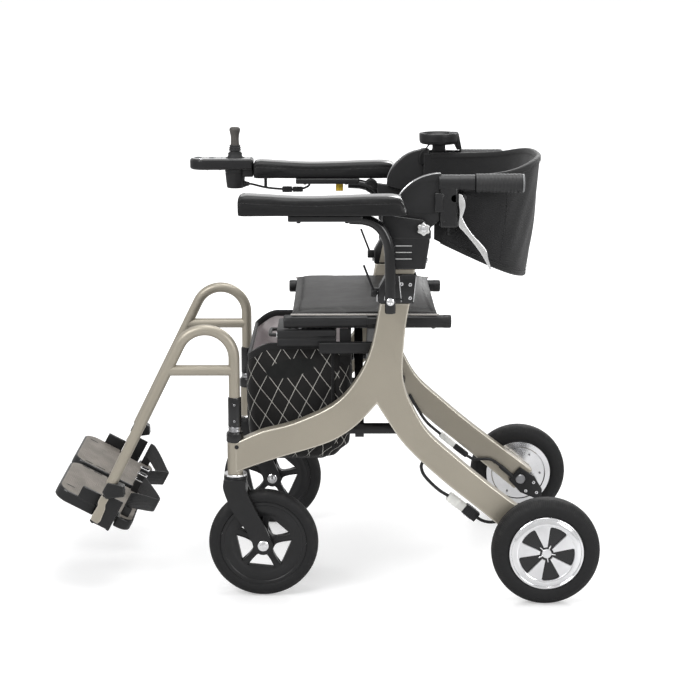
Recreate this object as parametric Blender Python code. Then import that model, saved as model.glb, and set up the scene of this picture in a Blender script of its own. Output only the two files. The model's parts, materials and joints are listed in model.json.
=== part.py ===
"""Electric walker: a folding, powered rollator with a seat, footrests and a joystick.

Metres. X is the rider's left, Y is rearward, Z is up. The origin is on the floor, under the
middle of the overall length and width.
"""

import math

import bmesh
import bpy
from mathutils import Matrix, Vector

# Fits
GAP = 0.0003
SIDES = (("left", 1), ("right", -1))

# Wheels
FRONT_WHEEL_RADIUS = 0.100
FRONT_TYRE_WIDTH = 0.030
FRONT_TYRE_HEIGHT = 0.022
FRONT_TRACK = 0.440
REAR_WHEEL_RADIUS = 0.098
REAR_TYRE_WIDTH = 0.045
REAR_TYRE_HEIGHT = 0.030
REAR_TYRE_CLEARANCE = 0.0085
WHEELBASE = 0.510
REAR_REACH = 0.2725
AXLE_RADIUS = 0.006
AXLE_BOLT_RADIUS = 0.004
SPOKES = 5
ARM_SLOPE = math.radians(-41)
BRACKET_REACH = 0.050
BRACKET_THICKNESS = 0.0077
LEAD_RADIUS = 0.003
WHEEL_SEGMENTS = 28

# Casters
CASTER_TRAIL = 0.050
HEAD_RADIUS = 0.014
HEAD_LENGTH = 0.059
HEAD_CLEARANCE = 0.030
STEM_PIN_RADIUS = 0.008
STEM_PIN_LENGTH = 0.028
FORK_NECK_RADIUS = 0.0213
FORK_NECK_LENGTH = 0.0075
FORK_BLADE = 0.0085
FORK_SIDE_CLEARANCE = 0.0035
FORK_TYRE_CLEARANCE = 0.004

# Side frames
FRAME_THICKNESS = 0.028
FRAME_EDGE = 0.0025
UPRIGHT_Y = 0.1275
UPRIGHT_TOP_Z = 0.5445
UPRIGHT_WIDTH = 0.052
UPRIGHT_LEAN = math.radians(11.5)

# Posts and collars
POST_EDGE_WALL = 0.003
POST_SIDE_WALL = 0.004
POST_LENGTH = 0.235
POST_EXTENSION = 0.0525
POCKET_SPARE = 0.005
COLLAR_HEIGHT = 0.053
COLLAR_WALL = 0.003

# Handle set
BRACKET_HEIGHT = 0.058
BRACKET_CAP = 0.014
TILT_SETBACK = 0.0485
TILT_RISE = 0.029
CHEEK_THICKNESS = 0.010
KNOB_RADIUS = 0.012
KNOB_THICKNESS = 0.011
KNOB_LOBES = 6
STUD_RADIUS = 0.003
SHELL_INSET = 0.0115
SHELL_THICKNESS = 0.020
SHELL_CLEARANCE = 0.0005
SHELL_REACH = 0.0845
HANDLE_OFFSET = 0.0015
HANDLE_RISE = 0.0775
HANDLE_SETBACK = 0.0315
HANDLE_TUBE_RADIUS = 0.015
HANDLE_SLEEVE_LENGTH = 0.0595
HANDLE_CORE_RADIUS = 0.011
GRIP_RADIUS = 0.0168
GRIP_LENGTH = 0.0865
GRIP_END_WALL = 0.008
LEVER_DROP = 0.0255
LEVER_CLEARANCE = 0.0012
LEVER_HUB_RADIUS = 0.0065
LEVER_WIDTH = 0.015
LEVER_PIN_RADIUS = 0.0025
BRAKE_BOX_DEPTH = 0.0293
BRAKE_BOX_HEIGHT = 0.0775

# Armrests
ARM_TUBE_RADIUS = 0.0095
ARM_KNOB_CLEARANCE = 0.0017
ARM_PIVOT_AHEAD = 0.0095
ARM_PIVOT_RISE = 0.010
ARM_RISE = 0.145
ARM_BOLT_RADIUS = 0.004
PAD_WIDTH = 0.060
PAD_OFFSET = 0.0235
PAD_LENGTH = 0.293
PAD_OVERHANG = 0.029
PAD_CROWN = 0.002
PAD_DRAW_IN = 0.0015
CARRIER_THICKNESS = 0.011
CARRIER_LENGTH = 0.1285
CARRIER_AHEAD = 0.049

# Cross brace
RAIL_INSET = 0.020
LOWER_RAIL_Z = 0.3045
RAIL_RISE = 0.1985
LOWER_RAIL_RADIUS = 0.010
SEAT_RAIL_RADIUS = 0.012
LOWER_RAIL_FRONT_Y = 0.004
LOWER_RAIL_LENGTH = 0.155
RAIL_LUG = 0.020
BRACE_DEPTH = 0.016
BRACE_SPACING = 0.006
BRACE_A_Y = 0.065
BRACE_HALF_HEIGHT = 0.010
BRACE_EYE_RADIUS = 0.016
BRACE_PIN_RADIUS = 0.006
BRACE_PIN_HEAD_RADIUS = 0.010

# Seat, bag, battery and backrest
SEAT_FRONT_Y = -0.0615
SEAT_LENGTH = 0.2715
SEAT_RAIL_FRONT_END = 0.0105
SEAT_RAIL_BACK_END = 0.018
SEAT_OVERHANG = 0.011
SEAT_EDGE_THICKNESS = 0.0075
SEAT_CROWN = 0.004
SEAT_DRAW_IN = 0.003
SEAT_MIDDLE_DEPTH = 0.008
BAG_RAIL_CLEARANCE = 0.021
BAG_BRACE_CLEARANCE = 0.0065
BAG_WALL = 0.004
BAG_LENGTH = 0.193
BAG_DEPTH = 0.2225
BATTERY_LENGTH = 0.107
BATTERY_WIDTH = 0.115
BATTERY_THICKNESS = 0.031
BATTERY_RAIL_CLEARANCE = 0.0025
BATTERY_FRAME_CLEARANCE = 0.016
BACKREST_REACH = 0.195
BACKREST_THICKNESS = 0.006
BACKREST_DEEPENING = 0.088
BACKREST_RISE = 0.017
BACKREST_LEAN = 0.024
CONSOLE_RADIUS = 0.039

# Joystick controller
CONTROL_LENGTH = 0.1285
CONTROL_HALF_WIDTH = 0.029
CONTROL_RISE = 0.0162
CONTROL_THICKNESS = 0.0225
STICK_AHEAD = 0.037
STICK_RADIUS = 0.0095
STICK_LENGTH = 0.0655
STICK_PIVOT_DEPTH = 0.003
BOOT_RADIUS = 0.0165
BOOT_DOME_RADIUS = 0.020
BOSS_DEPTH = 0.0385
BOSS_RADIUS = 0.021
BOSS_FOOT_RADIUS = 0.0175
BUTTON_RADIUS = 0.006
BUTTON_AHEAD = 0.075
ROCKER_AHEAD = 0.046
CABLE_RADIUS = 0.0022

# Footrests
FOOT_TUBE_RADIUS = 0.010
FOOT_LEAN = math.radians(26.5)
HOOP_RADIUS = 0.0515
HOOP_RISE = 0.154
LEG_END_Z = 0.214
CROSSBAR_DROP = 0.0222
CROSSBAR_RADIUS = 0.009
SLEEVE_WALL = 0.002
SLEEVE_RISE = 0.023
SLEEVE_LENGTH = 0.060
FOOT_COLLAR_WALL = 0.0055
SPIGOT_CLEARANCE = 0.006
PLATE_TILT = math.radians(28)
PLATE_LENGTH = 0.150
PLATE_THICKNESS = 0.020
PLATE_GAP = 0.020
PLATE_EDGE = 0.0025
PLATE_HINGE_INSET = 0.034
PLATE_HINGE_AHEAD = 0.0248
PLATE_HINGE_DROP = 0.082
PLATE_HINGE_TO_EDGE = 0.014
PLATE_FORWARD = 0.020
HINGE_PIN_RADIUS = 0.0028
KNUCKLE_RADIUS = 0.007
KNUCKLE_HALF_LENGTH = 0.012
STRAP_WIDTH = 0.022
STRAP_THICKNESS = 0.003

# Derived sizes of the wheels, casters and posts
FRONT_RIM_RADIUS = FRONT_WHEEL_RADIUS - FRONT_TYRE_HEIGHT
HUB_RADIUS = REAR_WHEEL_RADIUS - REAR_TYRE_HEIGHT
FORK_SLOT_WIDTH = FRONT_TYRE_WIDTH + 2 * FORK_SIDE_CLEARANCE
FORK_WIDTH = FORK_SLOT_WIDTH + 2 * FORK_BLADE
POST_WIDTH = UPRIGHT_WIDTH - 2 * POST_EDGE_WALL
POST_THICKNESS = FRAME_THICKNESS - 2 * POST_SIDE_WALL

# Derived places across the walker
FRAME_X = FRONT_TRACK / 2
FRAME_INNER_X = FRAME_X - FRAME_THICKNESS / 2
FRAME_OUTER_X = FRAME_X + FRAME_THICKNESS / 2
REAR_X = FRAME_OUTER_X + REAR_TYRE_CLEARANCE + REAR_TYRE_WIDTH / 2
SHELL_INNER_X = FRAME_X - SHELL_INSET
SHELL_OUTER_X = SHELL_INNER_X + SHELL_THICKNESS
HANDLE_X = FRAME_X + HANDLE_OFFSET
CHEEK_INNER_X = SHELL_OUTER_X + SHELL_CLEARANCE
CHEEK_OUTER_X = CHEEK_INNER_X + CHEEK_THICKNESS
ARM_TUBE_X = CHEEK_OUTER_X + GAP + KNOB_THICKNESS + ARM_KNOB_CLEARANCE + ARM_TUBE_RADIUS
PAD_X = ARM_TUBE_X + PAD_OFFSET
BRACE_X = FRAME_INNER_X - RAIL_INSET
BAG_HALF_WIDTH = BRACE_X - BAG_RAIL_CLEARANCE
BATTERY_OUTER_X = FRAME_INNER_X - BATTERY_FRAME_CLEARANCE
PLATE_HINGE_X = FRAME_X - PLATE_HINGE_INSET

# Derived heights
HEAD_BOTTOM_Z = 2 * FRONT_WHEEL_RADIUS + HEAD_CLEARANCE
HEAD_TOP_Z = HEAD_BOTTOM_Z + HEAD_LENGTH
FORK_TOP_Z = HEAD_BOTTOM_Z - FORK_NECK_LENGTH
COLLAR_TOP_Z = UPRIGHT_TOP_Z + COLLAR_HEIGHT
POST_TOP_Z = COLLAR_TOP_Z + POST_EXTENSION
POST_BOTTOM_Z = POST_TOP_Z - POST_LENGTH
BRACKET_TOP_Z = POST_TOP_Z + BRACKET_CAP
BRACKET_BOTTOM_Z = BRACKET_TOP_Z - BRACKET_HEIGHT
TILT_Z = POST_TOP_Z + TILT_RISE
HANDLE_Z = TILT_Z + HANDLE_RISE
LEVER_Z = HANDLE_Z - LEVER_DROP
ARM_PIVOT_Z = UPRIGHT_TOP_Z + ARM_PIVOT_RISE
ARM_RUN_Z = ARM_PIVOT_Z + ARM_RISE
PAD_BOTTOM_Z = ARM_RUN_Z + CARRIER_THICKNESS + GAP
CONTROL_BOTTOM_Z = PAD_BOTTOM_Z + CONTROL_RISE
CONTROL_TOP_Z = CONTROL_BOTTOM_Z + CONTROL_THICKNESS
STICK_PIVOT_Z = CONTROL_TOP_Z - STICK_PIVOT_DEPTH
SEAT_RAIL_Z = LOWER_RAIL_Z + RAIL_RISE
PIN_Z = (LOWER_RAIL_Z + SEAT_RAIL_Z) / 2
BATTERY_TOP_Z = SEAT_RAIL_Z - SEAT_RAIL_RADIUS - BATTERY_RAIL_CLEARANCE
BATTERY_BOTTOM_Z = BATTERY_TOP_Z - BATTERY_THICKNESS
SLEEVE_BOTTOM_Z = HEAD_TOP_Z + SLEEVE_RISE
SLEEVE_TOP_Z = SLEEVE_BOTTOM_Z + SLEEVE_LENGTH
HOOP_CENTRE_Z = HEAD_TOP_Z + HOOP_RISE
CROSSBAR_Z = HOOP_CENTRE_Z - CROSSBAR_DROP
PLATE_HINGE_Z = LEG_END_Z - PLATE_HINGE_DROP

# Derived places along the walker
REAR_AXLE_Y = UPRIGHT_Y + REAR_REACH
FRONT_AXLE_Y = REAR_AXLE_Y - WHEELBASE
HEAD_Y = FRONT_AXLE_Y - CASTER_TRAIL
TILT_Y = UPRIGHT_Y + TILT_SETBACK
HANDLE_START_Y = TILT_Y + HANDLE_SETBACK
HANDLE_SLEEVE_END_Y = HANDLE_START_Y + HANDLE_SLEEVE_LENGTH
GRIP_END_Y = HANDLE_SLEEVE_END_Y + GRIP_LENGTH
BRAKE_BOX_Y = HANDLE_START_Y + BRAKE_BOX_DEPTH
LEVER_Y = BRAKE_BOX_Y + LEVER_HUB_RADIUS + LEVER_CLEARANCE
ARM_PIVOT_Y = UPRIGHT_Y - ARM_PIVOT_AHEAD
CARRIER_BACK_Y = ARM_PIVOT_Y - CARRIER_AHEAD
CARRIER_FRONT_Y = CARRIER_BACK_Y - CARRIER_LENGTH
PAD_FRONT_Y = ARM_PIVOT_Y + PAD_OVERHANG - PAD_LENGTH
STICK_Y = PAD_FRONT_Y - STICK_AHEAD
BUTTON_Y = STICK_Y - BUTTON_AHEAD
ROCKER_Y = STICK_Y - ROCKER_AHEAD
LOWER_RAIL_BACK_Y = LOWER_RAIL_FRONT_Y + LOWER_RAIL_LENGTH
BRACE_B_Y = BRACE_A_Y + BRACE_DEPTH + BRACE_SPACING
SEAT_BACK_Y = SEAT_FRONT_Y + SEAT_LENGTH
SEAT_RAIL_FRONT_Y = SEAT_FRONT_Y - SEAT_RAIL_FRONT_END
SEAT_RAIL_BACK_Y = SEAT_BACK_Y + SEAT_RAIL_BACK_END
BAG_BACK_Y = BRACE_A_Y - BRACE_DEPTH / 2 - BAG_BRACE_CLEARANCE
BAG_STRAP_Y = BAG_BACK_Y - 0.0215
BATTERY_BACK_Y = BAG_STRAP_Y - 0.006
BATTERY_FRONT_Y = BATTERY_BACK_Y - BATTERY_LENGTH
HOOP_CENTRE_Y = HEAD_Y - HOOP_RADIUS
LEG_TOP_Y = HOOP_CENTRE_Y - HOOP_RADIUS * math.cos(FOOT_LEAN)
LEG_TOP_Z = HOOP_CENTRE_Z + HOOP_RADIUS * math.sin(FOOT_LEAN)
LEG_END_Y = LEG_TOP_Y - (LEG_TOP_Z - LEG_END_Z) * math.tan(FOOT_LEAN)
PLATE_HINGE_Y = LEG_END_Y - PLATE_HINGE_AHEAD


def material(name, colour, roughness, metallic):
    """A plain surface of one colour."""
    made = bpy.data.materials.new(name)
    made.use_nodes = True
    shader = made.node_tree.nodes["Principled BSDF"]
    shader.inputs["Base Color"].default_value = (*colour, 1.0)
    shader.inputs["Roughness"].default_value = roughness
    shader.inputs["Metallic"].default_value = metallic
    return made


def new_object(name, bm, surface):
    """Turn a finished bmesh into a shaded, linked object."""
    bmesh.ops.remove_doubles(bm, verts=bm.verts, dist=1e-6)
    bmesh.ops.recalc_face_normals(bm, faces=bm.faces)
    mesh = bpy.data.meshes.new(name)
    bm.to_mesh(mesh)
    bm.free()
    mesh.materials.append(surface)
    mesh.shade_smooth()
    mesh.set_sharp_from_angle(angle=math.radians(35))
    made = bpy.data.objects.new(name, mesh)
    bpy.context.scene.collection.objects.link(made)
    return made


def spread(axis, a, b, c):
    """A point from two outline coordinates and a place along the axis."""
    if axis == "X":
        return Vector((c, a, b))
    if axis == "Y":
        return Vector((a, c, b))
    return Vector((a, b, c))


def extrude(name, outline, ends, axis, surface):
    """A prism of an outline between two places along an axis."""
    low, high = min(ends), max(ends)
    bm = bmesh.new()
    face = bm.faces.new([bm.verts.new(spread(axis, a, b, low)) for a, b in outline])
    grown = bmesh.ops.extrude_face_region(bm, geom=[face])["geom"]
    corners = [part for part in grown if isinstance(part, bmesh.types.BMVert)]
    bmesh.ops.translate(bm, vec=spread(axis, 0, 0, high - low), verts=corners)
    return new_object(name, bm, surface)


def box(name, x, y, z, surface):
    """A box between two places on each axis."""
    outline = [(x[0], y[0]), (x[1], y[0]), (x[1], y[1]), (x[0], y[1])]
    return extrude(name, outline, z, "Z", surface)


def loft(name, rings, surface):
    """A solid through rings of as many points each, capped at both ends."""
    bm = bmesh.new()
    made = [[bm.verts.new(corner) for corner in ring] for ring in rings]
    for a, b in zip(made, made[1:]):
        for i in range(len(a)):
            following = (i + 1) % len(a)
            bm.faces.new((a[i], a[following], b[following], b[i]))
    bm.faces.new(made[0])
    bm.faces.new(made[-1])
    return new_object(name, bm, surface)


def turn(name, profile, centre, axis, surface, segments=16, closed=False):
    """A turned solid from (radius, distance along the axis) points."""
    across = Vector((0, 0, -1)) if axis != "Z" else Vector((1, 0, 0))
    along = {"X": Vector((1, 0, 0)), "Y": Vector((0, 1, 0)), "Z": Vector((0, 0, 1))}[axis]
    bm = bmesh.new()
    points = [bm.verts.new(Vector(centre) + across * r + along * d) for r, d in profile]
    pairs = list(zip(points, points[1:]))
    if closed:
        pairs.append((points[-1], points[0]))
    edges = [bm.edges.new(pair) for pair in pairs]
    bmesh.ops.spin(
        bm, geom=points + edges, cent=centre, axis=along, angle=2 * math.pi, steps=segments, use_merge=True
    )
    return new_object(name, bm, surface)


def rod(name, radius, start, end, surface, segments=16):
    """A round bar along one axis, from one point to another."""
    start, end = Vector(start), Vector(end)
    span = end - start
    axis = "XYZ"[max(range(3), key=lambda i: abs(span[i]))]
    length = span["XYZ".index(axis)]
    profile = [(0, 0), (radius, 0), (radius, length), (0, length)]
    return turn(name, profile, start, axis, surface, segments)


def tube(name, points, radius, surface, resolution=2):
    """A round tube swept along points, as a closed mesh."""
    curve = bpy.data.curves.new(name + " path", "CURVE")
    curve.dimensions = "3D"
    spline = curve.splines.new("POLY")
    spline.points.add(len(points) - 1)
    for target, point in zip(spline.points, points):
        target.co = (*point, 1.0)
    curve.bevel_depth = radius
    curve.bevel_resolution = resolution
    curve.use_fill_caps = True
    holder = bpy.data.objects.new(name + " path", curve)
    bpy.context.scene.collection.objects.link(holder)
    swept = holder.evaluated_get(bpy.context.evaluated_depsgraph_get())
    bm = bmesh.new()
    bm.from_mesh(swept.to_mesh())
    swept.to_mesh_clear()
    bpy.data.objects.remove(holder)
    return new_object(name, bm, surface)


def smooth(points, steps=3):
    """A smooth curve through the points, with some steps between each pair."""
    points = [Vector(point) for point in points]
    padded = [2 * points[0] - points[1], *points, 2 * points[-1] - points[-2]]
    curve = []
    for a, b, c, d in zip(padded, padded[1:], padded[2:], padded[3:]):
        for step in range(steps):
            t = step / steps
            bend = (2 * a - 5 * b + 4 * c - d) * t**2 + (3 * b - a - 3 * c + d) * t**3
            curve.append(0.5 * (2 * b + (c - a) * t + bend))
    return [*curve, points[-1]]


def arc(centre, radius, start, end, steps):
    """Points on an arc, in degrees."""
    turns = [math.radians(start + (end - start) * i / steps) for i in range(steps + 1)]
    return [Vector((centre[0] + radius * math.cos(t), centre[1] + radius * math.sin(t))) for t in turns]


def bevel(target, width, segments=1):
    """Round the edges of a solid."""
    rounding = target.modifiers.new("rounded edges", "BEVEL")
    rounding.width = width
    rounding.segments = segments
    rounding.limit_method = "ANGLE"
    rounding.angle_limit = math.radians(35)
    return target


def combine(target, operation, others):
    """Join or cut a solid by others, which stay hidden."""
    for other in others:
        change = target.modifiers.new(other.name, "BOOLEAN")
        change.operation = operation
        change.object = other
        other.hide_render = True
        other.display_type = "WIRE"
    return target


def join(target, *others):
    return combine(target, "UNION", others)


def cut(target, *others):
    return combine(target, "DIFFERENCE", others)


def joint(name, place, parent=None):
    """An empty on a joint's axis, carried by its parent."""
    made = bpy.data.objects.new(name, None)
    made.empty_display_size = 0.02
    bpy.context.scene.collection.objects.link(made)
    made["place"] = tuple(place)
    made.parent = parent
    made.location = Vector(place) - (Vector(parent["place"]) if parent else Vector())
    return made


def carry(holder, *pieces):
    """Put pieces on an empty, with their origins on its axis."""
    for piece in pieces:
        piece.data.transform(Matrix.Translation(-Vector(holder["place"])))
        piece.parent = holder


def upright_y(z):
    """The leaning centre line of the upright and its post."""
    return UPRIGHT_Y + (z - UPRIGHT_TOP_Z) * math.tan(UPRIGHT_LEAN)


def leaning_box(name, side, width, thickness, bottom, top, surface):
    """A bar of rectangular section along the leaning centre line."""
    outline = [
        (upright_y(bottom) - width / 2, bottom),
        (upright_y(bottom) + width / 2, bottom),
        (upright_y(top) + width / 2, top),
        (upright_y(top) - width / 2, top),
    ]
    ends = (side * (FRAME_X - thickness / 2), side * (FRAME_X + thickness / 2))
    return extrude(name, outline, ends, "X", surface)


def post_space(name, side, bottom, top):
    """The room that the post needs to slide in, as a cutter."""
    return leaning_box(name, side, POST_WIDTH + 2 * GAP, POST_THICKNESS + 2 * GAP, bottom, top, BLACK)


def side_frame(name, side):
    """The thick Y plate with its head tube, post pocket and axle hole."""

    def head(y, z):
        return (HEAD_Y + y, HEAD_TOP_Z + z)

    def top(y, z):
        return (UPRIGHT_Y + y, UPRIGHT_TOP_Z + z)

    def rear(y, z):
        return (REAR_AXLE_Y + y, REAR_WHEEL_RADIUS + z)

    half = UPRIGHT_WIDTH / 2
    crotch = top(-0.0318, -0.1829)
    front_upper = [head(0, 0), head(0.048, 0.021), head(0.107, 0.037), head(0.1755, 0.069)]
    front_upper += [top(-0.0725, -0.1455), top(-0.0436, -0.0865), top(-half, 0)]
    rear_upper = [top(half, 0), top(0.0185, -0.0465), top(0.014, -0.1185), top(0.0195, -0.1565)]
    rear_upper += [top(0.0329, -0.1895), rear(-0.2120, 0.2110), rear(-0.1615, 0.164)]
    rear_upper += [rear(-0.093, 0.1065), rear(0.026, 0.015)]
    rear_lower = [rear(-0.011, -0.024), rear(-0.109, 0.0585), rear(-0.1905, 0.1255)]
    rear_lower += [rear(-0.2545, 0.188), rear(-0.291, 0.242), crotch]
    front_lower = [crotch, head(0.220, 0.034), head(0.1806, 0.0068), head(0.138, -0.0095)]
    front_lower += [head(0.082, -0.026), head(0.029, -0.0438), head(0, -0.0555)]
    outline = smooth(front_upper, 2) + smooth(rear_upper, 2)
    outline += smooth(rear_lower, 2)[:-1] + smooth(front_lower, 2)
    ends = (side * FRAME_INNER_X, side * FRAME_OUTER_X)
    plate = bevel(extrude(name, outline, ends, "X", CHAMPAGNE), FRAME_EDGE)
    axis_x = side * FRAME_X
    tube_top = (axis_x, HEAD_Y, HEAD_TOP_Z + COLLAR_WALL)
    tube_bottom = (axis_x, HEAD_Y, HEAD_BOTTOM_Z)
    head_tube = rod(name + " head tube", HEAD_RADIUS, tube_bottom, tube_top, CHAMPAGNE)
    pin_top = HEAD_BOTTOM_Z + STEM_PIN_LENGTH
    stem_bore = rod(
        name + " stem bore",
        STEM_PIN_RADIUS + GAP,
        (axis_x, HEAD_Y, HEAD_BOTTOM_Z - GAP),
        (axis_x, HEAD_Y, pin_top + GAP),
        CHAMPAGNE,
    )
    spigot_bore = rod(
        name + " spigot bore",
        FOOT_TUBE_RADIUS + GAP,
        (axis_x, HEAD_Y, pin_top + SPIGOT_CLEARANCE - GAP),
        (axis_x, HEAD_Y, HEAD_TOP_Z + HEAD_RADIUS),
        CHAMPAGNE,
    )
    seat = rod(
        name + " collar seat",
        FOOT_TUBE_RADIUS + FOOT_COLLAR_WALL + 0.001,
        (axis_x, HEAD_Y, HEAD_TOP_Z),
        (axis_x, HEAD_Y, HEAD_TOP_Z + 2 * HEAD_RADIUS),
        CHAMPAGNE,
        24,
    )
    pocket = post_space(name + " pocket", side, POST_BOTTOM_Z - POCKET_SPARE, UPRIGHT_TOP_Z + COLLAR_WALL)
    axle_hole = rod(
        name + " axle hole",
        AXLE_RADIUS + GAP,
        (side * (FRAME_INNER_X - COLLAR_WALL), REAR_AXLE_Y, REAR_WHEEL_RADIUS),
        (side * (FRAME_OUTER_X + COLLAR_WALL), REAR_AXLE_Y, REAR_WHEEL_RADIUS),
        CHAMPAGNE,
    )
    return cut(join(plate, head_tube), seat, stem_bore, spigot_bore, pocket, axle_hole)


def caster_fork(name, side):
    """The trailing fork with its crown, stem pin and axle bolt."""
    x = side * FRAME_X
    foot = 0.017
    crown = FORK_NECK_RADIUS - 0.0008
    front = [
        (HEAD_Y - crown, FORK_TOP_Z),
        (HEAD_Y - crown, FORK_TOP_Z - 0.018),
        (HEAD_Y - 0.0055, FORK_TOP_Z - 0.0565),
        (FRONT_AXLE_Y - 0.029, FRONT_WHEEL_RADIUS + 0.026),
    ]
    back = [
        (FRONT_AXLE_Y + 0.003, FRONT_WHEEL_RADIUS + 0.036),
        (FRONT_AXLE_Y - 0.0125, FORK_TOP_Z - 0.0565),
        (HEAD_Y + crown, FORK_TOP_Z - 0.018),
        (HEAD_Y + crown, FORK_TOP_Z),
    ]
    toe = arc((FRONT_AXLE_Y, FRONT_WHEEL_RADIUS), foot, 190, 370, 6)
    outline = smooth([*front, toe[0]], 2)[:-1] + toe + smooth([toe[-1], *back], 2)[1:]
    half = FORK_WIDTH / 2
    fork = extrude(name, outline, (x - half, x + half), "X", BLACK)
    axle = (x, FRONT_AXLE_Y, FRONT_WHEEL_RADIUS)
    inner = FORK_SLOT_WIDTH / 2
    slot_radius = FRONT_WHEEL_RADIUS + FORK_TYRE_CLEARANCE
    slot = turn(
        name + " wheel slot",
        [(0, -inner), (slot_radius, -inner), (slot_radius, inner), (0, inner)],
        axle,
        "X",
        BLACK,
        WHEEL_SEGMENTS,
    )
    neck_top = HEAD_BOTTOM_Z - GAP
    pin_top = HEAD_BOTTOM_Z + STEM_PIN_LENGTH
    neck = turn(
        name + " neck",
        [
            (0, FORK_TOP_Z - 0.004),
            (FORK_NECK_RADIUS, FORK_TOP_Z - 0.004),
            (FORK_NECK_RADIUS, neck_top),
            (STEM_PIN_RADIUS, neck_top),
            (STEM_PIN_RADIUS, pin_top),
            (0, pin_top),
        ],
        (x, HEAD_Y, 0),
        "Z",
        BLACK,
    )
    head = half + 0.004
    bolt = turn(
        name + " axle bolt",
        [
            (0, -head),
            (0.007, -head),
            (0.007, -half + 0.001),
            (AXLE_BOLT_RADIUS, -half + 0.001),
            (AXLE_BOLT_RADIUS, half - 0.001),
            (0.007, half - 0.001),
            (0.007, head),
            (0, head),
        ],
        axle,
        "X",
        BLACK,
        12,
    )
    return join(cut(fork, slot), neck, bolt)


def petals(name, centre, side, near, far, half_angle, depth, surface):
    """Rounded openings spaced round a wheel's axis, as one cutter."""
    bm = bmesh.new()
    for index in range(SPOKES):
        middle = 90 + 360 * index / SPOKES
        outer = arc((0, 0), far, middle - half_angle, middle + half_angle, 3)
        inner = arc((0, 0), near, middle + half_angle * 0.45, middle - half_angle * 0.45, 1)
        low, high = sorted((side * depth[0], side * depth[1]))
        corners = [bm.verts.new(Vector(centre) + Vector((low, p[0], p[1]))) for p in outer + inner]
        grown = bmesh.ops.extrude_face_region(bm, geom=[bm.faces.new(corners)])["geom"]
        moved = [part for part in grown if isinstance(part, bmesh.types.BMVert)]
        bmesh.ops.translate(bm, vec=(high - low, 0, 0), verts=moved)
    return new_object(name, bm, surface)


def front_wheel(side_name, side):
    """A five-spoked rim on its bolt, and its tyre."""
    centre = (side * FRAME_X, FRONT_AXLE_Y, FRONT_WHEEL_RADIUS)
    hub = FORK_SLOT_WIDTH / 2 - GAP
    lip = FRONT_TYRE_WIDTH / 2 - 0.003
    web = 0.0065
    rim = FRONT_RIM_RADIUS - GAP
    bore = AXLE_BOLT_RADIUS + GAP
    profile = [(bore, -hub), (0.016, -hub), (0.017, -web), (rim - 0.011, -web), (rim, -lip)]
    profile += [(r, -d) for r, d in reversed(profile)]
    wheel = turn(side_name + "_front_rim", profile, centre, "X", BLACK, WHEEL_SEGMENTS, closed=True)
    openings = petals(
        wheel.name + " openings", centre, side, 0.027, rim - 0.013, 25, (-0.02, 0.02), BLACK
    )
    cut(wheel, openings)
    half = FRONT_TYRE_WIDTH / 2
    tread = FRONT_WHEEL_RADIUS
    profile = [(FRONT_RIM_RADIUS, -half + 0.0025), (FRONT_RIM_RADIUS + 0.006, -half), (tread - 0.009, -half)]
    profile += [(tread, -half + 0.0085)]
    profile += [(r, -d) for r, d in reversed(profile)]
    tyre = turn(side_name + "_front_tyre", profile, centre, "X", RUBBER, WHEEL_SEGMENTS, closed=True)
    return wheel, tyre


def rear_wheel(side_name, side):
    """A hub motor with a blind axle bore, and its tyre."""
    centre = (side * REAR_X, REAR_AXLE_Y, REAR_WHEEL_RADIUS)
    face = REAR_TYRE_WIDTH / 2
    bore = AXLE_RADIUS + GAP
    profile = [
        (0, face + 0.001),
        (HUB_RADIUS - 0.006, face - 0.001),
        (HUB_RADIUS - 0.004, face + 0.0005),
        (HUB_RADIUS - GAP, face - 0.0015),
        (HUB_RADIUS - GAP, -face + 0.0015),
        (0.020, -face - 0.001),
        (bore, -face - 0.001),
        (bore, 0.012),
        (0, 0.012),
    ]
    profile = [(r, side * d) for r, d in profile]
    motor = turn(side_name + "_hub_motor", profile, centre, "X", SILVER, WHEEL_SEGMENTS)
    depth = (face - 0.005, face + 0.01)
    pockets = petals(motor.name + " pockets", centre, side, 0.022, HUB_RADIUS - 0.016, 22, depth, SILVER)
    cut(motor, pockets)
    tread = REAR_WHEEL_RADIUS
    profile = [(HUB_RADIUS, -face + 0.004), (HUB_RADIUS + 0.007, -face), (tread - 0.011, -face)]
    profile += [(tread, -face + 0.0105)]
    profile += [(r, -d) for r, d in reversed(profile)]
    tyre = turn(side_name + "_rear_tyre", profile, centre, "X", RUBBER, WHEEL_SEGMENTS, closed=True)
    return motor, tyre


def arm_point(along, across):
    """A place near the rear axle, measured along and across the rear arm."""
    return (
        REAR_AXLE_Y + along * math.cos(ARM_SLOPE) - across * math.sin(ARM_SLOPE),
        REAR_WHEEL_RADIUS + along * math.sin(ARM_SLOPE) + across * math.cos(ARM_SLOPE),
    )


def motor_bracket(name, side):
    """The plate on the inside of the arm's end, with the fixed axle."""
    shape = [(-BRACKET_REACH, -0.018), (0.020, -0.022), (0.050, -0.012), (0.058, 0), (0.050, 0.012)]
    shape += [(0.020, 0.022), (-BRACKET_REACH, 0.018)]
    outline = [arm_point(along, across) for along, across in shape]
    outer = FRAME_INNER_X - GAP
    inner = outer - BRACKET_THICKNESS
    plate = bevel(extrude(name, outline, (side * inner, side * outer), "X", BLACK), 0.0015)
    start = (side * (outer - 0.004), REAR_AXLE_Y, REAR_WHEEL_RADIUS)
    end = (side * (REAR_X + 0.012 - GAP), REAR_AXLE_Y, REAR_WHEEL_RADIUS)
    return join(plate, rod(name + " axle", AXLE_RADIUS, start, end, SILVER))


def dogbone(start, end, eye, half, steps=8):
    """A bar outline with round eyes at both ends."""
    start, end = Vector(start), Vector(end)
    heading = math.degrees(math.atan2(end.y - start.y, end.x - start.x))
    open_angle = math.degrees(math.asin(half / eye))
    far = arc(end, eye, heading - 180 + open_angle, heading + 180 - open_angle, steps)
    near = arc(start, eye, heading + open_angle, heading + 360 - open_angle, steps)
    return far + near


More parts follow.
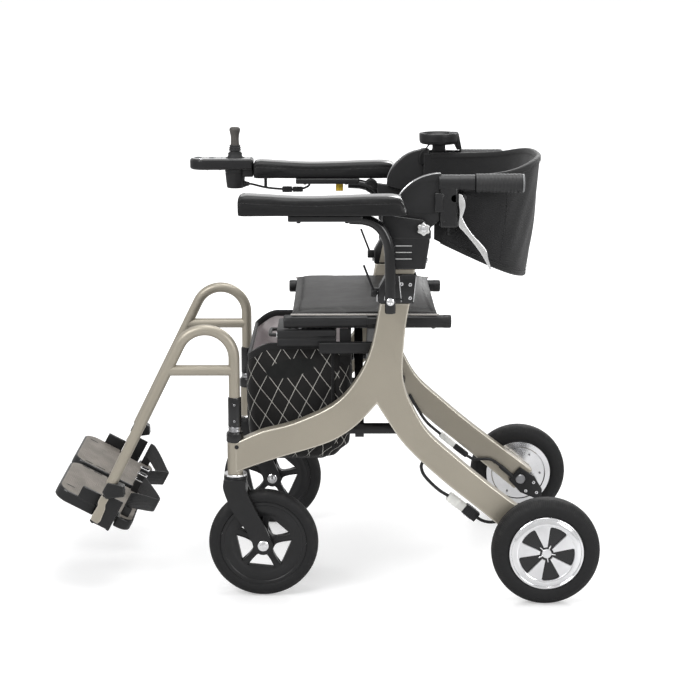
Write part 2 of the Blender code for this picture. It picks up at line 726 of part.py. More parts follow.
def cross_arm(name, side, y, pinned):
    """A brace arm from one lower rail up to the other seat rail."""
    low = (side * BRACE_X, LOWER_RAIL_Z)
    high = (-side * BRACE_X, SEAT_RAIL_Z)
    ends = (y - BRACE_DEPTH / 2, y + BRACE_DEPTH / 2)
    outline = dogbone(low, high, BRACE_EYE_RADIUS, BRACE_HALF_HEIGHT)
    bar = extrude(name, outline, ends, "Y", BLACK)
    places = [("lower eye", LOWER_RAIL_RADIUS, *low), ("upper eye", SEAT_RAIL_RADIUS, *high)]
    if pinned:
        places.append(("pin hole", BRACE_PIN_RADIUS, 0, PIN_Z))
    holes = [
        rod(name + " " + label, radius + GAP, (x, ends[0] - 0.01, z), (x, ends[1] + 0.01, z), BLACK)
        for label, radius, x, z in places
    ]
    rail_top = SEAT_RAIL_Z + SEAT_RAIL_RADIUS - GAP
    clear = BRACE_EYE_RADIUS + 0.01
    x_range = (-side * BRACE_X - clear, -side * BRACE_X + clear)
    trim = box(name + " trim", x_range, (ends[0] - 0.01, ends[1] + 0.01), (rail_top, rail_top + 0.03), BLACK)
    return cut(bar, *holes, trim)


def cross_arms():
    """The two crossing arms, with the pin fixed in the first."""
    arm_a = cross_arm("cross_arm_a", 1, BRACE_A_Y, False)
    arm_b = cross_arm("cross_arm_b", -1, BRACE_B_Y, True)
    start = BRACE_A_Y - BRACE_DEPTH / 2 - 0.003
    seat = BRACE_A_Y + BRACE_DEPTH / 2
    face = BRACE_B_Y + BRACE_DEPTH / 2
    head = BRACE_PIN_HEAD_RADIUS
    profile = [(0, start), (head, start), (head, seat), (BRACE_PIN_RADIUS, seat)]
    profile += [(BRACE_PIN_RADIUS, face + GAP), (head, face + GAP), (head, face + 0.004), (0, face + 0.004)]
    pin = turn("cross pin", profile, (0, 0, PIN_Z), "Y", STEEL)
    washer = rod("cross spacer", head, (0, seat - 0.001, PIN_Z), (0, seat + BRACE_SPACING - GAP, PIN_Z), STEEL)
    join(arm_a, pin, washer)
    return arm_a, arm_b


def rails(side_name, side):
    """The lower rail on its two lugs, and the seat rail."""
    x = side * BRACE_X
    lower = rod(
        side_name + "_lower_rail",
        LOWER_RAIL_RADIUS,
        (x, LOWER_RAIL_FRONT_Y, LOWER_RAIL_Z),
        (x, LOWER_RAIL_BACK_Y, LOWER_RAIL_Z),
        BLACK,
    )
    x_range = sorted((x, side * (FRAME_INNER_X - GAP)))
    z_range = (LOWER_RAIL_Z - 0.007, LOWER_RAIL_Z + 0.007)
    front = (LOWER_RAIL_FRONT_Y + 0.001, LOWER_RAIL_FRONT_Y + RAIL_LUG)
    back = (LOWER_RAIL_BACK_Y - RAIL_LUG, LOWER_RAIL_BACK_Y - 0.001)
    join(
        lower,
        box(lower.name + " front lug", x_range, front, z_range, BLACK),
        box(lower.name + " back lug", x_range, back, z_range, BLACK),
    )
    seat = rod(
        side_name + "_seat_rail",
        SEAT_RAIL_RADIUS,
        (x, SEAT_RAIL_FRONT_Y, SEAT_RAIL_Z),
        (x, SEAT_RAIL_BACK_Y, SEAT_RAIL_Z),
        BLACK,
    )
    return lower, seat


def seat():
    """The padded seat, hung over both seat rails, crowned and drawn in at its sides."""
    edge = BRACE_X + SEAT_OVERHANG
    under = SEAT_RAIL_Z + SEAT_RAIL_RADIUS + GAP
    inner = BRACE_X - SEAT_RAIL_RADIUS - 0.002
    ramp = 0.012
    steps = 8
    rings = []
    for share in (0, 0.015, 0.06, 0.2, 0.4, 0.6, 0.8, 0.94, 0.985, 1):
        y = SEAT_FRONT_Y + (SEAT_BACK_Y - SEAT_FRONT_Y) * share
        swell = math.sin(math.pi * share) ** 0.4
        reach = edge - SEAT_DRAW_IN * math.sin(math.pi * share)
        top = under + SEAT_EDGE_THICKNESS * (0.55 + 0.45 * swell)
        sag = under - SEAT_MIDDLE_DEPTH * swell
        turns = [math.pi * i / steps for i in range(steps + 1)]
        crown = [(reach * 0.985 * math.cos(t), top + SEAT_CROWN * swell * math.sin(t)) for t in turns]
        right = [(-reach, under + 0.002), (-reach + 0.002, under), (-inner, under), (-inner + ramp, sag)]
        left = [(-x, z) for x, z in reversed(right)]
        rings.append([(x, y, z) for x, z in right + left + crown])
    return loft("seat", rings, LEATHER)


def bag():
    """The open-topped bag, with straps to the frame and the seat rails."""
    top = BATTERY_BOTTOM_Z - 0.001
    low = top - BAG_DEPTH
    back = BAG_BACK_Y
    front = back - BAG_LENGTH
    half = BAG_HALF_WIDTH
    rim = [(front + 0.0025, top - 0.015), (front + 0.0265, top - 0.001), (front + 0.0585, top)]
    rim += [(back - 0.0325, top), (back, top - 0.004)]
    rear = [(back, low + 0.066), (back - 0.0035, low + 0.036), (back - 0.0225, low + 0.014)]
    base = [(front + 0.1125, low + 0.002), (front + 0.0475, low), (front + 0.0185, low + 0.012)]
    base += [(front + 0.0055, low + 0.056), (front, low + 0.146)]
    outline = rim + smooth([rim[-1], *rear, *base, rim[0]], 2)[1:-1]
    body = extrude("bag", outline, (-half, half), "X", FABRIC)
    bevel(body, 0.002)
    middle = Vector(((front + back) / 2, (low + top) / 2))
    hollow = [
        (
            middle.x + (y - middle.x) * (1 - 2 * BAG_WALL / BAG_LENGTH),
            middle.y + (z - middle.y) * (1 - 2 * BAG_WALL / BAG_DEPTH) if z < top - 0.02 else z + 0.02,
        )
        for y, z in outline
    ]
    inside = extrude("bag inside", hollow, (-half + BAG_WALL, half - BAG_WALL), "X", FABRIC)
    cut(body, inside)
    wall = STRAP_THICKNESS
    for side_name, side in SIDES:
        out = side * (FRAME_INNER_X - GAP)
        near = side * (half - wall)
        low_y = (front + 0.0145, front + 0.0365)
        low_z = (low + 0.050, low + 0.050 + wall)
        low_strap = box("bag low strap " + side_name, sorted((near, out)), low_y, low_z, FABRIC)
        rail_foot = SEAT_RAIL_Z - SEAT_RAIL_RADIUS - GAP
        shelf = (top - 0.012 - wall, top - 0.012)
        y_range = (BAG_STRAP_Y, BAG_STRAP_Y + 0.020)
        out_x = side * (BRACE_X + wall)
        arm = box("bag rail strap " + side_name, sorted((near, out_x)), y_range, shelf, FABRIC)
        riser_x = sorted((out_x, side * (BRACE_X - wall)))
        riser = box("bag rail riser " + side_name, riser_x, y_range, (shelf[0], rail_foot), FABRIC)
        join(body, low_strap, arm, riser)
    return body


def battery():
    """The flat battery with its pull handle, and the bar that holds it."""
    inner = BATTERY_OUTER_X - BATTERY_WIDTH
    z_range = (BATTERY_BOTTOM_Z, BATTERY_TOP_Z)
    pack = box("battery", (inner, BATTERY_OUTER_X), (BATTERY_FRONT_Y, BATTERY_BACK_Y), z_range, BLACK)
    bevel(pack, 0.004)
    middle_z = (BATTERY_BOTTOM_Z + BATTERY_TOP_Z) / 2
    front = BATTERY_FRONT_Y
    centre_x = (inner + BATTERY_OUTER_X) / 2
    pull = box(
        "battery pull", (centre_x - 0.030, centre_x + 0.030), (front - 0.016, front + 0.002),
        (middle_z - 0.004, middle_z + 0.004), BLACK,
    )
    finger = box(
        "battery finger hole", (centre_x - 0.024, centre_x + 0.024), (front - 0.011, front - 0.001),
        (middle_z - 0.01, middle_z + 0.01), BLACK,
    )
    join(pack, cut(pull, finger))
    start = BATTERY_OUTER_X + GAP
    end = FRAME_INNER_X - GAP
    bar_z = (BATTERY_BOTTOM_Z - 0.010, BATTERY_BOTTOM_Z + 0.010)
    bar = box("battery_bracket", (start, end), (BATTERY_FRONT_Y + 0.006, upright_y(bar_z[0])), bar_z, BLACK)
    return pack, bar


def clamp_collar(name, side):
    """The collar round the post, with the armrest bolt and the clamp lug."""
    bottom = UPRIGHT_TOP_Z + GAP
    front = UPRIGHT_Y - POST_WIDTH / 2
    back = UPRIGHT_Y + POST_WIDTH / 2
    outline = [
        (front - 0.0065, bottom),
        (back + 0.0105, bottom),
        (back + 0.0150, COLLAR_TOP_Z),
        (front + 0.0080, COLLAR_TOP_Z),
        (front - 0.0065, COLLAR_TOP_Z - 0.026),
    ]
    inner = FRAME_INNER_X - COLLAR_WALL
    outer = FRAME_OUTER_X + COLLAR_WALL
    body = bevel(extrude(name, outline, (side * inner, side * outer), "X", BLACK), 0.002)
    bore = post_space(name + " bore", side, bottom - 0.01, COLLAR_TOP_Z + 0.01)
    tube_inner = ARM_TUBE_X - ARM_TUBE_RADIUS
    tube_outer = ARM_TUBE_X + ARM_TUBE_RADIUS
    post_face = FRAME_X + POST_THICKNESS / 2 + COLLAR_WALL
    profile = [
        (0, post_face),
        (0.0085, post_face),
        (0.0085, tube_inner - GAP),
        (ARM_BOLT_RADIUS, tube_inner - GAP),
        (ARM_BOLT_RADIUS, tube_outer + GAP),
        (0.0065, tube_outer + GAP),
        (0.0065, tube_outer + 0.004),
        (0, tube_outer + 0.004),
    ]
    place = (0, ARM_PIVOT_Y, ARM_PIVOT_Z)
    bolt = turn(name + " bolt", [(r, side * d) for r, d in profile], place, "X", STEEL, 12)
    lug_y = (front - 0.0195, front - 0.005)
    lug_z = (COLLAR_TOP_Z - 0.043, COLLAR_TOP_Z - 0.027)
    lug_x = sorted((side * (FRAME_X - 0.004), side * (FRAME_X + 0.004)))
    lug = box(name + " lug", lug_x, lug_y, lug_z, BLACK)
    hinge_y, hinge_z = clamp_hinge()
    lug_hole = rod(
        name + " lug hole", 0.0025 + GAP, (side * (FRAME_X - 0.01), hinge_y, hinge_z),
        (side * (FRAME_X + 0.01), hinge_y, hinge_z), BLACK,
    )
    return join(cut(body, bore), cut(lug, lug_hole), bolt)


def clamp_hinge():
    """Where the clamp lever turns in the collar's lug."""
    return UPRIGHT_Y - POST_WIDTH / 2 - 0.0135, COLLAR_TOP_Z - 0.035


def clamp_lever(name, side):
    """The small lever that locks the post's height."""
    y, z = clamp_hinge()
    start = FRAME_X + 0.004 + GAP
    outline = dogbone((y, z), (y - 0.0185, z + 0.048), 0.0055, 0.003, 6)
    lever = extrude(name, outline, (side * start, side * (start + 0.005)), "X", BLACK)
    pin = rod(
        name + " pin", 0.0025, (side * (FRAME_X - 0.003), y, z), (side * (start + 0.002), y, z), STEEL, 12
    )
    return join(bevel(lever, 0.001), pin)


def post(name, side):
    """The telescopic post that slides in the upright."""
    bar = leaning_box(name, side, POST_WIDTH, POST_THICKNESS, POST_BOTTOM_Z, POST_TOP_Z, CHAMPAGNE)
    return bevel(bar, 0.002)


def handle_bracket(name, side):
    """The housing on top of the post, with the cheek for the star knob."""
    top = BRACKET_TOP_Z
    bottom = BRACKET_BOTTOM_Z
    half = POST_WIDTH / 2
    outline = [
        (upright_y(bottom) - half - 0.0025, bottom),
        (upright_y(bottom) + half + 0.0170, bottom),
        (upright_y(top) + half + 0.0127, top - 0.009),
        (upright_y(top) + half + 0.0127, top),
        (upright_y(top) - half - 0.0163, top),
    ]
    inner = FRAME_INNER_X - COLLAR_WALL
    housing = extrude(name, outline, (side * inner, side * CHEEK_OUTER_X), "X", BLACK)
    bevel(housing, 0.002)
    shape = [(-0.072, 0.025), (0.002, 0.015), (0.0135, -0.005), (0.0135, -0.019)]
    shape += [(-0.0625, -0.019), (-0.072, 0.009)]
    cheek_outline = [(TILT_Y + y, TILT_Z + z) for y, z in shape]
    cheek = extrude(name + " cheek", cheek_outline, (side * CHEEK_INNER_X, side * CHEEK_OUTER_X), "X", BLACK)
    bevel(cheek, 0.0015)
    pocket = post_space(name + " pocket", side, bottom - 0.01, POST_TOP_Z + GAP)
    hole = rod(
        name + " stud hole", STUD_RADIUS + GAP, (side * (CHEEK_INNER_X - 0.01), TILT_Y, TILT_Z),
        (side * (CHEEK_OUTER_X + 0.01), TILT_Y, TILT_Z), BLACK, 12,
    )
    return cut(join(housing, cheek), pocket, hole)


def star_knob(name, side):
    """The lobed knob with its stud."""
    steps = KNOB_LOBES * 4
    outline = []
    for index in range(steps):
        angle = 2 * math.pi * index / steps
        reach = KNOB_RADIUS * (0.92 + 0.08 * math.cos(KNOB_LOBES * angle))
        outline.append((TILT_Y + reach * math.sin(angle), TILT_Z + reach * math.cos(angle)))
    start = CHEEK_OUTER_X + GAP
    knob = extrude(name, outline, (side * start, side * (start + KNOB_THICKNESS)), "X", SILVER)
    stud_start = (side * (SHELL_OUTER_X - 0.012), TILT_Y, TILT_Z)
    stud_end = (side * (start + 0.003), TILT_Y, TILT_Z)
    return join(knob, rod(name + " stud", STUD_RADIUS, stud_start, stud_end, STEEL, 12))


def handle_head(name, side):
    """The arched shell, the brake housing with its ears and the handle tube."""
    lug = 0.013
    arch_top = HANDLE_Z + HANDLE_TUBE_RADIUS + 0.003
    foot = TILT_Z + 0.021
    arch = [
        (HANDLE_START_Y - SHELL_REACH * math.sin(t), foot + (arch_top - foot) * math.cos(t))
        for t in [math.radians(90 * i / 7) for i in range(8)]
    ]
    outline = [(HANDLE_START_Y, foot - 0.008), (HANDLE_START_Y, arch_top), *arch[1:]]
    outline += [(TILT_Y - 0.027, TILT_Z + 0.014), (TILT_Y - 0.0135, TILT_Z + 0.0065)]
    outline += arc((TILT_Y, TILT_Z), lug, 180, 360, 6)
    shell = extrude(name, outline, (side * SHELL_INNER_X, side * SHELL_OUTER_X), "X", BLACK)
    bevel(shell, 0.0015)
    hole = rod(
        name + " stud hole", STUD_RADIUS + GAP, (side * (SHELL_OUTER_X - 0.013), TILT_Y, TILT_Z),
        (side * (SHELL_OUTER_X + 0.01), TILT_Y, TILT_Z), BLACK, 12,
    )
    x = side * HANDLE_X
    sleeve = [
        (0, HANDLE_START_Y - 0.004),
        (HANDLE_TUBE_RADIUS, HANDLE_START_Y - 0.004),
        (HANDLE_TUBE_RADIUS, HANDLE_SLEEVE_END_Y),
        (HANDLE_CORE_RADIUS, HANDLE_SLEEVE_END_Y),
        (HANDLE_CORE_RADIUS, GRIP_END_Y - GRIP_END_WALL),
        (0, GRIP_END_Y - GRIP_END_WALL),
    ]
    handle = turn(name + " tube", sleeve, (x, 0, HANDLE_Z), "Y", BLACK)
    box_x = sorted((side * SHELL_INNER_X, side * (HANDLE_X + 0.0125)))
    box_y = (HANDLE_START_Y - 0.003, BRAKE_BOX_Y)
    brake = box(name + " brake housing", box_x, box_y, (HANDLE_Z - BRAKE_BOX_HEIGHT, HANDLE_Z), BLACK)
    bevel(brake, 0.002)
    ears = []
    hinge = (x, LEVER_Y, LEVER_Z)
    near = LEVER_WIDTH / 2 + 0.0005
    for label, low, high in (("inner", -near - 0.005, -near), ("outer", near, near + 0.0045)):
        ear = dogbone((BRAKE_BOX_Y - 0.006, LEVER_Z), (LEVER_Y, LEVER_Z), 0.0075, 0.0074, 4)
        low_x, high_x = sorted((x + side * low, x + side * high))
        ears.append(extrude(name + " ear " + label, ear, (low_x, high_x), "X", BLACK))
    pin_hole = rod(
        name + " pin hole", LEVER_PIN_RADIUS + GAP, (x - 0.02, LEVER_Y, LEVER_Z), (x + 0.02, LEVER_Y, LEVER_Z),
        BLACK, 12,
    )
    join(shell, handle, brake, *ears)
    return cut(shell, hole, pin_hole), hinge


def grip(name, side):
    """The grip sleeve with its closed end."""
    bore = HANDLE_CORE_RADIUS + GAP
    start = HANDLE_SLEEVE_END_Y + GAP
    profile = [
        (0, GRIP_END_Y - GRIP_END_WALL + GAP),
        (bore, GRIP_END_Y - GRIP_END_WALL + GAP),
        (bore, start),
        (GRIP_RADIUS, start),
        (GRIP_RADIUS, GRIP_END_Y - 0.003),
        (GRIP_RADIUS - 0.003, GRIP_END_Y),
        (0, GRIP_END_Y),
    ]
    return turn(name, profile, (side * HANDLE_X, 0, HANDLE_Z), "Y", GRIP_RUBBER)


def brake_lever(name, side):
    """The cast lever, hung from the brake housing's ears."""
    front = [(-0.0060, -0.004), (-0.0060, -0.0290), (-0.0045, -0.050), (0.0081, -0.0655), (0.0224, -0.081)]
    front += [(0.0370, -0.0985), (0.0440, -0.115), (0.0500, -0.1265)]
    rear = [(0.0540, -0.1210), (0.0475, -0.1025), (0.0395, -0.0855), (0.0248, -0.069), (0.0104, -0.0525)]
    rear += [(0.0005, -0.0335), (0.0040, -0.016)]
    outline = [(LEVER_Y + y, LEVER_Z + z) for y, z in front + rear]
    hub = arc((LEVER_Y, LEVER_Z), LEVER_HUB_RADIUS, -20, 200, 6)
    x = side * HANDLE_X
    half = LEVER_WIDTH / 2
    lever = bevel(extrude(name, hub + outline, (x - half, x + half), "X", SILVER), 0.0012)
    start = (x - half - 0.005, LEVER_Y, LEVER_Z)
    end = (x + half + 0.0047, LEVER_Y, LEVER_Z)
    return join(lever, rod(name + " pin", LEVER_PIN_RADIUS, start, end, STEEL, 12))


def backrest():
    """The sling that bulges rearward between the two handle shells."""
    half = HANDLE_X - HANDLE_TUBE_RADIUS - GAP
    columns = 20
    rows = 3
    bm = bmesh.new()

    def ring(inset, k):
        t = math.pi * k / columns
        reach = math.sin(t) ** 0.8
        x = (half - inset) * math.copysign(abs(math.cos(t)) ** 0.8, math.cos(t))
        back = HANDLE_START_Y - 0.0085 + (BACKREST_REACH - inset) * reach
        low = TILT_Z - 0.024 - BACKREST_DEEPENING * reach
        high = HANDLE_Z + HANDLE_TUBE_RADIUS + 0.0005 + BACKREST_RISE * reach
        lean = BACKREST_LEAN * reach
        line = []
        for row in range(rows + 1):
            share = row / rows
            line.append(bm.verts.new((x, back - lean * (1 - share), low + (high - low) * share)))
        return line

    outer = [ring(0, k) for k in range(columns + 1)]
    inner = [ring(BACKREST_THICKNESS, k) for k in range(columns + 1)]
    for k in range(columns):
        for row in range(rows):
            bm.faces.new((outer[k][row], outer[k + 1][row], outer[k + 1][row + 1], outer[k][row + 1]))
            bm.faces.new((inner[k][row], inner[k][row + 1], inner[k + 1][row + 1], inner[k + 1][row]))
        bm.faces.new((outer[k][0], inner[k][0], inner[k + 1][0], outer[k + 1][0]))
        bm.faces.new((outer[k][rows], outer[k + 1][rows], inner[k + 1][rows], inner[k][rows]))
    for k in (0, columns):
        for row in range(rows):
            bm.faces.new((outer[k][row], outer[k][row + 1], inner[k][row + 1], inner[k][row]))
    return new_object("backrest", bm, FABRIC)


def arm_tube(name, side):
    """The bent tube from the pivot bolt up to the pad's carrier."""
    x = side * ARM_TUBE_X
    bend = [
        (ARM_PIVOT_Y, ARM_PIVOT_Z - 0.0225),
        (ARM_PIVOT_Y, ARM_RUN_Z - 0.0995),
        (ARM_PIVOT_Y - 0.0015, ARM_RUN_Z - 0.0595),
        (ARM_PIVOT_Y - 0.0065, ARM_RUN_Z - 0.0355),
        (ARM_PIVOT_Y - 0.0165, ARM_RUN_Z - 0.0175),
        (ARM_PIVOT_Y - 0.031, ARM_RUN_Z - 0.006),
        (ARM_PIVOT_Y - 0.048, ARM_RUN_Z - 0.001),
        (ARM_PIVOT_Y - 0.070, ARM_RUN_Z),
    ]
    path = [bend[0], *smooth(bend[1:-1], 2), bend[-1]]
    pipe = tube(name, [(x, y, z) for y, z in path], ARM_TUBE_RADIUS, BLACK)
    pad_x = side * PAD_X
    top = PAD_BOTTOM_Z - GAP
    x_range = sorted((side * (ARM_TUBE_X - ARM_TUBE_RADIUS), pad_x + side * 0.020))
    carrier = box(name + " carrier", x_range, (CARRIER_FRONT_Y, CARRIER_BACK_Y), (ARM_RUN_Z, top), BLACK)
    bevel(carrier, 0.0015)
    start = (x - 0.02, ARM_PIVOT_Y, ARM_PIVOT_Z)
    end = (x + 0.02, ARM_PIVOT_Y, ARM_PIVOT_Z)
    hole = rod(name + " pivot hole", ARM_BOLT_RADIUS + GAP, start, end, BLACK)
    studs = [
        rod(
            name + label, 0.003, (pad_x, y, ARM_RUN_Z - 0.0025), (pad_x, y, top - 0.002), BLACK, 12
        )
        for label, y in ((" front stud", CARRIER_FRONT_Y + 0.018), (" back stud", CARRIER_BACK_Y - 0.027))
    ]
    return cut(join(pipe, carrier, *studs), hole)


def arm_pad(name, side):
    """The padded armrest: crowned, drawn in at its sides and rounded at the back."""
    shape = [
        (0, 0.0125, 0.90),
        (0.005, 0.0240, 0.94),
        (0.020, 0.0335, 0.98),
        (0.055, 0.0357, 1),
        (0.171, 0.0335, 1),
        (0.365, 0.0305, 0.97),
        (0.560, 0.0312, 0.97),
        (0.768, 0.0335, 1),
        (0.894, 0.0340, 1),
        (0.956, 0.0300, 0.96),
        (0.986, 0.0230, 0.90),
        (1, 0.0125, 0.80),
    ]
    half = PAD_WIDTH / 2
    rings = []
    for along, height, width in shape:
        reach = half * width
        right = [(reach - 0.003, 0), (reach, 0.003), (reach - PAD_DRAW_IN, height * 0.55)]
        right += [(reach - 0.0015, height - PAD_CROWN - 0.004), (reach - 0.006, height - PAD_CROWN)]
        left = [(-x, z) for x, z in reversed(right)]
        ring = [*right, (0, height), *left]
        rings.append([(side * PAD_X + x, PAD_FRONT_Y + PAD_LENGTH * along, PAD_BOTTOM_Z + z) for x, z in ring])
    return loft(name, rings, LEATHER)


def joystick_box():
    """The controller at the front of the right armrest."""
    x = -PAD_X
    back = PAD_FRONT_Y - GAP
    half = CONTROL_HALF_WIDTH
    nose = arc((x, PAD_FRONT_Y - CONTROL_LENGTH + half), half, 180, 360, 10)
    outline = [(p.x, p.y) for p in nose] + [(x + 0.024, back), (x - 0.024, back)]
    head = bevel(extrude("joystick_box", outline, (CONTROL_BOTTOM_Z, CONTROL_TOP_Z), "Z", BLACK), 0.003)
    foot = CONTROL_BOTTOM_Z - BOSS_DEPTH
    inside = CONTROL_BOTTOM_Z + 0.006
    profile = [(0, foot), (BOSS_FOOT_RADIUS, foot), (BOSS_RADIUS, CONTROL_BOTTOM_Z)]
    profile += [(BOSS_RADIUS, inside), (0, inside)]
    boss = turn("joystick box boss", profile, (x, STICK_Y, 0), "Z", BLACK)
    block_z = (CONTROL_BOTTOM_Z - 0.015, CONTROL_BOTTOM_Z + 0.004)
    block = box("joystick box block", (x - 0.016, x + 0.016), (back - 0.022, back), block_z, BLACK)
    floor = STICK_PIVOT_Z - BOOT_RADIUS * math.sin(math.radians(31)) - GAP
    well = rod(
        "joystick box well", BOOT_RADIUS + GAP, (x, STICK_Y, floor), (x, STICK_Y, CONTROL_TOP_Z + 0.01), BLACK
    )
    button_well = rod(
        "joystick box button well", BUTTON_RADIUS + GAP, (x, BUTTON_Y, CONTROL_TOP_Z - 0.005),
        (x, BUTTON_Y, CONTROL_TOP_Z + 0.01), BLACK,
    )
    rocker_well = box(
        "joystick box rocker well", (x - 0.009, x + 0.009), (ROCKER_Y - 0.0065, ROCKER_Y + 0.0065),
        (CONTROL_TOP_Z - 0.006, CONTROL_TOP_Z + 0.01), BLACK,
    )
    return cut(join(head, boss, block), well, button_well, rocker_well)


def joystick_pieces():
    """The boot, the stick, the power button and the speed rocker."""
    x = -PAD_X
    pivot = (x, STICK_Y, STICK_PIVOT_Z)
    band = [(BOOT_RADIUS, angle) for angle in (-12, 0, 12, 22, 32)]
    dome = [(BOOT_DOME_RADIUS, angle) for angle in (42, 55, 70)]
    ball = [(r * math.cos(math.radians(a)), r * math.sin(math.radians(a))) for r, a in band + dome]
    profile = [(0, ball[0][1]), *ball, (0, BOOT_DOME_RADIUS)]
    boot = turn("joystick_boot", profile, pivot, "Z", RUBBER)
    cup = BOOT_DOME_RADIUS + GAP
    foot = [(r, math.sqrt(cup**2 - r**2) + GAP / 2) for r in (0, 0.005, STICK_RADIUS)]
    top = STICK_LENGTH
    shaft = [(STICK_RADIUS, top * 0.4), (0.0082, top * 0.55), (0.0088, top * 0.76), (0.0112, top - 0.006)]
    shaft += [(0.0090, top), (0, top)]
    stick = turn("joystick", foot + shaft, pivot, "Z", BLACK)
    profile = [(0, -0.0025), (BUTTON_RADIUS, -0.0025), (BUTTON_RADIUS, 0.001)]
    profile += [(BUTTON_RADIUS - 0.001, 0.002), (0, 0.002)]
    button = turn("power_button", profile, (x, BUTTON_Y, CONTROL_TOP_Z), "Z", BLACK)
    axis_z = CONTROL_TOP_Z - 0.0025
    crown = arc((ROCKER_Y, 0), 0.0060, 0, 180, 8)
    rocker_outline = [(p.x, axis_z + p.y * 0.62) for p in crown]
    rocker_outline += [(ROCKER_Y - 0.0050, axis_z - 0.002), (ROCKER_Y + 0.0050, axis_z - 0.002)]
    rocker = extrude("speed_rocker", rocker_outline, (x - 0.0087, x + 0.0087), "X", BLACK)
    return boot, stick, button, rocker


def joystick_cable():
    """The cable from the controller to the carrier, with its plug."""
    x = -PAD_X
    exit_z = ARM_RUN_Z - 0.003
    taper = (exit_z + CABLE_RADIUS - CONTROL_BOTTOM_Z + BOSS_DEPTH) / BOSS_DEPTH
    start = STICK_Y + BOSS_FOOT_RADIUS + (BOSS_RADIUS - BOSS_FOOT_RADIUS) * taper + GAP
    span = CARRIER_FRONT_Y + 0.027 - start
    route = [
        (0.030, -0.0030),
        (0.110, -0.0035),
        (0.336, -0.0105),
        (0.564, -0.0135),
        (0.753, -0.0145),
        (0.867, -0.0135),
        (0.958, -0.0095),
        (0.996, -0.0055),
        (1, -GAP),
    ]
    path = [(x, start, exit_z)] + smooth([(x, start + span * share, ARM_RUN_Z + z) for share, z in route], 2)
    lead = tube("joystick_cable", path, CABLE_RADIUS, RUBBER)
    plug_y = (start + span * 0.526, start + span * 0.814)
    plug = box("joystick plug", (x - 0.005, x + 0.005), plug_y, (ARM_RUN_Z - 0.0185, ARM_RUN_Z - 0.0095), BLACK)
    bevel(plug, 0.001)
    return join(lead, plug)


def attendant_console():
    """The dished control pod on the right handle."""
    radius = CONSOLE_RADIUS
    x = radius + 0.0018 + PAD_WIDTH / 2 - PAD_X
    base = HANDLE_Z + HANDLE_TUBE_RADIUS + GAP
    profile = [
        (0, base + 0.006),
        (radius - 0.006, base + 0.006),
        (radius - 0.001, base + 0.014),
        (radius, base + 0.031),
        (radius - 0.003, base + 0.031),
        (radius - 0.010, base + 0.024),
        (0, base + 0.021),
    ]
    pod = turn("attendant_console", profile, (x, HANDLE_START_Y + 0.0185, 0), "Z", BLACK, 20)
    neck_x = (-HANDLE_X - 0.010, -HANDLE_X + 0.012)
    neck_y = (HANDLE_START_Y + 0.0065, HANDLE_START_Y + 0.0315)
    neck = box("console neck", neck_x, neck_y, (HANDLE_Z + 0.006, base + 0.009), BLACK)
    start = (-HANDLE_X, HANDLE_START_Y - 0.0025, HANDLE_Z)
    end = (-HANDLE_X, HANDLE_START_Y + 0.0425, HANDLE_Z)
    saddle = rod("console saddle", HANDLE_TUBE_RADIUS + GAP, start, end, BLACK)
    return join(pod, cut(neck, saddle))


def footrest(name, side):
    """The hoop and leg with the black sleeve, spigot and plate hinge."""
    x = side * FRAME_X
    bow = arc((HOOP_CENTRE_Y, HOOP_CENTRE_Z), HOOP_RADIUS, 0, 180 - math.degrees(FOOT_LEAN), 10)
    path = [(x, HEAD_Y, SLEEVE_TOP_Z - 0.01), *((x, p.x, p.y) for p in bow), (x, LEG_END_Y, LEG_END_Z)]
    hoop = tube(name, path, FOOT_TUBE_RADIUS, CHAMPAGNE)
    bar_end = LEG_TOP_Y - (LEG_TOP_Z - CROSSBAR_Z) * math.tan(FOOT_LEAN)
    ends = ((x, bar_end, CROSSBAR_Z), (x, HEAD_Y, CROSSBAR_Z))
    bar = rod(name + " crossbar", CROSSBAR_RADIUS, *ends, CHAMPAGNE, 12)
    spigot_z = HEAD_BOTTOM_Z + STEM_PIN_LENGTH + SPIGOT_CLEARANCE
    sleeve_radius = FOOT_TUBE_RADIUS + SLEEVE_WALL
    collar_radius = FOOT_TUBE_RADIUS + FOOT_COLLAR_WALL
    seat_z = HEAD_TOP_Z + GAP
    profile = [
        (0, spigot_z),
        (FOOT_TUBE_RADIUS, spigot_z),
        (FOOT_TUBE_RADIUS, seat_z),
        (collar_radius, seat_z),
        (collar_radius, SLEEVE_BOTTOM_Z - 0.010),
        (FOOT_TUBE_RADIUS, SLEEVE_BOTTOM_Z - 0.004),
        (sleeve_radius, SLEEVE_BOTTOM_Z),
        (sleeve_radius, SLEEVE_TOP_Z),
        (0, SLEEVE_TOP_Z),
    ]
    sleeve = turn(name + " sleeve", profile, (x, HEAD_Y, 0), "Z", BLACK)
    join(hoop, bar, sleeve)
    bracket_outline = [
        (PLATE_HINGE_Y + 0.0400, LEG_END_Z + 0.004),
        (PLATE_HINGE_Y + 0.0120, LEG_END_Z + 0.010),
        (PLATE_HINGE_Y - 0.0220, PLATE_HINGE_Z + 0.018),
        (PLATE_HINGE_Y - 0.0200, PLATE_HINGE_Z + 0.002),
        (PLATE_HINGE_Y + 0.0180, PLATE_HINGE_Z - 0.018),
        (PLATE_HINGE_Y + 0.0220, PLATE_HINGE_Z - 0.006),
    ]
    bracket_x = (side * (PLATE_HINGE_X + PLATE_THICKNESS + 0.001), side * (FRAME_X + 0.011))
    bracket = bevel(extrude(name + " bracket", bracket_outline, bracket_x, "X", BLACK), 0.002)
    join(hoop, bracket)
    return hoop


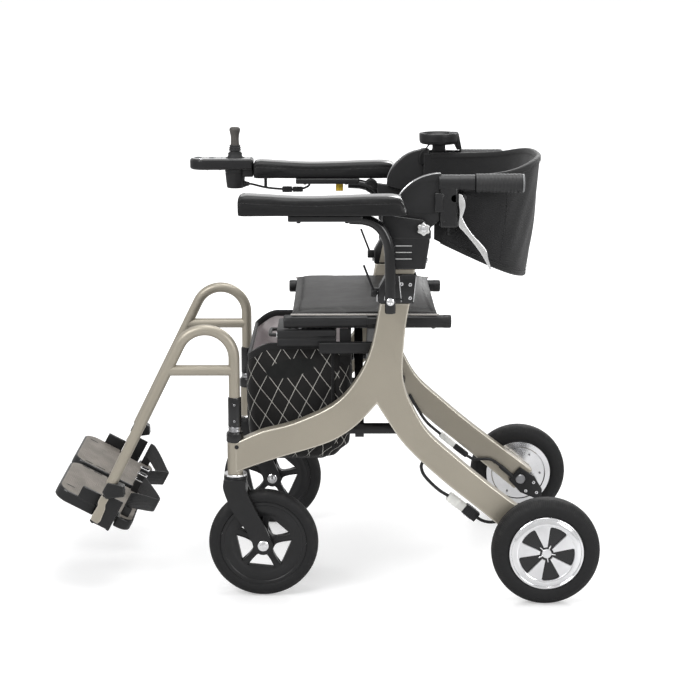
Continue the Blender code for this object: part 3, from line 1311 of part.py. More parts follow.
def plate_point(side, across, along, up):
    """A place on the tilted footplate, measured from its hinge line's middle."""
    cos_t, sin_t = math.cos(PLATE_TILT), math.sin(PLATE_TILT)
    return Vector(
        (
            side * (PLATE_HINGE_X - across),
            PLATE_HINGE_Y - along * cos_t + up * sin_t,
            PLATE_HINGE_Z + along * sin_t + up * cos_t,
        )
    )


def tilted(name, side, outline, low, high, surface):
    """A prism on the footplate's tilted plane."""
    bm = bmesh.new()
    bottom = [bm.verts.new(plate_point(side, a, b, low)) for a, b in outline]
    top = [bm.verts.new(plate_point(side, a, b, high)) for a, b in outline]
    bm.faces.new(bottom)
    bm.faces.new(top)
    for index in range(len(outline)):
        following = (index + 1) % len(outline)
        bm.faces.new((bottom[index], bottom[following], top[following], top[index]))
    return new_object(name, bm, surface)


def slanted_rod(name, side, radius, start, end, surface):
    """A round bar between two places on the footplate's tilted plane."""
    return tube(name, [plate_point(side, *start), plate_point(side, *end)], radius, surface)


def footplate(name, side):
    """The sole-shaped plate with its knuckle on the hinge line."""
    near = PLATE_HINGE_TO_EDGE
    far = PLATE_HINGE_X - PLATE_GAP / 2
    half = PLATE_LENGTH / 2
    round_front = 0.045
    round_back = 0.030
    outline = [(p.x, p.y) for p in arc((near + round_front, half - round_front), round_front, 180, 90, 6)]
    outline += [(p.x, p.y) for p in arc((far - 0.012, half - 0.012), 0.012, 90, 0, 3)]
    outline += [(p.x, p.y) for p in arc((far - 0.012, -half + 0.012), 0.012, 0, -90, 3)]
    outline += [(p.x, p.y) for p in arc((near + round_back, -half + round_back), round_back, -90, -180, 5)]
    outline = [(across, along + PLATE_FORWARD) for across, along in outline]
    plate = bevel(tilted(name, side, outline, 0, PLATE_THICKNESS, GREY), PLATE_EDGE)
    half_length = KNUCKLE_HALF_LENGTH
    start = (0, -half_length, 0)
    end = (0, half_length, 0)
    knuckle = slanted_rod(name + " knuckle", side, KNUCKLE_RADIUS, start, end, CHAMPAGNE)
    reach = near + 0.004
    edge = half_length - 0.0005
    shape = [(0, -edge), (0, edge), (reach, edge), (reach, -edge)]
    web = tilted(name + " clip", side, shape, 0.0005, KNUCKLE_RADIUS - 0.0005, CHAMPAGNE)
    return join(plate, knuckle, web)


def plate_hinge(name, side):
    """The ears and pin that carry the footplate, joined to the footrest."""
    reach = PLATE_THICKNESS + 0.004
    ears = []
    near = KNUCKLE_HALF_LENGTH + GAP
    far = near + 0.006
    half = KNUCKLE_RADIUS - 0.0005
    for label, low, high in (("front", near, far), ("back", -far, -near)):
        outline = [(-reach, low), (half, low), (half, high), (-reach, high)]
        ears.append(tilted(name + " ear " + label, side, outline, -half, half, BLACK))
    end = near + 0.0027
    pin = slanted_rod(name + " hinge pin", side, HINGE_PIN_RADIUS, (0, -end, 0), (0, end, 0), STEEL)
    end += 0.001
    bore = slanted_rod(name + " knuckle bore", side, HINGE_PIN_RADIUS + GAP, (0, -end, 0), (0, end, 0), STEEL)
    return ears, pin, bore


def heel_strap(name, side):
    """The webbing loop that stands behind the heel."""
    near = PLATE_HINGE_TO_EDGE
    far = PLATE_HINGE_X - PLATE_GAP / 2
    top = PLATE_THICKNESS + GAP
    route = [
        (near + 0.012, -0.020, top),
        (near + 0.012, -0.040, top + 0.010),
        (near + 0.022, -0.078, top + 0.020),
        (near + 0.050, -0.105, top + 0.026),
        ((near + far) / 2, -0.114, top + 0.028),
        (far - 0.050, -0.105, top + 0.026),
        (far - 0.022, -0.078, top + 0.020),
        (far - 0.012, -0.040, top + 0.010),
        (far - 0.012, -0.020, top),
    ]
    middle = Vector(((near + far) / 2, -0.02, 0))
    lift = Vector((0, 0, STRAP_WIDTH))
    rings = []
    for point in smooth(route, 2):
        outer = point + Vector((point.x - middle.x, point.y - middle.y, 0)).normalized() * STRAP_THICKNESS
        rings.append([plate_point(side, *corner) for corner in (point, outer, outer + lift, point + lift)])
    return loft(name, rings, FABRIC)


def motor_lead(name, route, end_x, plugs):
    """A lead through its route, square onto its bracket, with its two plugs."""
    end = BRACKET_REACH + GAP
    before, last = [(end_x, *arm_point(-end - back, -0.007)) for back in (LEAD_RADIUS, 0)]
    return join(tube(name, [*smooth([*route, before], 2), last], LEAD_RADIUS, RUBBER), *plugs)


def left_lead():
    """The left motor's lead, hung under the rear arm, with its two plugs."""
    x = FRAME_INNER_X + 2 * LEAD_RADIUS
    end_x = FRAME_INNER_X - GAP - BRACKET_THICKNESS / 2
    route = [
        (x, 0.1813, 0.2480),
        (x, 0.1784, 0.2453),
        (x, 0.1772, 0.2370),
        (x, 0.1840, 0.2210),
        (x - 0.002, 0.2080, 0.1960),
        (x - 0.004, 0.2330, 0.1790),
        (x - 0.008, 0.2620, 0.1560),
        (x - 0.010, 0.2880, 0.1350),
        (end_x, 0.3120, 0.1310),
        (end_x, 0.3380, 0.1390),
    ]
    plugs = [
        slant_box("left plug", x - 0.005, (0.2270, 0.1830), (0.2560, 0.1600), 0.0065, WHITE),
        slant_box("left socket", x - 0.009, (0.2565, 0.1597), (0.2800, 0.1405), 0.0075, BLACK),
    ]
    return motor_lead("left_motor_lead", route, end_x, plugs)


def right_lead():
    """The right motor's lead, clipped inside the rear arm, with its two plugs."""
    x = GAP + LEAD_RADIUS - FRAME_INNER_X
    end_x = GAP + BRACKET_THICKNESS / 2 - FRAME_INNER_X
    route = [
        (x, 0.1710, 0.2750),
        (x, 0.1850, 0.2500),
        (x, 0.2060, 0.2180),
        (x, 0.2350, 0.1920),
        (x, 0.2700, 0.1620),
        (x, 0.3000, 0.1400),
        (end_x, 0.3180, 0.1390),
        (end_x, 0.3390, 0.1380),
    ]
    plugs = [
        slant_box("right plug", x + 0.0005, (0.2350, 0.1920), (0.2630, 0.1680), 0.0045, WHITE),
        slant_box("right socket", x + 0.0005, (0.2635, 0.1676), (0.2900, 0.1470), 0.0045, BLACK),
    ]
    return motor_lead("right_motor_lead", route, end_x, plugs)


def slant_box(name, x, start, end, half, surface):
    """A square plug lying along a slanted line."""
    start, end = Vector(start), Vector(end)
    across = (end - start).orthogonal().normalized() * half * 1.3
    outline = [start + across, end + across, end - across, start - across]
    return extrude(name, outline, (x - half, x + half), "X", surface)


def build():
    for old in list(bpy.data.objects):
        bpy.data.objects.remove(old)
    root = joint("walker", (0, 0, 0))
    front = plate_point(1, 0, PLATE_LENGTH / 2 + PLATE_FORWARD, PLATE_EDGE).y
    root.location.y = -(front + REAR_AXLE_Y + REAR_WHEEL_RADIUS) / 2
    pin = (0, BRACE_A_Y, PIN_Z)
    arm_a_joint = joint("fold at left rail", (BRACE_X, BRACE_A_Y, LOWER_RAIL_Z), root)
    arm_b_joint = joint("fold at pin", pin, arm_a_joint)
    right_joint = joint("fold at right rail", (-BRACE_X, BRACE_B_Y, LOWER_RAIL_Z), arm_b_joint)
    arm_a, arm_b = cross_arms()
    carry(arm_a_joint, arm_a)
    carry(arm_b_joint, arm_b)
    holders = {1: root, -1: right_joint}
    for side_name, side in SIDES:
        base = holders[side]
        lower, rail = rails(side_name, side)
        carry(base, side_frame(side_name + "_side_frame", side), lower)
        carry(base, motor_bracket(side_name + "_motor_bracket", side))
        carry(base, clamp_collar(side_name + "_clamp_collar", side))
        carry(arm_b_joint if side > 0 else arm_a_joint, rail)
        caster = joint(side_name + " caster", (side * FRAME_X, HEAD_Y, HEAD_BOTTOM_Z), base)
        carry(caster, caster_fork(side_name + "_caster_fork", side))
        front = joint(side_name + " front axle", (side * FRAME_X, FRONT_AXLE_Y, FRONT_WHEEL_RADIUS), caster)
        carry(front, *front_wheel(side_name, side))
        rear = joint(side_name + " rear axle", (side * REAR_X, REAR_AXLE_Y, REAR_WHEEL_RADIUS), base)
        carry(rear, *rear_wheel(side_name, side))
        hinge_y, hinge_z = clamp_hinge()
        clamp = joint(side_name + " clamp", (side * FRAME_X, hinge_y, hinge_z), base)
        carry(clamp, clamp_lever(side_name + "_clamp_lever", side))
        height = joint(side_name + " height", (side * FRAME_X, UPRIGHT_Y, UPRIGHT_TOP_Z), base)
        carry(height, post(side_name + "_post", side), handle_bracket(side_name + "_handle_bracket", side))
        knob = joint(side_name + " knob", (side * CHEEK_OUTER_X, TILT_Y, TILT_Z), height)
        carry(knob, star_knob(side_name + "_star_knob", side))
        tilt = joint(side_name + " tilt", (side * SHELL_OUTER_X, TILT_Y, TILT_Z), height)
        shell, lever_axis = handle_head(side_name + "_handle_head", side)
        carry(tilt, shell, grip(side_name + "_grip", side))
        brake = joint(side_name + " brake", lever_axis, tilt)
        carry(brake, brake_lever(side_name + "_brake_lever", side))
        arm = joint(side_name + " armrest", (side * ARM_TUBE_X, ARM_PIVOT_Y, ARM_PIVOT_Z), base)
        carry(arm, arm_tube(side_name + "_arm_tube", side), arm_pad(side_name + "_arm_pad", side))
        swing = joint(side_name + " footrest swing", (side * FRAME_X, HEAD_Y, HEAD_TOP_Z), base)
        rest = footrest(side_name + "_footrest", side)
        ears, hinge_pin, bore = plate_hinge(rest.name, side)
        join(rest, *ears, hinge_pin)
        flip = joint(side_name + " plate hinge", plate_point(side, 0, 0, 0), swing)
        carry(swing, rest)
        plate = cut(footplate(side_name + "_footplate", side), bore)
        carry(flip, plate, heel_strap(side_name + "_heel_strap", side))
        holders[side_name] = (tilt, arm)
    left_tilt = holders["left"][0]
    right_tilt, right_arm = holders["right"]
    carry(arm_b_joint, seat())
    carry(root, bag(), left_lead())
    carry(right_joint, right_lead())
    pack, bar = battery()
    carry(root, bar)
    carry(joint("battery slide", (BATTERY_OUTER_X, BATTERY_FRONT_Y, BATTERY_BOTTOM_Z), root), pack)
    carry(left_tilt, backrest())
    carry(right_tilt, attendant_console())
    boot, stick, button, rocker = joystick_pieces()
    carry(right_arm, joystick_box(), joystick_cable())
    pivot = (-PAD_X, STICK_Y, STICK_PIVOT_Z)
    boot_joint = joint("joystick fore and aft", pivot, right_arm)
    carry(boot_joint, boot)
    carry(joint("joystick side to side", pivot, boot_joint), stick)
    carry(joint("power button press", (-PAD_X, BUTTON_Y, CONTROL_TOP_Z), right_arm), button)
    carry(joint("speed rocker tilt", (-PAD_X, ROCKER_Y, CONTROL_TOP_Z - 0.0025), right_arm), rocker)
    for helper in bpy.data.objects:
        if helper.hide_render:
            helper.parent = root


CHAMPAGNE = material("champagne paint", (0.55, 0.51, 0.44), 0.35, 0.6)
BLACK = material("black plastic", (0.025, 0.025, 0.027), 0.45, 0.0)
RUBBER = material("tyre rubber", (0.02, 0.02, 0.02), 0.75, 0.0)
GRIP_RUBBER = material("grip rubber", (0.03, 0.03, 0.032), 0.6, 0.0)
SILVER = material("polished aluminium", (0.8, 0.8, 0.8), 0.2, 1.0)
STEEL = material("steel", (0.6, 0.6, 0.6), 0.3, 1.0)
LEATHER = material("black leatherette", (0.03, 0.03, 0.032), 0.5, 0.0)
FABRIC = material("black fabric", (0.025, 0.025, 0.026), 0.8, 0.0)
GREY = material("grey rubber deck", (0.2, 0.19, 0.185), 0.7, 0.0)
WHITE = material("white nylon", (0.7, 0.7, 0.7), 0.5, 0.0)

build()
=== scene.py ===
"""An electric walker dressed for its picture: a folding, powered rollator with a seat and footrests.

Metres. X is the rider's left, Y is rearward and Z is up, as in the frame that it stands in.
"""

import json
import math

import bmesh
import bpy
from mathutils import Matrix, Vector


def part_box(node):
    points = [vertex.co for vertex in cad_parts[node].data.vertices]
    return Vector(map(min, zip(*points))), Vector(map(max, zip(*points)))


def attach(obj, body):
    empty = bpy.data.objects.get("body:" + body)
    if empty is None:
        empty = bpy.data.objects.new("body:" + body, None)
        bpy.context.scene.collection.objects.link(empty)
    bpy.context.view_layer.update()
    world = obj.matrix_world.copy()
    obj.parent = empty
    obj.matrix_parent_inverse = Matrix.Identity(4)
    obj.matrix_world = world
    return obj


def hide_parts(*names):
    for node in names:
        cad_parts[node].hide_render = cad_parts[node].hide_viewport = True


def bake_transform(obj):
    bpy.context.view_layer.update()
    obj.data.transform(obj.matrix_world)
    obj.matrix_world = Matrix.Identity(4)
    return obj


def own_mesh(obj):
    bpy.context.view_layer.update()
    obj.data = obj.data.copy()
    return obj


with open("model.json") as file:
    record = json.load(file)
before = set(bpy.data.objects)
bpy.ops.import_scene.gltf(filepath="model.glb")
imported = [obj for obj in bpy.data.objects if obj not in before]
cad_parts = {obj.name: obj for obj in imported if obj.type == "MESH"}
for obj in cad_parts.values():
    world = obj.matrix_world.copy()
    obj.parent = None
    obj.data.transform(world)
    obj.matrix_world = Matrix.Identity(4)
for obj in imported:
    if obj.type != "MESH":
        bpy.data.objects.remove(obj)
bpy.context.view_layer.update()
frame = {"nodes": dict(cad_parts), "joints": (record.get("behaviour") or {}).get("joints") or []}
JOINTS = {joint["name"]: Vector(joint["pos_m"]) for joint in frame["joints"] if "pos_m" in joint}
SIDES = (("left", 1), ("right", -1))

# Camera
# The picture is taken from the rider's left, over three metres away and from above the handles,
# through a long lens.


def added(name, data):
    """A new object of some data, put in the scene."""
    made = bpy.data.objects.new(name, data)
    bpy.context.scene.collection.objects.link(made)
    return made


lens = bpy.data.cameras.new("camera")
lens.lens = 92.07
lens.sensor_width = 36
camera = added("camera", lens)
camera.location = (3.34949, 0.028353, 1.12172)
camera.rotation_euler = (math.radians(90 - 11.9795), 0, math.radians(90 - 0.2847))
bpy.context.scene.camera = camera
bpy.context.scene.view_settings.view_transform = "Standard"

# Studio
# A pale seamless floor under large soft lamps. The floor and the surroundings show white to the
# lens and in reflections, and the floor keeps the soft shadow.
WHITE = (1.0, 1.0, 1.0, 1.0)


class Value:
    """One output of a node. Sums of values add the Math nodes that they need."""

    def __init__(self, nodes, socket):
        self.nodes = nodes
        self.socket = socket

    def math(self, operation, *parts):
        return self.nodes.node("ShaderNodeMath", {"operation": operation}, dict(enumerate(parts)))

    def __add__(self, other):
        return self.math("ADD", self, other)

    def __sub__(self, other):
        return self.math("SUBTRACT", self, other)

    def __rsub__(self, other):
        return self.math("SUBTRACT", other, self)

    def __mul__(self, other):
        return self.math("MULTIPLY", self, other)

    def __truediv__(self, other):
        return self.math("DIVIDE", self, other)

    __radd__ = __add__
    __rmul__ = __mul__

    def sine(self):
        return self.math("SINE", self)

    def size(self):
        return self.math("ABSOLUTE", self)

    def fraction(self):
        return self.math("FRACT", self)

    def between(self, low, high):
        """0 below the low value, 1 above the high one, and smooth between."""
        settings = {"interpolation_type": "SMOOTHSTEP"}
        return self.nodes.node("ShaderNodeMapRange", settings, {0: self, 1: low, 2: high})


class Nodes:
    """A node tree that is being written."""

    def __init__(self, tree):
        self.tree = tree

    def node(self, kind, settings=None, inputs=None, output=0):
        """Add a node with its settings, then the values or links of its sockets."""
        made = self.tree.nodes.new(kind)
        for name, value in (settings or {}).items():
            setattr(made, name, value)
        for name, value in (inputs or {}).items():
            self.feed(made.inputs[name], value)
        return Value(self, made.outputs[output])

    def feed(self, socket, value):
        if isinstance(value, Value):
            self.tree.links.new(value.socket, socket)
        else:
            socket.default_value = value


class Finish(Nodes):
    """A surface finish on a principled shader."""

    def __init__(self, name, roughness=0.5, metallic=0.0, **fixed):
        self.material = bpy.data.materials.new(name)
        self.material.use_nodes = True
        super().__init__(self.material.node_tree)
        self.shader = self.tree.nodes["Principled BSDF"]
        self.place = self.node("ShaderNodeTexCoord", output="Object")
        self.set("Roughness", roughness)
        self.set("Metallic", metallic)
        for name, value in fixed.items():
            self.set(name.replace("_", " "), value)

    def set(self, socket, value):
        self.feed(self.shader.inputs[socket], value)

    def noise(self, scale, detail=3.0, place=None):
        inputs = {"Vector": place or self.place, "Scale": scale, "Detail": detail}
        return self.node("ShaderNodeTexNoise", {}, inputs)

    def cells(self, scale, feature="SMOOTH_F1", place=None):
        inputs = {"Vector": place or self.place, "Scale": scale}
        return self.node("ShaderNodeTexVoronoi", {"feature": feature}, inputs)

    def mix(self, share, first, second):
        return self.node("ShaderNodeMix", {"data_type": "RGBA"}, {0: share, 6: first, 7: second}, 2)

    def axes(self, place=None):
        apart = self.node("ShaderNodeSeparateXYZ", {}, {0: place or self.place})
        return [Value(self, socket) for socket in apart.socket.node.outputs]

    def relief(self, height, depth, strength=1.0):
        """Raise the surface by a height from 0 to 1 times the depth."""
        inputs = {"Height": height, "Distance": depth, "Strength": strength}
        self.set("Normal", self.node("ShaderNodeBump", {}, inputs))


def shade(red, green, blue):
    """A screen colour of 0 to 255 as light."""

    def light(part):
        part /= 255
        return part / 12.92 if part <= 0.04045 else ((part + 0.055) / 1.055) ** 2.4

    return (light(red), light(green), light(blue), 1.0)


def toned(colour, share):
    """A colour made darker or lighter."""
    return tuple(min(1.0, part * share) for part in colour[:3]) + (1.0,)


floor_finish = Finish("studio floor", 0.34, Specular_IOR_Level=0.3)
floor_grain = floor_finish.noise(3.0, 2.0)
floor_finish.set("Base Color", floor_finish.mix(floor_grain, shade(226, 226, 227), shade(229, 229, 229)))
from_lens = floor_finish.node("ShaderNodeLightPath", output="Is Camera Ray")
from_middle = floor_finish.node("ShaderNodeVectorMath", {"operation": "LENGTH"}, {0: floor_finish.place},
    "Value")
strength = from_lens * (0.38 + 0.62 * from_middle.between(1.0, 3.2))
glow = floor_finish.node("ShaderNodeEmission", {}, {"Color": WHITE, "Strength": strength})
together = floor_finish.node("ShaderNodeAddShader", {}, {0: glow})
floor_finish.tree.links.new(floor_finish.shader.outputs[0], together.socket.node.inputs[1])
floor_finish.tree.links.new(together.socket, floor_finish.tree.nodes["Material Output"].inputs[0])
floor_mesh = bpy.data.meshes.new("floor")
corners = [(-60, -60, 0), (60, -60, 0), (60, 60, 0), (-60, 60, 0)]
floor_mesh.from_pydata(corners, [], [(0, 1, 2, 3)])
floor_mesh.materials.append(floor_finish.material)
floor = added("floor", floor_mesh)

world = bpy.data.worlds.new("studio")
world.use_nodes = True
bpy.context.scene.world = world
sky = Nodes(world.node_tree)
rays = sky.node("ShaderNodeLightPath", output="Is Camera Ray")
glossy = Value(sky, rays.socket.node.outputs["Is Glossy Ray"])
seen = rays.math("MAXIMUM", rays, glossy * 0.75)
sky.feed(world.node_tree.nodes["Background"].inputs["Color"], WHITE)
sky.feed(world.node_tree.nodes["Background"].inputs["Strength"], seen.math("MAXIMUM", seen, 0.42))

LAMPS = (
    ("key lamp", (2.3, -2.0, 2.7), 1.6, 62),
    ("side lamp", (2.6, 2.3, 1.5), 1.3, 30),
    ("top lamp", (0.1, 0.2, 3.0), 1.8, 46),
    ("back lamp", (-2.4, 1.0, 2.0), 1.4, 30),
)
for lamp_name, lamp_place, lamp_size, power in LAMPS:
    light = bpy.data.lights.new(lamp_name, "AREA")
    light.size = lamp_size
    light.energy = power
    lamp = added(lamp_name, light)
    lamp.location = lamp_place
    lamp.rotation_euler = (Vector((0, 0.05, 0.4)) - Vector(lamp_place)).to_track_quat("-Z", "Y").to_euler()

# Side frames
# Each is one thick cast and machined Y plate, painted champagne, with a head tube at its front, a
# pocket for the handle post in its upright and the motor's arm behind.
HEAD = JOINTS["left_footrest_swing"]
CASTER = JOINTS["left_caster_swivel"]
FRONT_AXLE = JOINTS["left_front_wheel_spin"]
REAR_AXLE = JOINTS["left_rear_wheel_spin"]
UPRIGHT = Vector((HEAD.x, REAR_AXLE.y - 0.2725, 0.5445))
UPRIGHT_LEAN = math.radians(11.5)
FRAME_HALF = 0.014
FRAME_EDGE = 0.0025


def champagne(name, colour, roughness):
    """Champagne paint: a satin metallic coat with fine flake and a slight orange peel."""
    finish = Finish(name, roughness, 0.42, Coat_Weight=0.12, Coat_Roughness=0.3)
    tone = finish.noise(9.0, 4.0).between(0.3, 0.7)
    darker = toned(colour, 0.93)
    flake = finish.cells(1500.0, "F1").between(0.05, 0.5)
    lighter = toned(colour, 1.06)
    finish.set("Base Color", finish.mix(flake, lighter, finish.mix(tone, darker, colour)))
    finish.set("Roughness", roughness + 0.1 * finish.noise(26.0, 5.0) - 0.05 + 0.04 * flake)
    finish.relief(finish.noise(420.0, 2.0) + 0.25 * finish.noise(2600.0, 2.0), 0.00006, 0.7)
    return finish.material


CHAMPAGNE = champagne("champagne paint", shade(163, 156, 142), 0.36)
# A lighter, shinier copy of the paint for rounded edges: a painted highlight along the bevels.
HIGHLIGHT_EDGE_PAINT = champagne("champagne edge", shade(206, 200, 186), 0.22)


def moulded(name, colour, roughness, grain=1900.0, depth=0.00009, gloss=0.5):
    """Moulded plastic or powder coat: a fine spark-eroded grain, a little uneven in gloss."""
    finish = Finish(name, roughness, Specular_IOR_Level=gloss)
    tone = finish.noise(32.0, 4.0).between(0.3, 0.75)
    finish.set("Base Color", finish.mix(tone, colour, toned(colour, 1.35)))
    fine = finish.noise(grain, 3.0)
    finish.set("Roughness", roughness - 0.07 + 0.12 * finish.noise(55.0, 5.0) + 0.05 * fine)
    finish.relief(fine + 0.5 * finish.cells(grain * 0.45), depth, 0.8)
    return finish.material


BLACK = moulded("black plastic", shade(24, 24, 25), 0.4, gloss=0.36)
POWDER = moulded("black powder coat", shade(22, 22, 23), 0.34, 2600.0, 0.00006, 0.36)
GLOSS = moulded("gloss black paint", shade(20, 20, 21), 0.16, 900.0, 0.00002)


def bright(name, colour, roughness, brushed=0.0):
    """Bare metal: polished, with faint turning marks or a satin face."""
    finish = Finish(name, roughness, 1.0)
    tone = finish.noise(140.0, 4.0)
    finish.set("Base Color", finish.mix(tone, toned(colour, 0.88), colour))
    finish.set("Roughness", roughness + 0.12 * finish.noise(60.0, 5.0) - 0.04)
    x, y, z = finish.axes()
    lines = finish.node("ShaderNodeCombineXYZ", {}, {0: x * 60, 1: y * 2200, 2: z * 2200})
    finish.relief(finish.noise(1.0, 2.0, lines), 0.00003, 0.35 + brushed)
    return finish.material


CHROME = bright("bright steel", (0.82, 0.82, 0.83, 1.0), 0.13)
STEEL = bright("dark steel", (0.34, 0.34, 0.35, 1.0), 0.3, 0.3)
ALLOY = bright("cast alloy", (0.8, 0.8, 0.79, 1.0), 0.27, 0.4)


def smooth(points, steps=6):
    """A smooth curve through the points, with some steps between each pair."""
    points = [Vector(point) for point in points]
    padded = [2 * points[0] - points[1], *points, 2 * points[-1] - points[-2]]
    curve = []
    for a, b, c, d in zip(padded, padded[1:], padded[2:], padded[3:]):
        for step in range(steps):
            t = step / steps
            bend = (2 * a - 5 * b + 4 * c - d) * t**2 + (3 * b - a - 3 * c + d) * t**3
            curve.append(0.5 * (2 * b + (c - a) * t + bend))
    return [*curve, points[-1]]


def mm(*points, at=(0, 0, 0)):
    """Points given in millimetres from a place, as metres."""
    return [tuple(start + round(part / 1000, 7) for start, part in zip(at, point)) for point in points]


def about(middle, half):
    """Two places, one on each side of a middle."""
    return (middle - half, middle + half)


def beyond(side, near, far):
    """Two places on a side of the walker in millimetres from its middle, the lower one first."""
    return sorted((side * round(near / 1000, 7), side * round(far / 1000, 7)))


def oblong(x, y):
    """The corners of an oblong between two places on each axis."""
    return [(x[0], y[0]), (x[1], y[0]), (x[1], y[1]), (x[0], y[1])]


def cylinder(radius, low, high):
    """The profile of a plain cylinder."""
    return [(0, low), (radius, low), (radius, high), (0, high)]


def outward(profile, side, face=0):
    """A profile drawn outward from a face, for either side."""
    return [(radius, face + side * along) for radius, along in profile]


def arc(centre, radius, start, end, steps=12):
    """Points on an arc, in degrees."""
    turns = [math.radians(start + (end - start) * i / steps) for i in range(steps + 1)]
    return [Vector((centre[0] + radius * math.cos(t), centre[1] + radius * math.sin(t))) for t in turns]


def spread(axis, a, b, c):
    """A point from two outline coordinates and a place along the axis."""
    return Vector({"X": (c, a, b), "Y": (a, c, b), "Z": (a, b, c)}[axis])


def skin(bm, rings, closed=False):
    """Faces from each ring of corners to the next one."""
    faces = []
    for near, far in zip(rings, [*rings[1:], rings[0]] if closed else rings[1:]):
        for corners in zip(near, [*near[1:], near[0]], [*far[1:], far[0]], far):
            corners = dict.fromkeys(corners)
            if len(corners) > 2:
                faces.append(bm.faces.new(corners))
    return faces


def shape(name, bm, *finishes, sharp=32):
    """Turn a finished bmesh into a shaded object."""
    bmesh.ops.remove_doubles(bm, verts=bm.verts, dist=1e-6)
    bmesh.ops.recalc_face_normals(bm, faces=bm.faces)
    mesh = bpy.data.meshes.new(name)
    bm.to_mesh(mesh)
    bm.free()
    for finish in finishes:
        mesh.materials.append(finish)
    mesh.shade_smooth()
    mesh.set_sharp_from_angle(angle=math.radians(sharp))
    return added(name, mesh)


def plate(name, outline, ends, axis, *finishes, sharp=32):
    """A prism of an outline between two places along an axis."""
    low, high = min(ends), max(ends)
    bm = bmesh.new()
    face = bm.faces.new([bm.verts.new(spread(axis, a, b, low)) for a, b in outline])
    grown = bmesh.ops.extrude_face_region(bm, geom=[face])["geom"]
    corners = [part for part in grown if isinstance(part, bmesh.types.BMVert)]
    bmesh.ops.translate(bm, vec=spread(axis, 0, 0, high - low), verts=corners)
    return shape(name, bm, *finishes, sharp=sharp)


def block(name, x, y, z, *finishes):
    """A box between two places on each axis."""
    return plate(name, oblong(x, y), z, "Z", *finishes)


def turned(name, profile, centre, axis, *finishes, segments=64, closed=False):
    """A turned piece from (radius, distance along the axis) points."""
    bm = bmesh.new()
    rings = []
    for radius, along in profile:
        if radius < 1e-6:
            rings.append([bm.verts.new(Vector(centre) + spread(axis, 0, 0, along))] * segments)
            continue
        ring = []
        for index in range(segments):
            angle = 2 * math.pi * index / segments
            place = spread(axis, radius * math.cos(angle), radius * math.sin(angle), along)
            ring.append(bm.verts.new(Vector(centre) + place))
        rings.append(ring)
    skin(bm, rings, closed)
    return shape(name, bm, *finishes)


def swept(name, path, section, up, *finishes, closed=False, sizes=None):
    """A section of (side, up) points carried along a path, with its ends capped."""
    path = [Vector(point) for point in path]
    bm = bmesh.new()
    rings = []
    count = len(path)
    for index, point in enumerate(path):
        before = path[index - 1] if index or closed else point
        after = path[(index + 1) % count] if index < count - 1 or closed else point
        ahead = (after - before).normalized()
        level = up[index] if isinstance(up, list) else Vector(up)
        side = ahead.cross(level).normalized()
        rise = side.cross(ahead).normalized()
        size = sizes[index] if sizes else 1.0
        rings.append([bm.verts.new(point + (side * a + rise * b) * size) for a, b in section])
    skin(bm, rings, closed)
    if not closed:
        bm.faces.new(rings[0])
        bm.faces.new(rings[-1])
    return shape(name, bm, *finishes)


def pipe(name, path, radius, *finishes, sides=24, up=(1, 0, 0), rounded=0.0):
    """A round tube along a path, its ends rounded over by some of its radius."""
    path = [Vector(point) for point in path]
    sizes = [1.0] * len(path)
    if rounded:
        first = (path[0] - path[1]).normalized()
        last = (path[-1] - path[-2]).normalized()
        turns = [math.radians(angle) for angle in (15, 35, 55, 75, 88)]
        head = [path[0] + first * rounded * math.sin(t) for t in turns]
        tail = [path[-1] + last * rounded * math.sin(t) for t in turns]
        shrink = [1 - rounded / radius * (1 - math.cos(t)) for t in turns]
        path = [*reversed(head), *path, *tail]
        sizes = [*reversed(shrink), *sizes, *shrink]
    section = [(radius * math.cos(t), radius * math.sin(t))
        for t in (math.tau * i / sides for i in range(sides))]
    return swept(name, path, section, up, *finishes, sizes=sizes)


def rounded(piece, width, segments=3, finish=0):
    """Round the edges of a piece, and give the rounding a finish of its own if it has one."""
    edge = piece.modifiers.new("rounded edges", "BEVEL")
    edge.width = width
    edge.segments = segments
    edge.limit_method = "ANGLE"
    edge.angle_limit = math.radians(32)
    edge.material = finish
    edge.harden_normals = False
    return piece


def cut(piece, *cutters):
    """Cut other pieces out of one, and let them go."""
    for cutter in cutters:
        change = piece.modifiers.new("cut", "BOOLEAN")
        change.operation = "DIFFERENCE"
        change.object = cutter
    return settle(piece, cutters)


def settle(piece, spent=()):
    """Keep a piece's shape as a plain mesh, with no modifier left on it."""
    seen_now = piece.evaluated_get(bpy.context.evaluated_depsgraph_get())
    mesh = bpy.data.meshes.new_from_object(seen_now, depsgraph=bpy.context.evaluated_depsgraph_get())
    piece.modifiers.clear()
    piece.data = mesh
    mesh.shade_smooth()
    mesh.set_sharp_from_angle(angle=math.radians(32))
    for other in spent:
        bpy.data.objects.remove(other)
    return piece


def join(name, *pieces):
    """Put finished pieces of one body together as one object."""
    bm = bmesh.new()
    finishes = []
    for piece in pieces:
        settle(piece)
        start = len(bm.faces)
        bm.from_mesh(piece.data)
        bm.faces.ensure_lookup_table()
        for finish in piece.data.materials:
            if finish not in finishes:
                finishes.append(finish)
        for face in bm.faces[start:]:
            face.material_index = finishes.index(piece.data.materials[face.material_index])
        bpy.data.objects.remove(piece)
    mesh = bpy.data.meshes.new(name)
    bm.to_mesh(mesh)
    bm.free()
    for finish in finishes:
        mesh.materials.append(finish)
    mesh.shade_smooth()
    mesh.set_sharp_from_angle(angle=math.radians(32))
    return added(name, mesh)


def fit(piece, body, slot, *nodes):
    """Fix a finished piece to its body, in place of the solids that it stands for."""
    piece.name = piece.name.replace(" ", "_")
    if piece.modifiers:
        settle(piece)
    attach(piece, body)
    if nodes:
        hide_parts(*nodes)
    return piece


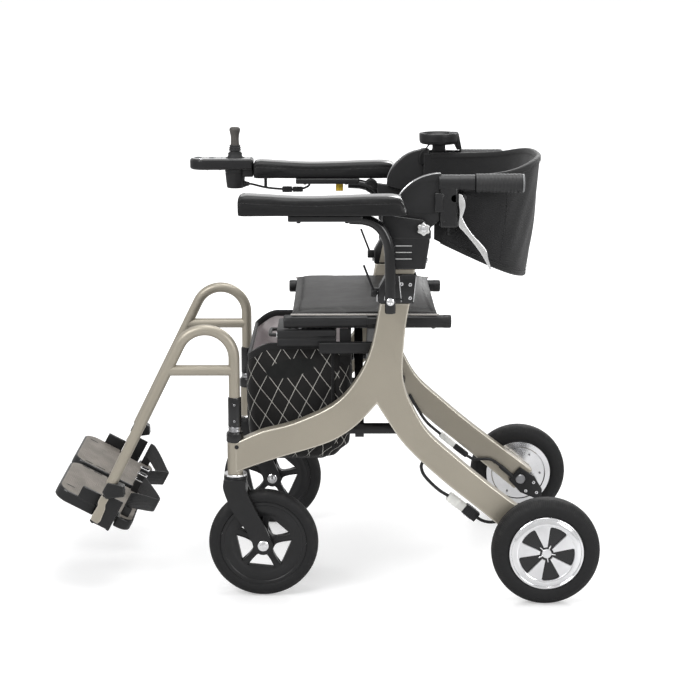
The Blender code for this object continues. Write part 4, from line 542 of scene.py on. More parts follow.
def grown(name, host, tree, **sizes):
    """Run a node tree on a host with the sizes given by name, and keep what it makes."""
    change = host.modifiers.new("grown", "NODES")
    change.node_group = tree
    for item in tree.interface.items_tree:
        if item.item_type == "SOCKET" and item.in_out == "INPUT" and item.name in sizes:
            change[item.identifier] = sizes[item.name]
    made = settle(host)
    made.name = name
    return made


def new_tree(name, **sockets):
    """A geometry node tree with named inputs, given as their first values."""
    tree = bpy.data.node_groups.new(name, "GeometryNodeTree")
    tree.interface.new_socket("Geometry", in_out="INPUT", socket_type="NodeSocketGeometry")
    tree.interface.new_socket("Geometry", in_out="OUTPUT", socket_type="NodeSocketGeometry")
    kinds = {float: "Float", int: "Int", tuple: "Vector", bpy.types.Material: "Material",
        type(None): "Object"}
    for label, value in sockets.items():
        kind = kinds.get(type(value), "Material")
        socket = tree.interface.new_socket(label, in_out="INPUT", socket_type="NodeSocket" + kind)
        if kind in ("Float", "Int", "Vector"):
            socket.default_value = value
    nodes = Nodes(tree)
    given = tree.nodes.new("NodeGroupInput")
    inputs = {socket.name: Value(nodes, socket) for socket in given.outputs if socket.name}
    return nodes, inputs


def end_tree(nodes, geometry, finish):
    """End a tree in plain geometry of one finish."""
    plain = nodes.node("GeometryNodeRealizeInstances", {}, {0: geometry})
    coated = nodes.node("GeometryNodeSetMaterial", {}, {"Geometry": plain, "Material": finish})
    last = nodes.tree.nodes.new("NodeGroupOutput")
    nodes.feed(last.inputs[0], coated)
    return nodes.tree


def screw_tree():
    """Domed screw heads with a socket, one on each point, along the way that the point faces."""
    nodes, given = new_tree("screw heads", Radius=0.004, Height=0.002, Finish=CHROME, Socket=STEEL)
    facing = nodes.node("GeometryNodeInputNamedAttribute", {"data_type": "FLOAT_VECTOR"}, {"Name": "facing"})
    radius, height = given["Radius"], given["Height"]
    base = nodes.node("GeometryNodeMeshCone", {}, {"Vertices": 20, "Radius Bottom": radius,
        "Radius Top": radius, "Depth": height * 0.6})
    domed = nodes.node("GeometryNodeMeshCone", {}, {"Vertices": 20, "Radius Bottom": radius,
        "Radius Top": radius * 0.72, "Depth": height * 0.4})
    lift = nodes.node("ShaderNodeCombineXYZ", {}, {2: height * 0.6})
    domed = nodes.node("GeometryNodeTransform", {}, {"Geometry": domed, "Translation": lift})
    heads = nodes.node("GeometryNodeSetMaterial", {}, {"Geometry": base, "Material": given["Finish"]})
    tops = nodes.node("GeometryNodeSetMaterial", {}, {"Geometry": domed, "Material": given["Finish"]})
    socket = nodes.node("GeometryNodeMeshCone", {}, {"Vertices": 6, "Radius Bottom": radius * 0.45,
        "Radius Top": radius * 0.42, "Depth": height * 0.06})
    lift = nodes.node("ShaderNodeCombineXYZ", {}, {2: height})
    socket = nodes.node("GeometryNodeTransform", {}, {"Geometry": socket, "Translation": lift})
    socket = nodes.node("GeometryNodeSetMaterial", {}, {"Geometry": socket, "Material": given["Socket"]})
    screw = nodes.node("GeometryNodeJoinGeometry", {}, {0: heads})
    for part in (tops, socket):
        nodes.tree.links.new(part.socket, screw.socket.node.inputs[0])
    turn = nodes.node("FunctionNodeAlignRotationToVector", {"axis": "Z"}, {"Vector": facing})
    placed = nodes.node("GeometryNodeInstanceOnPoints", {},
        {"Points": given["Geometry"], "Instance": screw, "Rotation": turn})
    plain = nodes.node("GeometryNodeRealizeInstances", {}, {0: placed})
    last = nodes.tree.nodes.new("NodeGroupOutput")
    nodes.feed(last.inputs[0], plain)
    return nodes.tree


SCREWS = screw_tree()


def screws(name, places, radius, height=None, finish=None, socket=None):
    """Screw heads at (point, facing) places."""
    mesh = bpy.data.meshes.new(name)
    mesh.from_pydata([tuple(point) for point, facing in places], [], [])
    facing = mesh.attributes.new("facing", "FLOAT_VECTOR", "POINT")
    facing.data.foreach_set("vector", [part for point, way in places for part in way])
    sizes = {"Radius": radius, "Height": height or radius * 0.5, "Finish": finish or CHROME}
    return grown(name, added(name, mesh), SCREWS, **sizes, Socket=socket or STEEL)


crotch = [(UPRIGHT.y - 0.0318, UPRIGHT.z - 0.1829)]
front_upper = [*mm((0, 0), (48, 21), (107, 37), (175.5, 69), at=HEAD.yz),
    *mm((-72.5, -145.5), (-43.6, -86.5), (-26, 0), at=UPRIGHT.yz)]
rear_upper = [*mm((26, 0), (18.5, -46.5), (14, -118.5), (19.5, -156.5), (32.9, -189.5), at=UPRIGHT.yz),
    *mm((-212, 211), (-161.5, 164), (-93, 106.5), (26, 15), at=REAR_AXLE.yz)]
rear_lower = [*mm((-11, -24), (-109, 58.5), (-190.5, 125.5), (-254.5, 188), (-291, 242), at=REAR_AXLE.yz),
    *crotch]
front_lower = [*crotch, *mm((220, 34), (180.6, 6.8), (138, -9.5), (82, -26), (29, -43.8), (0, -55.5),
    at=HEAD.yz)]
frame_outline = smooth(front_upper) + smooth(rear_upper) + smooth(rear_lower)[:-1] + smooth(front_lower)
for hand, side in SIDES:
    x = side * HEAD.x
    ends = about(x, FRAME_HALF)
    body_plate = plate(hand + " plate", frame_outline, ends, "X", CHAMPAGNE, HIGHLIGHT_EDGE_PAINT)
    # The rounding takes the lighter edge paint, a painted highlight.
    rounded(body_plate, FRAME_EDGE, 4, 1)
    tube_profile = mm((10.5, 0), (12.5, 0), (14, 1.2), (14, 59.5), (12.8, 61.2))
    stem_foot = (x, *CASTER.yz)
    head_tube = turned(hand + " head", [*tube_profile, (0.0105, 0.0612)], stem_foot, "Z", CHAMPAGNE,
        segments=48, closed=True)
    ring = turned(hand + " ring", mm((9, -3.5), (19.8, -3.5), (20.6, -2.8), (20.6, 0.2), (19.8, 0.9),
        (9, 0.9)), stem_foot, "Z", CHROME, segments=48, closed=True)
    out = side * FRAME_HALF
    bolts = [((x + out, HEAD.y + 0.0035, HEAD.z - 0.007), (side, 0, 0))]
    bolts += [((x - out, *p), (-side, 0, 0)) for p in mm((-52, 34), (-27, 14), at=REAR_AXLE.yz)]
    head_screws = screws(hand + " frame screws", bolts, 0.0038, 0.001, BLACK, POWDER)
    whole = join(hand + "_frame_plate", body_plate, head_tube, ring, head_screws)
    fit(whole, hand + "_side", "champagne_paint", hand + "_side_frame")

# Casters
# A cast fork in satin black trails behind its stem. The wheel's axle goes through its feet, and has
# a turned boss and a hexagon head at both ends.
CROWN_TOP = 0.2225
for hand, side in SIDES:
    x = side * CASTER.x
    crown = 0.0205
    front = [(CASTER.y - crown, CROWN_TOP), (CASTER.y - crown, CROWN_TOP - 0.018),
        (CASTER.y - 0.0055, CROWN_TOP - 0.0565), (FRONT_AXLE.y - 0.029, FRONT_AXLE.z + 0.026)]
    back = [(FRONT_AXLE.y + 0.003, FRONT_AXLE.z + 0.036), (FRONT_AXLE.y - 0.0125, CROWN_TOP - 0.0565),
        (CASTER.y + crown, CROWN_TOP - 0.018), (CASTER.y + crown, CROWN_TOP)]
    toe = arc(FRONT_AXLE.yz, 0.017, 190, 370, 16)
    outline = smooth([*front, toe[0]], 5)[:-1] + toe + smooth([toe[-1], *back], 5)[1:]
    fork = plate(hand + " fork", outline, about(x, 0.027), "X", POWDER)
    slot = turned("wheel slot", cylinder(0.104, -0.0185, 0.0185), (x, *FRONT_AXLE.yz), "X", POWDER,
        segments=96)
    rounded(cut(fork, slot), 0.0022, 3)
    neck = turned(hand + " neck", mm((0, -12), (21.3, -12), (21.3, -5.6), (20.5, -4.2), (14, -4.2),
        (8, -0.3), (0, -0.3)), (x, *CASTER.yz), "Z", POWDER, segments=48)
    parts = [fork, neck]
    for way in (-1, 1):
        boss_profile = outward(mm((0, 0), (9.8, 0), (9.8, 0.6), (8.6, 1.4), (0, 1.4)), way)
        face = (x + way * 0.0268, *FRONT_AXLE.yz)
        boss = turned(hand + " boss", boss_profile, face, "X", CHROME, segments=32)
        hexagon = arc(FRONT_AXLE.yz, 0.0062, 0, 300, 5)
        nut = plate(hand + " nut", hexagon, (x + way * 0.0278, x + way * 0.0312), "X", CHROME)
        parts += [boss, rounded(nut, 0.0005, 2)]
    whole = join(hand + "_fork_casting", *parts)
    fit(whole, hand + "_caster", "black_metal", hand + "_caster_fork")

# Front wheels
# A moulded black rim with five broad spokes, ribbed on their faces, on a steel bearing, and a solid
# black tyre with two fine grooves.
RIM_RADIUS = 0.0777
SPOKES = 5
WHEEL_TURN = 174


def tyre_rubber(name, axle, radius, sipes):
    """Black rubber, dull and dusty on the tread, with moulded lines round the wall."""
    finish = Finish(name, 0.72, Specular_IOR_Level=0.34)
    y, z = finish.axes()[1:]
    height, depth = y - axle.y, z - axle.z
    square = height * height + depth * depth
    reach = square.math("SQRT", square)
    angle = height.math("ARCTAN2", depth, height)
    dust = finish.noise(70.0, 5.0).between(0.42, 0.8) * reach.between(radius - 0.014, radius - 0.001)
    finish.set("Base Color", finish.mix(dust, shade(20, 20, 21), shade(46, 45, 44)))
    finish.set("Roughness", 0.52 + 0.22 * finish.noise(180.0, 4.0))
    cuts = (angle * (sipes / 2)).sine().size().between(0.0, 0.22)
    shoulder = reach.between(radius - 0.0125, radius - 0.01)
    rings = (reach * 1400.0).sine().size().between(0.0, 0.5) * (1 - shoulder)
    grain = 0.1 * finish.noise(2400.0, 3.0)
    finish.relief(cuts * shoulder * 0.8 + rings * 0.12 + grain - shoulder * 0.2, 0.0007, 0.85)
    return finish.material


def ring_tree():
    """One item set round an axis along X, as many times as asked."""
    nodes, given = new_tree("round an axle", Count=5, Phase=0.0, Centre=(0.0, 0.0, 0.0), Finish=POWDER)
    count = given["Count"]
    points = nodes.node("GeometryNodePoints", {}, {"Count": count, "Position": given["Centre"]})
    index = nodes.node("GeometryNodeInputIndex")
    turn = nodes.node("ShaderNodeCombineXYZ", {}, {0: given["Phase"] + index * math.tau / count})
    placed = nodes.node("GeometryNodeInstanceOnPoints", {},
        {"Points": points, "Instance": given["Geometry"], "Rotation": turn})
    return end_tree(nodes, placed, given["Finish"])


ROUND = ring_tree()


def around(name, item, centre, count, finish, phase=0.0):
    """Repeat an item, drawn about its axle's middle, round the axle."""
    return grown(name, item, ROUND, Count=count, Phase=math.radians(phase), Centre=tuple(centre),
        Finish=finish)


def window(near, far, corner, arched=False):
    """An opening with rounded corners, narrow near the axle: near and far are (half width, reach)."""
    corners = [Vector((-near[0], near[1])), Vector(near), Vector(far), Vector((-far[0], far[1]))]
    loop = []
    for index, point in enumerate(corners):
        before, after = corners[index - 1], corners[(index + 1) % 4]
        size = min(corner, near[0] * 0.9) if index < 2 else corner
        start = point + (before - point).normalized() * size
        end = point + (after - point).normalized() * size
        for share in (0.0, 0.25, 0.5, 0.75, 1.0):
            loop.append(start.lerp(point, share).lerp(point.lerp(end, share), share))
        if index == 2:
            last = corners[3] + (point - corners[3]).normalized() * size
            loop += [end.lerp(last, share) for share in (0.2, 0.4, 0.6, 0.8)]
    if arched:
        loop = [Vector((p.x, p.y * math.sqrt(1 - (p.x / far[1]) ** 2))) for p in loop]
    return loop


def windows(piece, loop, centre, ends, phase=0.0):
    """Cut the same opening five times round the axle."""
    cutters = []
    for index in range(SPOKES):
        turn = Matrix.Rotation(math.radians(phase) + math.tau * index / SPOKES, 2)
        outline = [turn @ point + Vector(centre.yz) for point in loop]
        cutters.append(plate("window", outline, ends, "X", POWDER))
    return cut(piece, *cutters)


def mirrored(profile):
    """A profile and its mirror image along the axis."""
    return profile + [(r, -d) for r, d in reversed(profile)]


for hand, side in SIDES:
    centre = Vector((side * FRONT_AXLE.x, *FRONT_AXLE.yz))
    profile = mm((4.3, -18.2), (11.5, -18.2), (12.5, -17.6), (15, -16.8), (16.2, -15), (18.2, -9.2),
        (20, -7.4), (52, -7.4), (56, -9.8), (60, -10.8))
    profile += [(0.07, -0.0114), (0.0712, -0.0108), (0.0724, -0.0118), (RIM_RADIUS, -0.012)]
    rim = turned(hand + " rim", mirrored(profile), centre, "X", POWDER, segments=128, closed=True)
    opening = window((0.0075, 0.0205), (0.0275, 0.0455), 0.0055)
    ends = about(centre.x, 0.02)
    rounded(windows(rim, opening, centre, ends, WHEEL_TURN), 0.0012, 3)
    ribs = []
    for offset in (-0.003, 0.003):
        for face in (-1, 1):
            rib = mm((-0.8, 18.5), (0.8, 18.5), at=(offset, 0))
            rib += mm((0.8, 51.5), (-0.8, 51.5), at=(offset * 1.9, 0))
            ribs.append(rounded(plate("rib", rib, (face * 0.0072, face * 0.0086), "X", POWDER), 0.0005, 1))
    spokes = around(hand + " spoke ribs", join("rib", *ribs), centre, SPOKES, POWDER, WHEEL_TURN + 36)
    bearing_profile = mm((4.3, 18.3), (8.2, 18.3), (8.8, 17.8), (8.8, 16.5), (4.3, 16.5))
    bearings = [turned(hand + " bearing", outward(bearing_profile, way), centre, "X", CHROME, segments=40,
        closed=True) for way in (-1, 1)]
    whole = join(hand + "_front_spoked_rim", rim, spokes, *bearings)
    fit(whole, hand + "_front_wheel", "black_plastic", hand + "_front_rim")
    tyre_profile = [(RIM_RADIUS + 0.0002, -0.012)]
    tyre_profile += mm((80, -14.2), (84.5, -15), (90.5, -14.9), (94.5, -13.2), (97.5, -9.8), (99, -6.2),
        (99.2, -5), (98.5, -4.5), (99.2, -4), (99.9, -1.5))
    walls = tyre_rubber(hand + " front tyre rubber", FRONT_AXLE, 0.1, 0)
    tyre = turned(hand + "_front_rubber", mirrored(tyre_profile), centre, "X", walls, segments=128,
        closed=True)
    fit(tyre, hand + "_front_wheel", "tyre_rubber", hand + "_front_tyre")

# Rear wheels
# Each has a motor in its hub: a polished alloy shell with five dark petals round a star-shaped disc,
# inside a wide rubber tyre with fine cuts across the edge of its tread.
HUB_RADIUS = 0.0677
TYRE_HALF = 0.0225
HUB_TURN = 190


def hub_alloy(name, axle, roughness):
    """Machined alloy with fine rings from turning, round the axle."""
    finish = Finish(name, roughness, 1.0)
    y, z = finish.axes()[1:]
    height, depth = y - axle.y, z - axle.z
    square = height * height + depth * depth
    reach = square.math("SQRT", square)
    marks = (reach * 5200.0).sine() * 0.5 + 0.5
    finish.set("Base Color", finish.mix(finish.noise(60.0, 4.0), (0.72, 0.72, 0.73, 1.0),
        (0.86, 0.86, 0.87, 1.0)))
    finish.set("Roughness", roughness + 0.1 * finish.noise(90.0, 5.0) - 0.03)
    finish.relief(marks + 0.5 * finish.noise(900.0, 2.0), 0.000025, 0.6)
    return finish.material


SATIN_HUB = hub_alloy("satin hub alloy", REAR_AXLE, 0.3)
POLISHED_HUB = hub_alloy("polished hub alloy", REAR_AXLE, 0.09)
for hand, side in SIDES:
    centre = Vector((side * REAR_AXLE.x, *REAR_AXLE.yz))
    face = side * TYRE_HALF
    lip = mm((51.5, 0.6), (53, 1.4), (56, 1.6), (60, 0.2), (62.2, -0.8), (63, 0.2), (64, 1), (65.5, 0.8),
        (67.2, -0.6))
    lip += mm((0, -2), (0, -42), at=(HUB_RADIUS, 0))
    lip += mm((66, -44.6), (56, -45.2), (54, -44), (30, -44.8), (20, -46), (6.6, -46), (6.6, -20), (51.5, -8))
    shell = turned(hand + " hub shell", outward(lip, side, face), centre, "X", POLISHED_HUB, segments=128,
        closed=True)
    disc = turned(hand + " hub face", outward(mm((0, -6.2), (51.8, -6.2), (51.8, -0.2), (50.5, 0.2),
        (21, 0.7), (0, 0.7)), side, face), centre, "X", SATIN_HUB, segments=96)
    ends = (centre.x + face - side * 0.005, centre.x + face + side * 0.005)
    opening = window((0.0042, 0.01), (0.0172, 0.0505), 0.0045, True)
    windows(disc, opening, centre, ends, HUB_TURN)
    well = turned("well", cylinder(0.0125, *ends), (0, *centre.yz), "X", POWDER)
    rounded(cut(disc, well), 0.0005, 2)
    back = turned(hand + " hub recess", outward(cylinder(0.051, -0.0068, -0.0044), side, face), centre, "X",
        GLOSS, segments=64)
    cap = turned(hand + " hub cap", outward(mm((8.6, -4.6), (8.6, -0.6), (7.8, 0.2), (0, 0.4)), side, face),
        centre, "X", SATIN_HUB, segments=64)
    prong = mm((-1.2, 7), (1.2, 7), (0.8, 16.5), (-0.8, 16.5))
    ends = (side * (TYRE_HALF - 0.0045), side * (TYRE_HALF - 0.0006))
    prong_plate = rounded(plate("prong", prong, ends, "X", POLISHED_HUB), 0.0003, 1)
    star = around(hand + " star", prong_plate, centre, SPOKES, POLISHED_HUB, HUB_TURN)
    bolts = []
    for index in range(6):
        t = math.tau * index / 6
        place = centre + Vector((-side * (TYRE_HALF - 0.0005 + 0.001), 0.045 * math.cos(t),
            0.045 * math.sin(t)))
        bolts.append((place, (-side, 0, 0)))
    heads = screws(hand + " hub screws", bolts, 0.0022, 0.0009, STEEL, POWDER)
    whole = join(hand + "_hub_shell", shell, disc, back, cap, star, heads)
    fit(whole, hand + "_rear_wheel", "hub_alloy", hand + "_hub_motor")
    tyre_profile = mm((68, -19), (70, -20.8), (74, -22.2), (79, -22.4), (85, -22), (86.2, -21.6), (87, -21),
        (92.5, -17.8), (95.5, -14.2), (96.8, -11.8), (97, -11.2), (96.2, -10.6), (97.2, -9.8), (97.8, -6),
        (97, -5.4), (97.9, -4.8), (98, -1))
    walls = tyre_rubber(hand + " rear tyre rubber", REAR_AXLE, 0.098, 150)
    tyre = turned(hand + "_rear_rubber", mirrored(tyre_profile), centre, "X", walls, segments=144,
        closed=True)
    fit(tyre, hand + "_rear_wheel", "tyre_rubber", hand + "_rear_tyre")

# Motor brackets and leads
# A pressed steel plate bolted inside each arm's end holds the motor's fixed axle. The motor's lead
# leaves it, is joined in a white and a black connector, and runs into the arm under the crotch.
CABLE = moulded("cable sheath", shade(19, 19, 20), 0.45, 1200.0, 0.00003, 0.4)
NYLON = moulded("white nylon", shade(214, 214, 210), 0.42, 1500.0, 0.00005)
ARM_SLOPE = math.radians(-41)


def arm_place(along, across):
    """A place near the rear axle, measured along and across the rear arm."""
    return (REAR_AXLE.y + along * math.cos(ARM_SLOPE) - across * math.sin(ARM_SLOPE),
        REAR_AXLE.z + along * math.sin(ARM_SLOPE) + across * math.cos(ARM_SLOPE))


def connector(name, x, start, end, half, finish, ribs=5):
    """A square plug lying along a slanted line, ribbed for the fingers."""
    start, end = Vector(start), Vector(end)
    across = (end - start).orthogonal().normalized() * half * 1.25
    outline = [start + across, end + across, end - across, start - across]
    parts = [rounded(plate(name, outline, about(x, half), "X", finish), 0.0014, 2)]
    for index in range(ribs):
        near = start.lerp(end, 0.16 + 0.6 * index / ribs)
        far = start.lerp(end, 0.16 + 0.6 * (index + 0.45) / ribs)
        rib = [near + across * 1.08, far + across * 1.08, far - across * 1.08, near - across * 1.08]
        parts.append(rounded(plate("rib", rib, (x - half * 1.08, x + half * 1.08), "X", finish), 0.0005, 1))
    return parts


def measure(path):
    return sum((b - a).length for a, b in zip(path, path[1:]))


bracket_shape = mm((-16, -17.5), (20, -22), (50, -12), (58, 0), (50, 12), (20, 22), (-16, 17.5))
for hand, side in SIDES:
    outer = side * (HEAD.x - FRAME_HALF - 0.0003)
    inner = outer - side * 0.0077
    outline = [arm_place(*p) for p in bracket_shape]
    bracket = rounded(plate(hand + " bracket", outline, (inner, outer), "X", POWDER), 0.0016, 3)
    clip = rounded(plate("clip", [arm_place(*p) for p in oblong((-0.05, -0.012), (-0.012, -0.003))],
        (inner, outer), "X", CABLE), 0.003, 3)
    axle = turned(hand + " axle", outward(mm((0, -9), (8.5, -9), (9.8, -7.5), (9.8, -3.5), (6, -3), (6, 70),
        (0, 70)), side), (outer - side * 0.004, *REAR_AXLE.yz), "X", STEEL, segments=36)
    heads = screws(hand + " bracket screws", [((inner, *arm_place(*p)), (-side, 0, 0))
        for p in ((0.026, 0.012), (0.026, -0.012), (0.045, 0))], 0.0032, 0.0016, CHROME, POWDER)
    whole = join(hand + "_motor_plate", bracket, clip, axle, heads)
    fit(whole, hand + "_side", "black_metal", hand + "_motor_bracket")

BACK = UPRIGHT.y - 0.1275
left_route = mm((212, 181.3, 248), (212, 178.4, 245.3), (212, 177.2, 237), (212, 184, 221), (210, 208, 196),
    (208, 233, 179), (204, 262, 156), (202, 288, 135), (201.9, 312, 131), (201.9, 338, 139))
right_route = mm((-202.7, 171, 275), (-202.7, 185, 250), (-202.7, 206, 218), (-202.7, 235, 192),
    (-202.7, 270, 162), (-202.7, 300, 140), (-201.9, 318, 139), (-201.9, 339, 138))
for hand, side in SIDES:
    route = [Vector((x, y + BACK, z)) for x, y, z in (left_route if side > 0 else right_route)]
    end = [Vector((route[-1].x, *arm_place(-0.0533, -0.007))),
        Vector((route[-1].x, *arm_place(-0.048, -0.007)))]
    path = smooth([*route, *end], 6)
    lead = pipe(hand + "_motor_cable", path, 0.003, CABLE, sides=16)
    if side > 0:
        plug = connector("left plug", 0.207, (0.227 + BACK, 0.183), (0.256 + BACK, 0.16), 0.0065, NYLON, 3)
        plug += connector("left socket", 0.203, (0.2565 + BACK, 0.1597), (0.28 + BACK, 0.1405), 0.0075, BLACK)
    else:
        plug = connector("right plug", -0.2022, (0.235 + BACK, 0.192), (0.263 + BACK, 0.168), 0.0045, NYLON,
            3)
        plug += connector("right socket", -0.2022, (0.2635 + BACK, 0.1676), (0.29 + BACK, 0.147), 0.0045,
            BLACK)
    plugs = join(hand + "_lead_connectors", *plug)
    fit(plugs, hand + "_side", "black_plastic")
    fit(lead, hand + "_side", "rubber", hand + "_motor_lead")
    measure(path)

# Cross brace and rails
# Two flat steel arms cross on a shouldered pin, and turn on round rails: the lower pair stands on
# lugs from the side frames, and the upper pair carries the seat.
for node in ("cross_arm_a", "cross_arm_b"):
    for material_slot in frame["nodes"][node].material_slots:
        material_slot.material = POWDER
pin_middle = JOINTS["brace_pin"]
ring_profile = mm((8.5, -17), (11.2, -17), (11.8, -16), (11.8, -14), (8.5, -13.8))
pin_ring = turned("pin ring", ring_profile, (pin_middle.x, pin_middle.y + 0.0045, pin_middle.z), "Y",
    CHROME, segments=40, closed=True)
fit(pin_ring, "brace_a", "bright_alloy")
rail_bodies = {"left": "brace_b", "right": "brace_a"}
for hand, side in SIDES:
    low_place, high_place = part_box(hand + "_lower_rail")
    x = side * 0.186
    y_ends = (low_place.y, high_place.y)
    lower = pipe(hand + " rail", [(x, y_ends[0] + 0.003, 0.3045), (x, y_ends[1] - 0.003, 0.3045)], 0.01,
        POWDER, sides=40, rounded=0.003)
    lugs = []
    for near, far in ((y_ends[0] + 0.001, y_ends[0] + 0.02), (y_ends[1] - 0.02, y_ends[1] - 0.001)):
        x_ends = beyond(side, 190, 205.7)
        lugs.append(rounded(block("lug", x_ends, (near, far), (0.2975, 0.3115), POWDER), 0.0015, 2))
        foot = beyond(side, 203.5, 205.7)
        lugs.append(rounded(block("foot", foot, (near - 0.003, far + 0.003), (0.2945, 0.3145), POWDER),
            0.0007, 2))
    fit(join(hand + "_lower_tube", lower, *lugs), hand + "_side", "black_steel", hand + "_lower_rail")
    low_place, high_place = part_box(hand + "_seat_rail")
    y_ends = (low_place.y, high_place.y)
    z = (low_place.z + high_place.z) / 2
    upper = pipe(hand + " rail", [(x, y_ends[0] + 0.006, z), (x, y_ends[1] - 0.006, z)], 0.0117, BLACK,
        sides=48)
    caps = []
    for near, far in ((y_ends[0], y_ends[0] + 0.014), (y_ends[1] - 0.014, y_ends[1])):
        caps.append(pipe("cap", [(x, near + 0.003, z), (x, far - 0.001, z)], 0.012, BLACK, sides=48,
            rounded=0.003))
    button = screws(hand + " rail screws", [((x, y, z - 0.0117), (0, 0, -1))
        for y in (y_ends[0] + 0.03, y_ends[1] - 0.03)], 0.0035, 0.0016, STEEL, POWDER)
    whole = join(hand + "_seat_tube", upper, *caps, button)
    fit(whole, rail_bodies[hand], "black_steel", hand + "_seat_rail")

# Battery
# A flat black pack slides onto a bar behind the left upright. It has a parting line all round, ribs
# on top, and a bail to pull it out by.
low_place, high_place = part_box("battery")
pack_front = low_place.y + 0.016
pack_x = (low_place.x, high_place.x)
pack_middle = (low_place.z + high_place.z) / 2
lower_half = rounded(block("lower half", pack_x, (pack_front, high_place.y),
    (low_place.z, pack_middle - 0.0006), BLACK), 0.0035, 4)
upper_half = rounded(block("upper half", pack_x, (pack_front, high_place.y),
    (pack_middle + 0.0006, high_place.z), BLACK), 0.0035, 4)
gasket = block("gasket", (pack_x[0] + 0.0012, pack_x[1] - 0.0012),
    (pack_front + 0.0012, high_place.y - 0.0012), about(pack_middle, 0.002), CABLE)
pack_ribs = []
for index in range(7):
    y = pack_front + 0.02 + 0.011 * index
    x_ends = (pack_x[0] + 0.012, pack_x[1] - 0.012)
    pack_ribs.append(rounded(block("rib", x_ends, (y, y + 0.0055),
        (high_place.z - 0.001, high_place.z + 0.0007), BLACK), 0.0004, 1))
bail_x = (pack_x[0] + pack_x[1]) / 2
bail = mm((-27, 3, 0), (-27, -8, 0), at=(bail_x, pack_front, pack_middle))
bail += mm((-22, -13, 0), (22, -13, 0), at=(bail_x, pack_front, pack_middle))
bail += mm((27, -8, 0), (27, 3, 0), at=(bail_x, pack_front, pack_middle))
bail_bar = pipe("bail", smooth(bail, 4), 0.0034, BLACK, sides=16, up=(0, 0, 1))
lock = turned("lock", mm((0, -1.5), (5, -1.5), (5.8, -0.8), (5.8, 1), (0, 1)),
    (pack_x[1] - 0.022, pack_front, pack_middle + 0.001), "Y", CHROME, segments=32)
pack = join("battery_pack", lower_half, upper_half, gasket, *pack_ribs, bail_bar, lock)
fit(pack, "battery", "black_plastic", "battery")
low_place, high_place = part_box("battery_bracket")
bar = rounded(block("battery_bar", (low_place.x, high_place.x), (-0.012, high_place.y),
    (low_place.z, high_place.z), POWDER), 0.002, 3)
bar_screws = screws("bar screws", [((low_place.x, low_place.y + d, (low_place.z + high_place.z) / 2),
    (-1, 0, 0)) for d in (0.11, 0.14)], 0.004, 0.002, CHROME, POWDER)
fit(join("battery_bar", bar, bar_screws), "left_side", "black_metal", "battery_bracket")

# Bag
# A quilted shopping bag under the seat: black cloth sewn in diamonds with pale thread over thin
# foam, a grey lining painted near white as painted light in the shaded inside, a bound rim, and
# webbing up to the seat rails and out to the frames.
QUILT_WIDTH = 0.032
QUILT_HEIGHT = 0.05
QUILT_SLANT = 0.13


def woven(name, colour, roughness, threads=900.0, sheen=0.25, **more):
    """Plain woven cloth: crossed threads, with a soft sheen and a little unevenness."""
    finish = Finish(name, roughness, Sheen_Weight=sheen, Sheen_Roughness=0.5, Specular_IOR_Level=0.25, **more)
    x, y, z = finish.axes()
    across = ((x + y) * threads * 2.2).sine() * 0.5 + 0.5
    along = (z * threads * 3.1).sine() * 0.5 + 0.5
    weave = across * along + (1 - across) * (1 - along)
    tone = finish.noise(24.0, 5.0).between(0.25, 0.8)
    darker = toned(colour, 0.6)
    finish.set("Base Color", finish.mix(weave * 0.5 + tone * 0.5, darker, colour))
    finish.set("Roughness", roughness - 0.08 + 0.16 * finish.noise(400.0, 3.0))
    finish.relief(weave + finish.noise(14.0, 4.0) * 1.4, 0.0005, 0.8)
    return finish


def quilted(name):
    """Diamond-quilted cloth: the seams are read from the map, in metres round and up the bag."""
    finish = woven(name, shade(30, 29, 29), 0.78, 800.0, 0.12)
    map_place = finish.node("ShaderNodeTexCoord", output="UV")
    u, v = finish.axes(map_place)[:2]
    u = u + v * QUILT_SLANT
    one = u / QUILT_WIDTH + v / QUILT_HEIGHT
    two = u / QUILT_WIDTH - v / QUILT_HEIGHT
    near_one = (one.fraction() - 0.5).size()
    near_two = (two.fraction() - 0.5).size()
    dashes_one = (two * 13.0).fraction().between(0.22, 0.32)
    dashes_two = (one * 13.0).fraction().between(0.22, 0.32)
    sewn_one = near_one.between(0.472, 0.48) * dashes_one
    sewn_two = near_two.between(0.472, 0.48) * dashes_two
    thread = sewn_one.math("MAXIMUM", sewn_one, sewn_two)
    # A darker oval high on the near side, with no thread shown in it.
    x, y, z = finish.axes()
    lift = (z - 0.412) - (y + 0.064) * 0.2
    ellipse = (y + 0.064) * (y + 0.064) / 0.0022 + lift * lift / 0.0003
    dark_oval = (1 - ellipse.between(0.85, 1.1)) * x.between(0.1, 0.12)
    low = z.between(0.236, 0.246)
    cloth = finish.shader.inputs["Base Color"].links[0].from_socket
    shown = thread * (1 - dark_oval) * low
    plain = finish.mix(dark_oval, Value(finish, cloth), shade(21, 22, 22))
    finish.set("Base Color", finish.mix(shown, plain, shade(198, 196, 190)))
    return finish.material


QUILT = quilted("quilted cloth")
# The lining is painted far paler than its grey, as painted light inside the shaded bag.
LINING_PAINTED_LIGHT = woven("grey lining", shade(244, 236, 237), 0.62, 1400.0, 0.2).material
WEBBING = woven("black webbing", shade(27, 27, 28), 0.66, 560.0, 0.2).material
BINDING = woven("bound edge", shade(23, 23, 24), 0.6, 700.0, 0.2).material
BAG_HALF = 0.165
BAG_RISE = 0.2225
CLOTH_STEP = 0.0042
bag_back = 0.0505 + BACK
bag_front = bag_back - 0.193
bag_top = 0.4565
bag_foot = 0.234
keys = ((0.0, 0.05, 0.064, 0.124), (0.003, 0.033, 0.046, 0.146), (0.013, 0.0185, 0.0235, 0.158),
    (0.036, 0.0095, 0.0045, 0.1635), (0.066, 0.005, 0.0005, 0.166), (0.146, 0.0005, 0.0, 0.167),
    (0.2075, 0.0025, 0.0, 0.165), (0.2225, 0.0035, 0.0005, 0.164))


